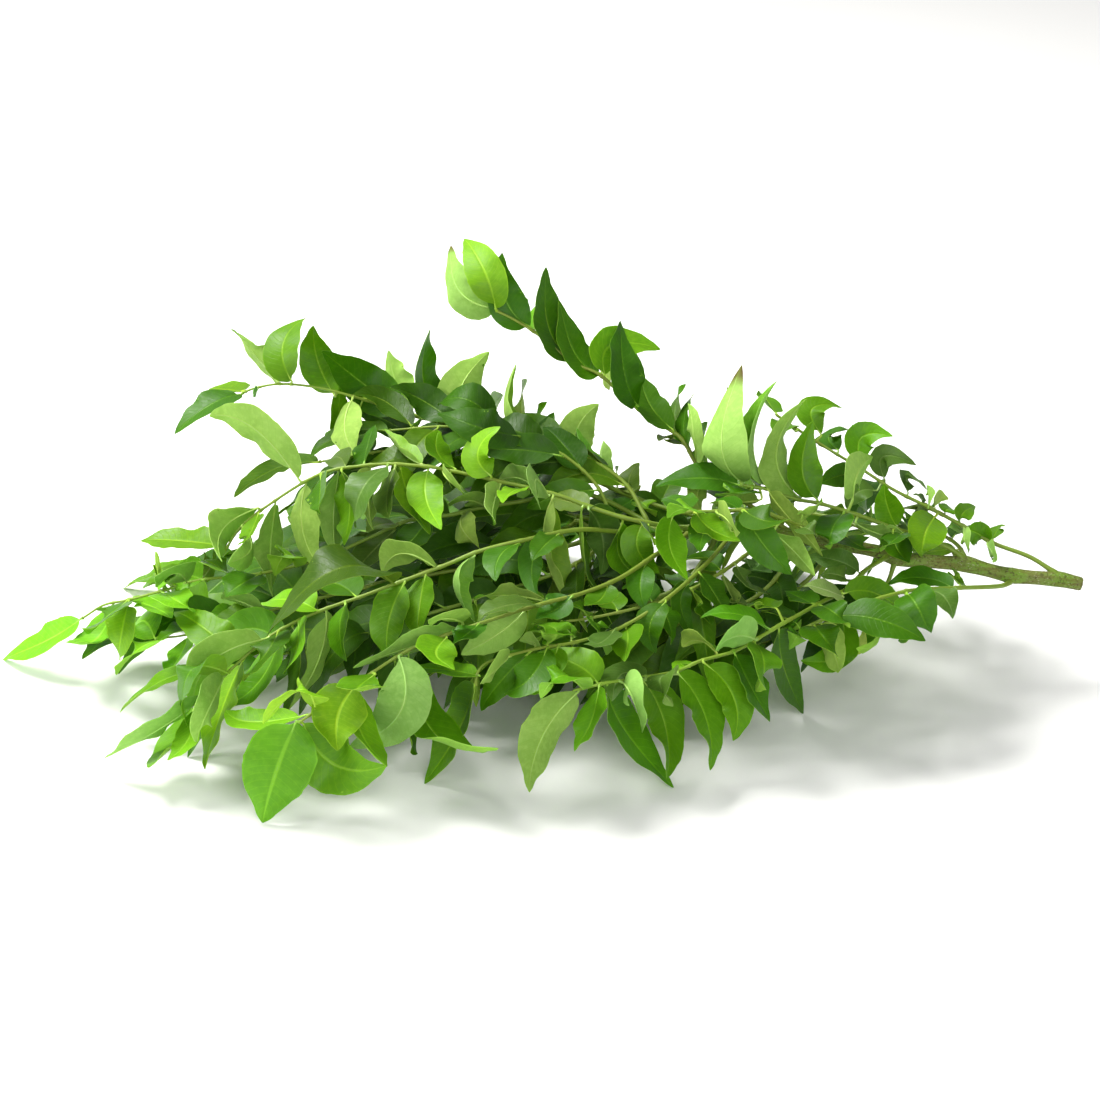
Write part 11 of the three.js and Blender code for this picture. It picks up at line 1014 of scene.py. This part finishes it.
class Shell:
    """Collects closed lofts, then becomes one Blender mesh."""

    def __init__(self):
        self.v, self.col, self.uv, self.f, self.m, self.n = [], [], [], [], [], 0

    def loft(self, rings, uvs, cols, mats, cap_mat=None):
        """rings (k, n, 3); uvs (k, n, 2); cols (k, n, 3); mats per column (n). Closed round n, capped at both ends."""
        k, n = rings.shape[:2]
        base = self.n
        self.v.append(rings.reshape(-1, 3))
        self.uv.append(uvs.reshape(-1, 2))
        self.col.append(cols.reshape(-1, 3))
        self.n += k * n
        i, j = np.meshgrid(np.arange(k - 1), np.arange(n), indexing="ij")
        j2 = (j + 1) % n
        quads = np.stack([i * n + j, i * n + j2, (i + 1) * n + j2, (i + 1) * n + j], -1) + base
        self.f += quads.reshape(-1, 4).tolist()
        self.m += np.broadcast_to(np.asarray(mats)[None, :], (k - 1, n)).reshape(-1).tolist()
        cap = mats[0] if cap_mat is None else cap_mat
        self.f.append((base + np.arange(n)[::-1]).tolist())
        self.f.append((base + (k - 1) * n + np.arange(n)).tolist())
        self.m += [cap, cap]

    def tube(self, path, radii, sides, col, mat, cap_mat=None, bump=None):
        t, a, b = frames(path)
        ang = np.arange(sides) * 2 * np.pi / sides
        ring = np.cos(ang)[None, :, None] * a[:, None, :] + np.sin(ang)[None, :, None] * b[:, None, :]
        r = np.asarray(radii, float)[:, None, None] * np.ones((1, sides, 1))
        if bump is not None:
            r = r + bump(ring, path)[..., None]
        pts = path[:, None, :] + ring * r
        s = arc_of(path)
        uv = np.stack(np.broadcast_arrays((ang / (2 * np.pi))[None, :], s[:, None]), -1)
        cols = np.broadcast_to(np.asarray(col, float).reshape(-1, 1, 3), (len(path), sides, 3))
        # wound so that the faces point out
        self.loft(pts, uv, cols, np.full(sides, mat), cap_mat)
        return pts

    def mesh(self, name, materials, sharp=50):
        me = bpy.data.meshes.new(name)
        v = np.vstack(self.v) * 0.001
        v[:, 2] = np.maximum(v[:, 2], 0.00004)
        me.from_pydata(v.tolist(), [], self.f)
        me.polygons.foreach_set("material_index", np.array(self.m, np.int32))
        me.polygons.foreach_set("use_smooth", np.ones(len(self.f), bool))
        loops = np.empty(len(me.loops), np.int32)
        me.loops.foreach_get("vertex_index", loops)
        layer = me.uv_layers.new(name="leaf")
        layer.data.foreach_set("uv", np.vstack(self.uv)[loops].astype(np.float32).ravel())
        tone = me.color_attributes.new("tone", "FLOAT_COLOR", "POINT")
        rgba = np.ones((self.n, 4), np.float32)
        rgba[:, :3] = np.clip(np.vstack(self.col), 0, 1)
        tone.data.foreach_set("color", rgba.ravel())
        for m in materials:
            me.materials.append(m)
        me.set_sharp_from_angle(angle=math.radians(sharp))
        me.update()
        ob = bpy.data.objects.new(name, me)
        bpy.context.scene.collection.objects.link(ob)
        return ob


# ------------------------------------------------------------------ materials
class Graph:
    def __init__(self, name):
        self.mat = bpy.data.materials.new(name)
        self.mat.use_nodes = True
        self.nt = self.mat.node_tree
        self.nt.nodes.clear()
        self.out = self.nt.nodes.new("ShaderNodeOutputMaterial")

    def add(self, kind, **props):
        n = self.nt.nodes.new(kind)
        for k, v in props.items():
            setattr(n, k, v)
        return n

    def put(self, socket, value):
        if isinstance(value, bpy.types.NodeSocket):
            self.nt.links.new(value, socket)
        elif isinstance(value, (tuple, list, np.ndarray)):
            value = [float(x) for x in value]
            socket.default_value = value + [1.0] if len(value) == 3 and len(socket.default_value) == 4 else value
        else:
            socket.default_value = value

    def math(self, op, a, b=None, c=None, clamp=False):
        n = self.add("ShaderNodeMath", operation=op, use_clamp=clamp)
        for s, v in zip(n.inputs, (a, b, c)):
            if v is not None:
                self.put(s, v)
        return n.outputs[0]

    def step(self, x, a, b, lo=0.0, hi=1.0):
        n = self.add("ShaderNodeMapRange", interpolation_type="SMOOTHSTEP")
        for s, v in zip(("Value", "From Min", "From Max", "To Min", "To Max"), (x, a, b, lo, hi)):
            self.put(n.inputs[s], v)
        return n.outputs[0]

    def mix(self, fac, a, b, blend="MIX"):
        n = self.add("ShaderNodeMix", data_type="RGBA", blend_type=blend)
        self.put(n.inputs[0], fac)
        self.put(n.inputs[6], a)
        self.put(n.inputs[7], b)
        return n.outputs[2]

    def noise(self, vec, scale, detail=3.0, rough=0.5, dist=0.0):
        n = self.add("ShaderNodeTexNoise")
        self.put(n.inputs["Vector"], vec)
        self.put(n.inputs["Scale"], scale)
        self.put(n.inputs["Detail"], detail)
        self.put(n.inputs["Roughness"], rough)
        self.put(n.inputs["Distortion"], dist)
        return n.outputs[0]

    def place(self):
        return self.add("ShaderNodeTexCoord").outputs["Object"]

    def tone(self):
        return self.add("ShaderNodeAttribute", attribute_name="tone").outputs["Color"]

    def bump(self, height, strength, distance):
        n = self.add("ShaderNodeBump")
        self.put(n.inputs["Strength"], strength)
        self.put(n.inputs["Distance"], distance)
        self.put(n.inputs["Height"], height)
        return n.outputs[0]


def leaf_material(name, under):
    g = Graph(name)
    pos = g.place()
    uvn = g.add("ShaderNodeUVMap", uv_map="leaf")
    sep = g.add("ShaderNodeSeparateXYZ")
    g.put(sep.inputs[0], uvn.outputs[0])
    x, y = sep.outputs[0], sep.outputs[1]
    au = g.math("ABSOLUTE", g.math("MULTIPLY_ADD", x, 2.0, -1.0))
    wob = g.noise(pos, 160.0, 1.0)
    side = g.math("MULTIPLY", g.math("GREATER_THAN", x, 0.5), 0.47)
    # side veins leave the midrib at about 55 degrees and bend up near the margin
    q = g.math("SUBTRACT", y, g.math("MULTIPLY", au, 0.10))
    q = g.math("SUBTRACT", q, g.math("MULTIPLY", g.math("MULTIPLY", au, au), 0.05))
    q = g.math("ADD", q, g.math("MULTIPLY_ADD", wob, 0.03, -0.015))
    ph = g.math("FRACT", g.math("ADD", g.math("MULTIPLY", q, 15.0), side))
    tri = g.math("MULTIPLY", g.math("ABSOLUTE", g.math("SUBTRACT", ph, 0.5)), 2.0)
    vein = g.step(tri, 0.84, 0.985)
    vein = g.math("MULTIPLY", vein, g.step(au, 1.0, 0.72))
    mid = g.step(au, 0.085, 0.03)
    margin = g.step(au, 0.93, 0.985)
    vor = g.add("ShaderNodeTexVoronoi", feature="DISTANCE_TO_EDGE")
    g.put(vor.inputs["Vector"], pos)
    g.put(vor.inputs["Scale"], 620.0)
    net = g.step(vor.outputs[0], 0.07, 0.0)
    big = g.noise(pos, 45.0, 2.0, 0.6)
    small = g.noise(pos, 420.0, 2.0, 0.6)
    tone = g.tone()
    # slow mottling, then veins, midrib and margin
    c = g.mix(g.step(big, 0.34, 0.66, 0.0, 0.62), tone, g.mix(1.0, tone, (0.70, 0.80, 0.55), "MULTIPLY"))
    c = g.mix(g.step(small, 0.40, 0.70, 0.0, 0.42), c, g.mix(1.0, tone, (1.32, 1.18, 1.35), "MULTIPLY"))
    if under:
        c = g.mix(g.math("MULTIPLY", vein, 0.30), c, g.mix(1.0, tone, (0.66, 0.84, 0.45), "MULTIPLY"))
        c = g.mix(g.math("MULTIPLY", net, 0.14), c, g.mix(1.0, tone, (0.70, 0.86, 0.5), "MULTIPLY"))
        c = g.mix(g.math("MULTIPLY", mid, 0.40), c, g.mix(1.0, tone, (1.25, 1.16, 1.15), "MULTIPLY"))
        c = g.mix(g.math("MULTIPLY", margin, 0.40), c, g.mix(1.0, tone, (1.3, 1.2, 1.2), "MULTIPLY"))
    else:
        c = g.mix(g.math("MULTIPLY", vein, 0.30), c, g.mix(1.0, tone, (1.75, 1.45, 1.7), "MULTIPLY"))
        c = g.mix(g.math("MULTIPLY", net, 0.10), c, g.mix(1.0, tone, (0.6, 0.78, 0.6), "MULTIPLY"))
        c = g.mix(g.math("MULTIPLY", mid, 0.55), c, g.mix(1.0, tone, (2.1, 1.65, 3.0), "MULTIPLY"))
        c = g.mix(g.math("MULTIPLY", margin, 0.45), c, g.mix(1.0, tone, (1.9, 1.55, 2.4), "MULTIPLY"))
    b = g.add("ShaderNodeBsdfPrincipled")
    g.put(b.inputs["Base Color"], c)
    h = g.math("ADD", g.math("MULTIPLY", vein, 0.5 if under else -0.55), g.math("MULTIPLY", net, -0.16))
    h = g.math("ADD", h, g.math("MULTIPLY", small, 0.42))
    h = g.math("ADD", h, g.math("MULTIPLY", mid, 0.4 if under else -0.7))
    g.put(b.inputs["Normal"], g.bump(h, 0.55, 0.00018))
    if under:
        g.put(b.inputs["Roughness"], g.step(small, 0.3, 0.75, 0.52, 0.66))
        b.inputs["Specular IOR Level"].default_value = 0.14
    else:
        g.put(b.inputs["Roughness"], g.step(small, 0.3, 0.75, 0.36, 0.50))
        b.inputs["Specular IOR Level"].default_value = 0.24
    tr = g.add("ShaderNodeBsdfTranslucent")
    g.put(tr.inputs["Color"], g.mix(1.0, c, (1.7, 1.42, 0.7) if not under else (1.3, 1.3, 0.5), "MULTIPLY"))
    ms = g.add("ShaderNodeMixShader")
    ms.inputs[0].default_value = 0.34 if under else 0.30
    g.put(ms.inputs[1], b.outputs[0])
    g.put(ms.inputs[2], tr.outputs[0])
    g.put(g.out.inputs[0], ms.outputs[0])
    return g.mat


def stalk_material():
    g = Graph("stalk_skin")
    pos = g.place()
    tone = g.tone()
    n1 = g.noise(pos, 130.0, 4.0, 0.6)
    n2 = g.noise(pos, 900.0, 2.0, 0.5)
    c = g.mix(g.step(n1, 0.38, 0.72, 0.0, 0.55), tone, g.mix(1.0, tone, (0.92, 0.72, 0.62), "MULTIPLY"))
    c = g.mix(g.step(n2, 0.58, 0.74, 0.0, 0.30), c, g.mix(1.0, tone, (1.35, 1.25, 1.3), "MULTIPLY"))
    b = g.add("ShaderNodeBsdfPrincipled")
    g.put(b.inputs["Base Color"], c)
    g.put(b.inputs["Roughness"], g.step(n1, 0.3, 0.7, 0.42, 0.58))
    b.inputs["Specular IOR Level"].default_value = 0.4
    g.put(b.inputs["Normal"], g.bump(n2, 0.35, 0.00015))
    g.put(g.out.inputs[0], b.outputs[0])
    return g.mat


def bark_material():
    g = Graph("young_bark")
    pos = g.place()
    tone = g.tone()
    # streaks run along the stem, so the long way is squeezed

    def stretched(x, y, z):
        n = g.add("ShaderNodeVectorMath", operation="MULTIPLY")
        g.put(n.inputs[0], pos)
        g.put(n.inputs[1], (x, y, z))
        return n.outputs[0]

    streak = g.noise(stretched(110.0, 720.0, 720.0), 1.0, 4.0, 0.65)
    vor = g.add("ShaderNodeTexVoronoi", feature="F1")
    g.put(vor.inputs["Vector"], stretched(620.0, 1150.0, 1150.0))
    g.put(vor.inputs["Scale"], 1.0)
    g.put(vor.inputs["Randomness"], 1.0)
    spot = g.step(vor.outputs[0], 0.30, 0.14)
    fine = g.noise(pos, 900.0, 3.0, 0.6)
    patch = g.noise(pos, 90.0, 3.0, 0.6)
    c = g.mix(g.step(streak, 0.40, 0.62, 0.0, 0.85), tone, g.mix(1.0, tone, (0.82, 0.52, 0.60), "MULTIPLY"))
    c = g.mix(g.step(patch, 0.45, 0.7, 0.0, 0.45), c, srgb(108, 112, 62))
    c = g.mix(g.math("MULTIPLY", spot, g.step(patch, 0.34, 0.62, 0.15, 0.80)), c, srgb(156, 156, 116))
    c = g.mix(g.step(fine, 0.50, 0.68, 0.0, 0.75), c, srgb(66, 62, 30))
    b = g.add("ShaderNodeBsdfPrincipled")
    g.put(b.inputs["Base Color"], c)
    g.put(b.inputs["Roughness"], g.step(fine, 0.3, 0.7, 0.55, 0.78))
    b.inputs["Specular IOR Level"].default_value = 0.3
    h = g.math("ADD", g.math("MULTIPLY", spot, 0.8), g.math("MULTIPLY", streak, 0.8))
    h = g.math("ADD", h, g.math("MULTIPLY", fine, 0.5))
    g.put(b.inputs["Normal"], g.bump(h, 0.6, 0.0003))
    g.put(g.out.inputs[0], b.outputs[0])
    return g.mat


def cut_material():
    g = Graph("cut_wood")
    uvn = g.add("ShaderNodeUVMap", uv_map="leaf")
    sep = g.add("ShaderNodeSeparateXYZ")
    g.put(sep.inputs[0], uvn.outputs[0])
    pos = g.place()
    n = g.noise(pos, 1400.0, 3.0, 0.6)
    r = sep.outputs[0]
    c = g.mix(g.step(r, 0.18, 0.30), srgb(196, 190, 150), srgb(150, 148, 112))
    c = g.mix(g.step(r, 0.74, 0.86), c, srgb(96, 104, 60))
    c = g.mix(g.step(n, 0.40, 0.72, 0.0, 0.5), c, srgb(98, 90, 66))
    b = g.add("ShaderNodeBsdfPrincipled")
    g.put(b.inputs["Base Color"], c)
    g.put(b.inputs["Roughness"], g.step(n, 0.3, 0.7, 0.7, 0.85))
    g.put(b.inputs["Normal"], g.bump(n, 0.6, 0.0003))
    g.put(g.out.inputs[0], b.outputs[0])
    return g.mat


TOP = leaf_material("leaflet_top", False)
UNDER = leaf_material("leaflet_underside", True)
STALK = stalk_material()
BARK = bark_material()
CUT = cut_material()

# ------------------------------------------------------------------ leaflets
# Upper and lower side of a leaflet by its kind: T deep green, M mid green, U seen from
# below, B bright yellow-green as painted light shining through, F light green, G and S greyer as painted reflection and
# sheen.
TONES = {
    "T": (srgb(64, 114, 4), srgb(138, 184, 58)),
    "M": (srgb(92, 144, 12), srgb(150, 192, 68)),
    "U": (srgb(78, 130, 10), srgb(160, 198, 94)),
    "B": (srgb(114, 170, 26), srgb(148, 194, 62)),
    "F": (srgb(122, 170, 48), srgb(158, 196, 98)),
    "G": (srgb(88, 122, 42), srgb(136, 168, 80)),
    "S": (srgb(128, 156, 86), srgb(164, 192, 116)),
}
BROWN = srgb(86, 62, 24)
STALK_GREEN = srgb(116, 150, 40)
STALK_BROWN = srgb(102, 84, 42)

V_HALF = np.array([0.0, 0.06, 0.20, 0.44, 0.74, 1.0])
V_ALL = np.r_[-V_HALF[::-1], V_HALF[1:]]


def half_width(t):
    t = np.clip(t, 0, 1)
    return np.clip(t ** 0.55 * (1 - t) ** 0.85 * 2.556, 0, 1.05)


def blade_axes(l, t):
    tt = t[:, None]
    q = 2 * l["M"] - (l["B"] + l["T"]) / 2
    c = (1 - tt) ** 2 * l["B"] + 2 * tt * (1 - tt) * q + tt * tt * l["T"]
    d = unit(2 * (1 - tt) * (q - l["B"]) + 2 * tt * (l["T"] - q))
    n = unit(l["N"][None, :] - (d @ l["N"])[:, None] * d)
    a = (l["twist"] * (t - 0.5))[:, None]
    s = np.cross(d, n)
    n2 = n * np.cos(a) + s * np.sin(a)
    return c, d, n2, np.cross(d, n2)


def leaflet(shell, l, rng):
    length = float(np.linalg.norm(l["M"] - l["B"]) + np.linalg.norm(l["T"] - l["M"]))
    w_full = l["W"]
    nt = int(np.clip(length / 1.55, 14, 28))
    u = np.linspace(0, 1, nt + 1)
    t = 0.5 * u + 0.5 * (0.5 - 0.5 * np.cos(np.pi * u))
    t = np.r_[0.0003, 0.004, 0.013, 0.027 + 0.95 * t[1:-1], 0.989, 0.9965]
    c, d, n, s = blade_axes(l, t)
    v = V_ALL
    side = np.sign(v)
    av = np.abs(v)
    shift = rng.uniform(0.02, 0.07) * rng.choice([-1, 1])
    # the blade starts a little lower on one side of the stalk, and ends in a drawn-out tip
    t0 = np.where(side * shift > 0, abs(shift), 0.0)
    tt = (t[:, None] - t0[None, :]) / (1 - t0[None, :])
    hw = w_full / 2 * half_width(np.clip(tt, 0.0003, 1))
    hw = hw * (1 - 0.16 * np.exp(-((t[:, None] - 0.88) / 0.06) ** 2))
    # the margin is a little uneven
    rough = 1 + 0.014 * rng.normal(0, 1, (len(t), 2))
    hw = hw * np.where(av[None, :] > 0.95, np.where(side[None, :] > 0, rough[:, :1], rough[:, 1:]), 1.0)
    f = l["fold"]
    out = hw * np.cos(f) * av[None, :]
    up = hw * np.sin(f) * av[None, :] ** 1.35
    env = np.sin(np.pi * np.clip(t, 0, 1)) ** 0.7
    wave = np.zeros_like(hw)
    for sg in (-1, 1):
        a1 = rng.uniform(0.025, 0.070) * w_full
        k1 = rng.uniform(1.2, 2.6)
        k2 = rng.uniform(3.0, 4.6)
        p1, p2 = rng.uniform(0, 2 * np.pi, 2)
        w = a1 * np.sin(2 * np.pi * k1 * t + p1) + 0.42 * a1 * np.sin(2 * np.pi * k2 * t + p2)
        wave += w[:, None] * (side[None, :] == sg)
    wave *= av[None, :] ** 2.0 * env[:, None]
    # the tip hooks a little downwards
    hook = -rng.uniform(0.0, 1.1) * smooth(t, 0.80, 1.0) ** 2
    z = up + wave + hook[:, None]
    groove = -0.16 * np.exp(-(av / 0.045) ** 2)
    th = (0.30 - 0.13 * av[None, :] ** 2) * (0.55 + 0.45 * np.minimum(env * 1.6, 1.0))[:, None]
    mid = c[:, None, :] + s[:, None, :] * (out * side[None, :])[..., None] + n[:, None, :] * z[..., None]
    top = mid + n[:, None, :] * (th / 2 + groove[None, :] * env[:, None])[..., None]
    bot = mid - n[:, None, :] * (th / 2)[..., None]
    ring = np.concatenate([top, bot[:, ::-1]], axis=1)
    nv = len(v)
    uvt = np.stack(np.broadcast_arrays(0.5 + 0.5 * v[None, :], t[:, None]), -1)
    uv = np.concatenate([uvt, uvt[:, ::-1]], axis=1)
    # colour: the kind's colours times a factor that paints light or shade, with a small random spread in lightness and
    # hue
    ct, cu = (np.array(x) for x in TONES[l["kind"]])
    j = rng.normal(0, 1, 3)
    painted_light_shade_jitter = l["tone"] * (1 + 0.075 * j[0])
    hue = 1 + 0.07 * j[1]
    ct = ct * painted_light_shade_jitter * np.array([hue, 1.0, 1 / hue])
    cu = cu * (0.4 + 0.6 * painted_light_shade_jitter) * np.array([hue, 1.0, 1 / hue])
    young = 1 + 0.10 * smooth(t, 0.5, 1.0) - 0.06 * smooth(t, 0.35, 0.0)
    colt = ct[None, None, :] * young[:, None, None] * np.ones((1, nv, 1))
    colu = cu[None, None, :] * young[:, None, None] * np.ones((1, nv, 1))
    if l["brown"] > 0:
        m = (smooth(t, 1 - l["brown"], 1 - 0.3 * l["brown"])[:, None] * (0.75 + 0.25 * av[None, :]))[..., None]
        colt = colt * (1 - m) + BROWN * m
        colu = colu * (1 - m) + BROWN * 1.2 * m
    cols = np.concatenate([colt, colu[:, ::-1]], axis=1)
    mats = np.r_[np.zeros(nv, int), np.ones(nv - 1, int), 0]
    shell.loft(ring, uv, cols, mats, 0)
    # stalk and midrib: one tapering cord from the rachis into the underside of the blade
    g = np.linspace(0, 1, 6)[:-1][:, None]
    b0 = c[0]
    reach = float(np.linalg.norm(b0 - l["P"]))
    p1 = l["P"] + unit(b0 - l["P"]) * reach * 0.4
    p2 = b0 - d[0] * reach * 0.35
    stalk = (1 - g) ** 3 * l["P"] + 3 * (1 - g) ** 2 * g * p1 + 3 * (1 - g) * g ** 2 * p2 + g ** 3 * b0
    tm = np.linspace(0, 0.93, 13)
    cm, dm, nm, sm = blade_axes(l, np.clip(tm, 0.010, 1))
    zc = np.interp(tm, t, hook)
    rm = 0.30 * (1 - tm) ** 0.8 + 0.06
    rm *= np.clip(w_full / 14.0, 0.6, 1.1)
    down = rm * 0.85 * smooth(tm, 0.0, 0.12)
    rib = cm - nm * down[:, None] + nm * zc[:, None]
    path = np.vstack([stalk, rib])
    rs = np.r_[np.linspace(0.62, 0.46, 5) * np.clip(w_full / 14.0, 0.7, 1.1), rm]
    rs[0] *= 1.25
    blend = np.r_[np.linspace(0.35, 1, 5), np.ones(13)][:, None]
    vein = cu * np.array([1.05, 1.03, 1.0])
    sc2 = STALK_GREEN * (1 - blend) + vein * blend
    shell.tube(path, rs, 6, sc2, 2)


# ------------------------------------------------------------------ build
pieces = []
for li, (name, r0, r1, brown, rachis, rows) in enumerate(LEAVES):
    rng = np.random.default_rng(9000 + 17 * li)
    shell = Shell()
    path = fine_curve(rachis, 1.8)
    s = arc_of(path)
    total = s[-1]
    r = r0 + (r1 - r0) * (s / total) ** 0.8
    r = r * (1 + 0.75 * np.exp(-(s / 4.5) ** 2))
    sides = 10
    ls = []
    for row in rows:
        p, b, m, t_ = (np.array(row[i:i + 3], float) for i in (0, 3, 6, 9))
        ls.append(dict(P=p, B=b, M=m, T=t_, N=np.array(row[12:15], float), W=row[15],
                       fold=math.radians(row[16]), twist=math.radians(row[17]), kind=row[18],
                       tone=row[19], brown=row[20]))
    for l in ls:
        k = int(np.argmin(np.linalg.norm(path - l["P"], axis=1)))
        r = r + 0.20 * np.exp(-((s - s[k]) / 1.1) ** 2)
    tip = smooth(s, total, total - 1.5)
    r = 0.88 * r * (0.55 + 0.45 * tip)
    f = np.clip(s / total, 0, 1)[:, None]
    base_col = STALK_GREEN * (1 - brown) + STALK_BROWN * brown
    col = base_col * (0.92 + 0.22 * f) * (1 - 0.10 * np.exp(-(s / 8.0) ** 2))[:, None]
    ph = rng.uniform(0, 6.28)
    shell.tube(path, r, sides, col, 2)
    for l in ls:
        leaflet(shell, l, rng)
    ob = shell.mesh("foliage_" + name, [TOP, UNDER, STALK])
    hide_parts(name)
    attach(ob, "root")
    pieces.append(ob)

# ------------------------------------------------------------------ stem
stem = np.array(STEM, float)
fine = fine_curve(stem, 0.9)
axis, rad = fine[:, :3], fine[:, 3].copy()
s = arc_of(axis)
rng = np.random.default_rng(77)
nodes_at = []
for name, r0, r1, brown, rachis, rows in LEAVES:
    p0, p1 = np.array(rachis[0]), np.array(rachis[1])
    k = int(np.argmin(np.linalg.norm(axis - p0, axis=1)))
    nodes_at.append((s[k], k, np.array(rachis[min(3, len(rachis) - 1)]) - axis[k]))
green = np.zeros(len(s))
for sk, k, dirn in nodes_at:
    green = np.maximum(green, np.exp(-((s - sk) / 7.0) ** 2))
    rad = rad + 0.30 * np.exp(-((s - sk) / 5.0) ** 2)
young = smooth(s, 30, s[-1])


def stem_bump(ring, path):
    """Swelling on the side of each leaf base, low ridges and small corky dots."""
    out = np.zeros(ring.shape[:2])
    for sk, k, dirn in nodes_at:
        u = unit(dirn)
        out += (0.55 * np.exp(-((s - sk - 0.5) / 4.2) ** 2))[:, None] * np.clip(ring @ u, 0, 1) ** 1.5
    ang = np.arange(ring.shape[1]) * 2 * np.pi / ring.shape[1]
    out += 0.035 * np.sin(5 * ang[None, :] + 0.05 * s[:, None]) * (1 - young[:, None])
    for _ in range(240):
        s0, a0 = rng.uniform(1, s[-1]), rng.uniform(0, 2 * np.pi)
        da = (ang - a0 + np.pi) % (2 * np.pi) - np.pi
        out += 0.09 * np.exp(-((s - s0) / 0.9) ** 2)[:, None] * np.exp(-(da / 0.22) ** 2)[None, :]
    return out


old, fresh = srgb(114, 126, 60), srgb(106, 144, 44)
g = np.clip(0.15 + 0.85 * np.maximum(green, 0.75 * young), 0, 1)[:, None]
col = old * (1 - g) + fresh * g
shell = Shell()
SIDES = 32
# the cut face is a little rough and its rim is bevelled
cut_t = unit(axis[1] - axis[0])
start = axis[0]
trim = np.array([0.0, 0.25, 0.6])
path = np.vstack([start + cut_t * x for x in trim[:-1]] + [axis[1:]])
s = arc_of(path)
rr = np.r_[rad[0] * 0.93, rad[0] * 0.985, rad[1:]]
col = np.vstack([col[:2], col[1:]])
young = smooth(s, 30, s[-1])
rr = rr * (0.4 + 0.6 * smooth(s, s[-1] + 0.1, s[-1] - 4.0))
pts = shell.tube(path, rr, SIDES, col, 0, cap_mat=0, bump=stem_bump)
# cut face: rings from the rim to the centre, on their own closed disc
ring0 = pts[0]
cen = ring0.mean(0)
frac = np.array([0.985, 0.9, 0.8, 0.65, 0.5, 0.35, 0.22, 0.12, 0.04])
disc, duv, dcol = [], [], []
for fr in frac:
    rough = 0.05 * np.sin(7 * np.arange(SIDES) * 2 * np.pi / SIDES + 9 * fr) * (fr > 0.1)
    face = cen + (ring0 - cen) * fr - cut_t * (0.10 + 0.12 * (1 - fr) + rough)[:, None]
    disc.append(face)
    duv.append(np.stack([np.full(SIDES, fr), np.zeros(SIDES)], -1))
    dcol.append(np.ones((SIDES, 3)) * 0.5)
back = cen + (ring0 - cen) * 0.97 + cut_t * 0.3
disc = [back] + disc
duv = [np.stack([np.ones(SIDES), np.zeros(SIDES)], -1)] + duv
dcol = [dcol[0]] + dcol
shell.loft(np.array(disc)[::-1], np.array(duv)[::-1], np.array(dcol)[::-1], np.full(SIDES, 1), 1)
# a small resting bud above each leaf base
for (sk, k, dirn), leaf in zip(nodes_at, LEAVES):
    if leaf[0] == "terminal_leaf" or k < 3:
        continue
    tk = unit(axis[min(k + 1, len(axis) - 1)] - axis[k - 1])
    u = unit(dirn - tk * (dirn @ tk))
    size = 0.55 + 0.25 * rng.uniform()
    fwd = tk if (dirn @ tk) > 0 else -tk
    p0 = axis[k] + u * (rad[k] * 0.75) + fwd * 3.4
    x = np.linspace(0, 1, 7)[:, None]
    bud = p0 + u * (2.1 * x) * size + fwd * (2.4 * x ** 1.3) * size
    prof = np.array([0.75, 1.0, 1.02, 0.88, 0.62, 0.34, 0.08]) * size
    shell.tube(bud, prof, 10, fresh * 1.15, 0)
ob = shell.mesh("stem_bark", [BARK, CUT], sharp=60)
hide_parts("main_stem")
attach(ob, "root")

# ------------------------------------------------------------------ floor, light, camera
floor_mesh = bpy.data.meshes.new("floor")
R = 4.0
floor_mesh.from_pydata([(-R, -R, 0), (R, -R, 0), (R, R, 0), (-R, R, 0)], [], [(0, 1, 2, 3)])
floor = bpy.data.objects.new("floor", floor_mesh)
bpy.context.scene.collection.objects.link(floor)
fm = bpy.data.materials.new("floor_white")
fm.use_nodes = True
fb = fm.node_tree.nodes["Principled BSDF"]
fb.inputs["Base Color"].default_value = (0.89, 0.89, 0.89, 1)
fb.inputs["Roughness"].default_value = 0.9
fb.inputs["Specular IOR Level"].default_value = 0.1
floor_mesh.materials.append(fm)

world = bpy.data.worlds.new("studio")
bpy.context.scene.world = world
world.use_nodes = True
bg = world.node_tree.nodes["Background"]
bg.inputs[0].default_value = (1.0, 1.0, 1.0, 1)
bg.inputs[1].default_value = WORLD_STRENGTH


def area(name, loc, target, size, power, colour=(1, 1, 1)):
    data = bpy.data.lights.new(name, "AREA")
    data.shape = "DISK"
    data.size = size
    data.energy = power
    data.color = colour
    ob = bpy.data.objects.new(name, data)
    ob.location = loc
    ob.rotation_euler = (Vector(target) - Vector(loc)).to_track_quat("-Z", "Y").to_euler()
    bpy.context.scene.collection.objects.link(ob)


for spec in LIGHTS:
    area(*spec)

cam = bpy.data.cameras.new("camera")
cam.sensor_width = 36.0
cam.lens = CAMERA_LENS
cam.clip_end = 20
cam_ob = bpy.data.objects.new("camera", cam)
cam_ob.location = CAMERA_AT
cam_ob.rotation_euler = (math.radians(65), 0, 0)
bpy.context.scene.collection.objects.link(cam_ob)
bpy.context.scene.camera = cam_ob
bpy.context.scene.view_settings.view_transform = "Standard"
bpy.context.scene.view_settings.look = "None"
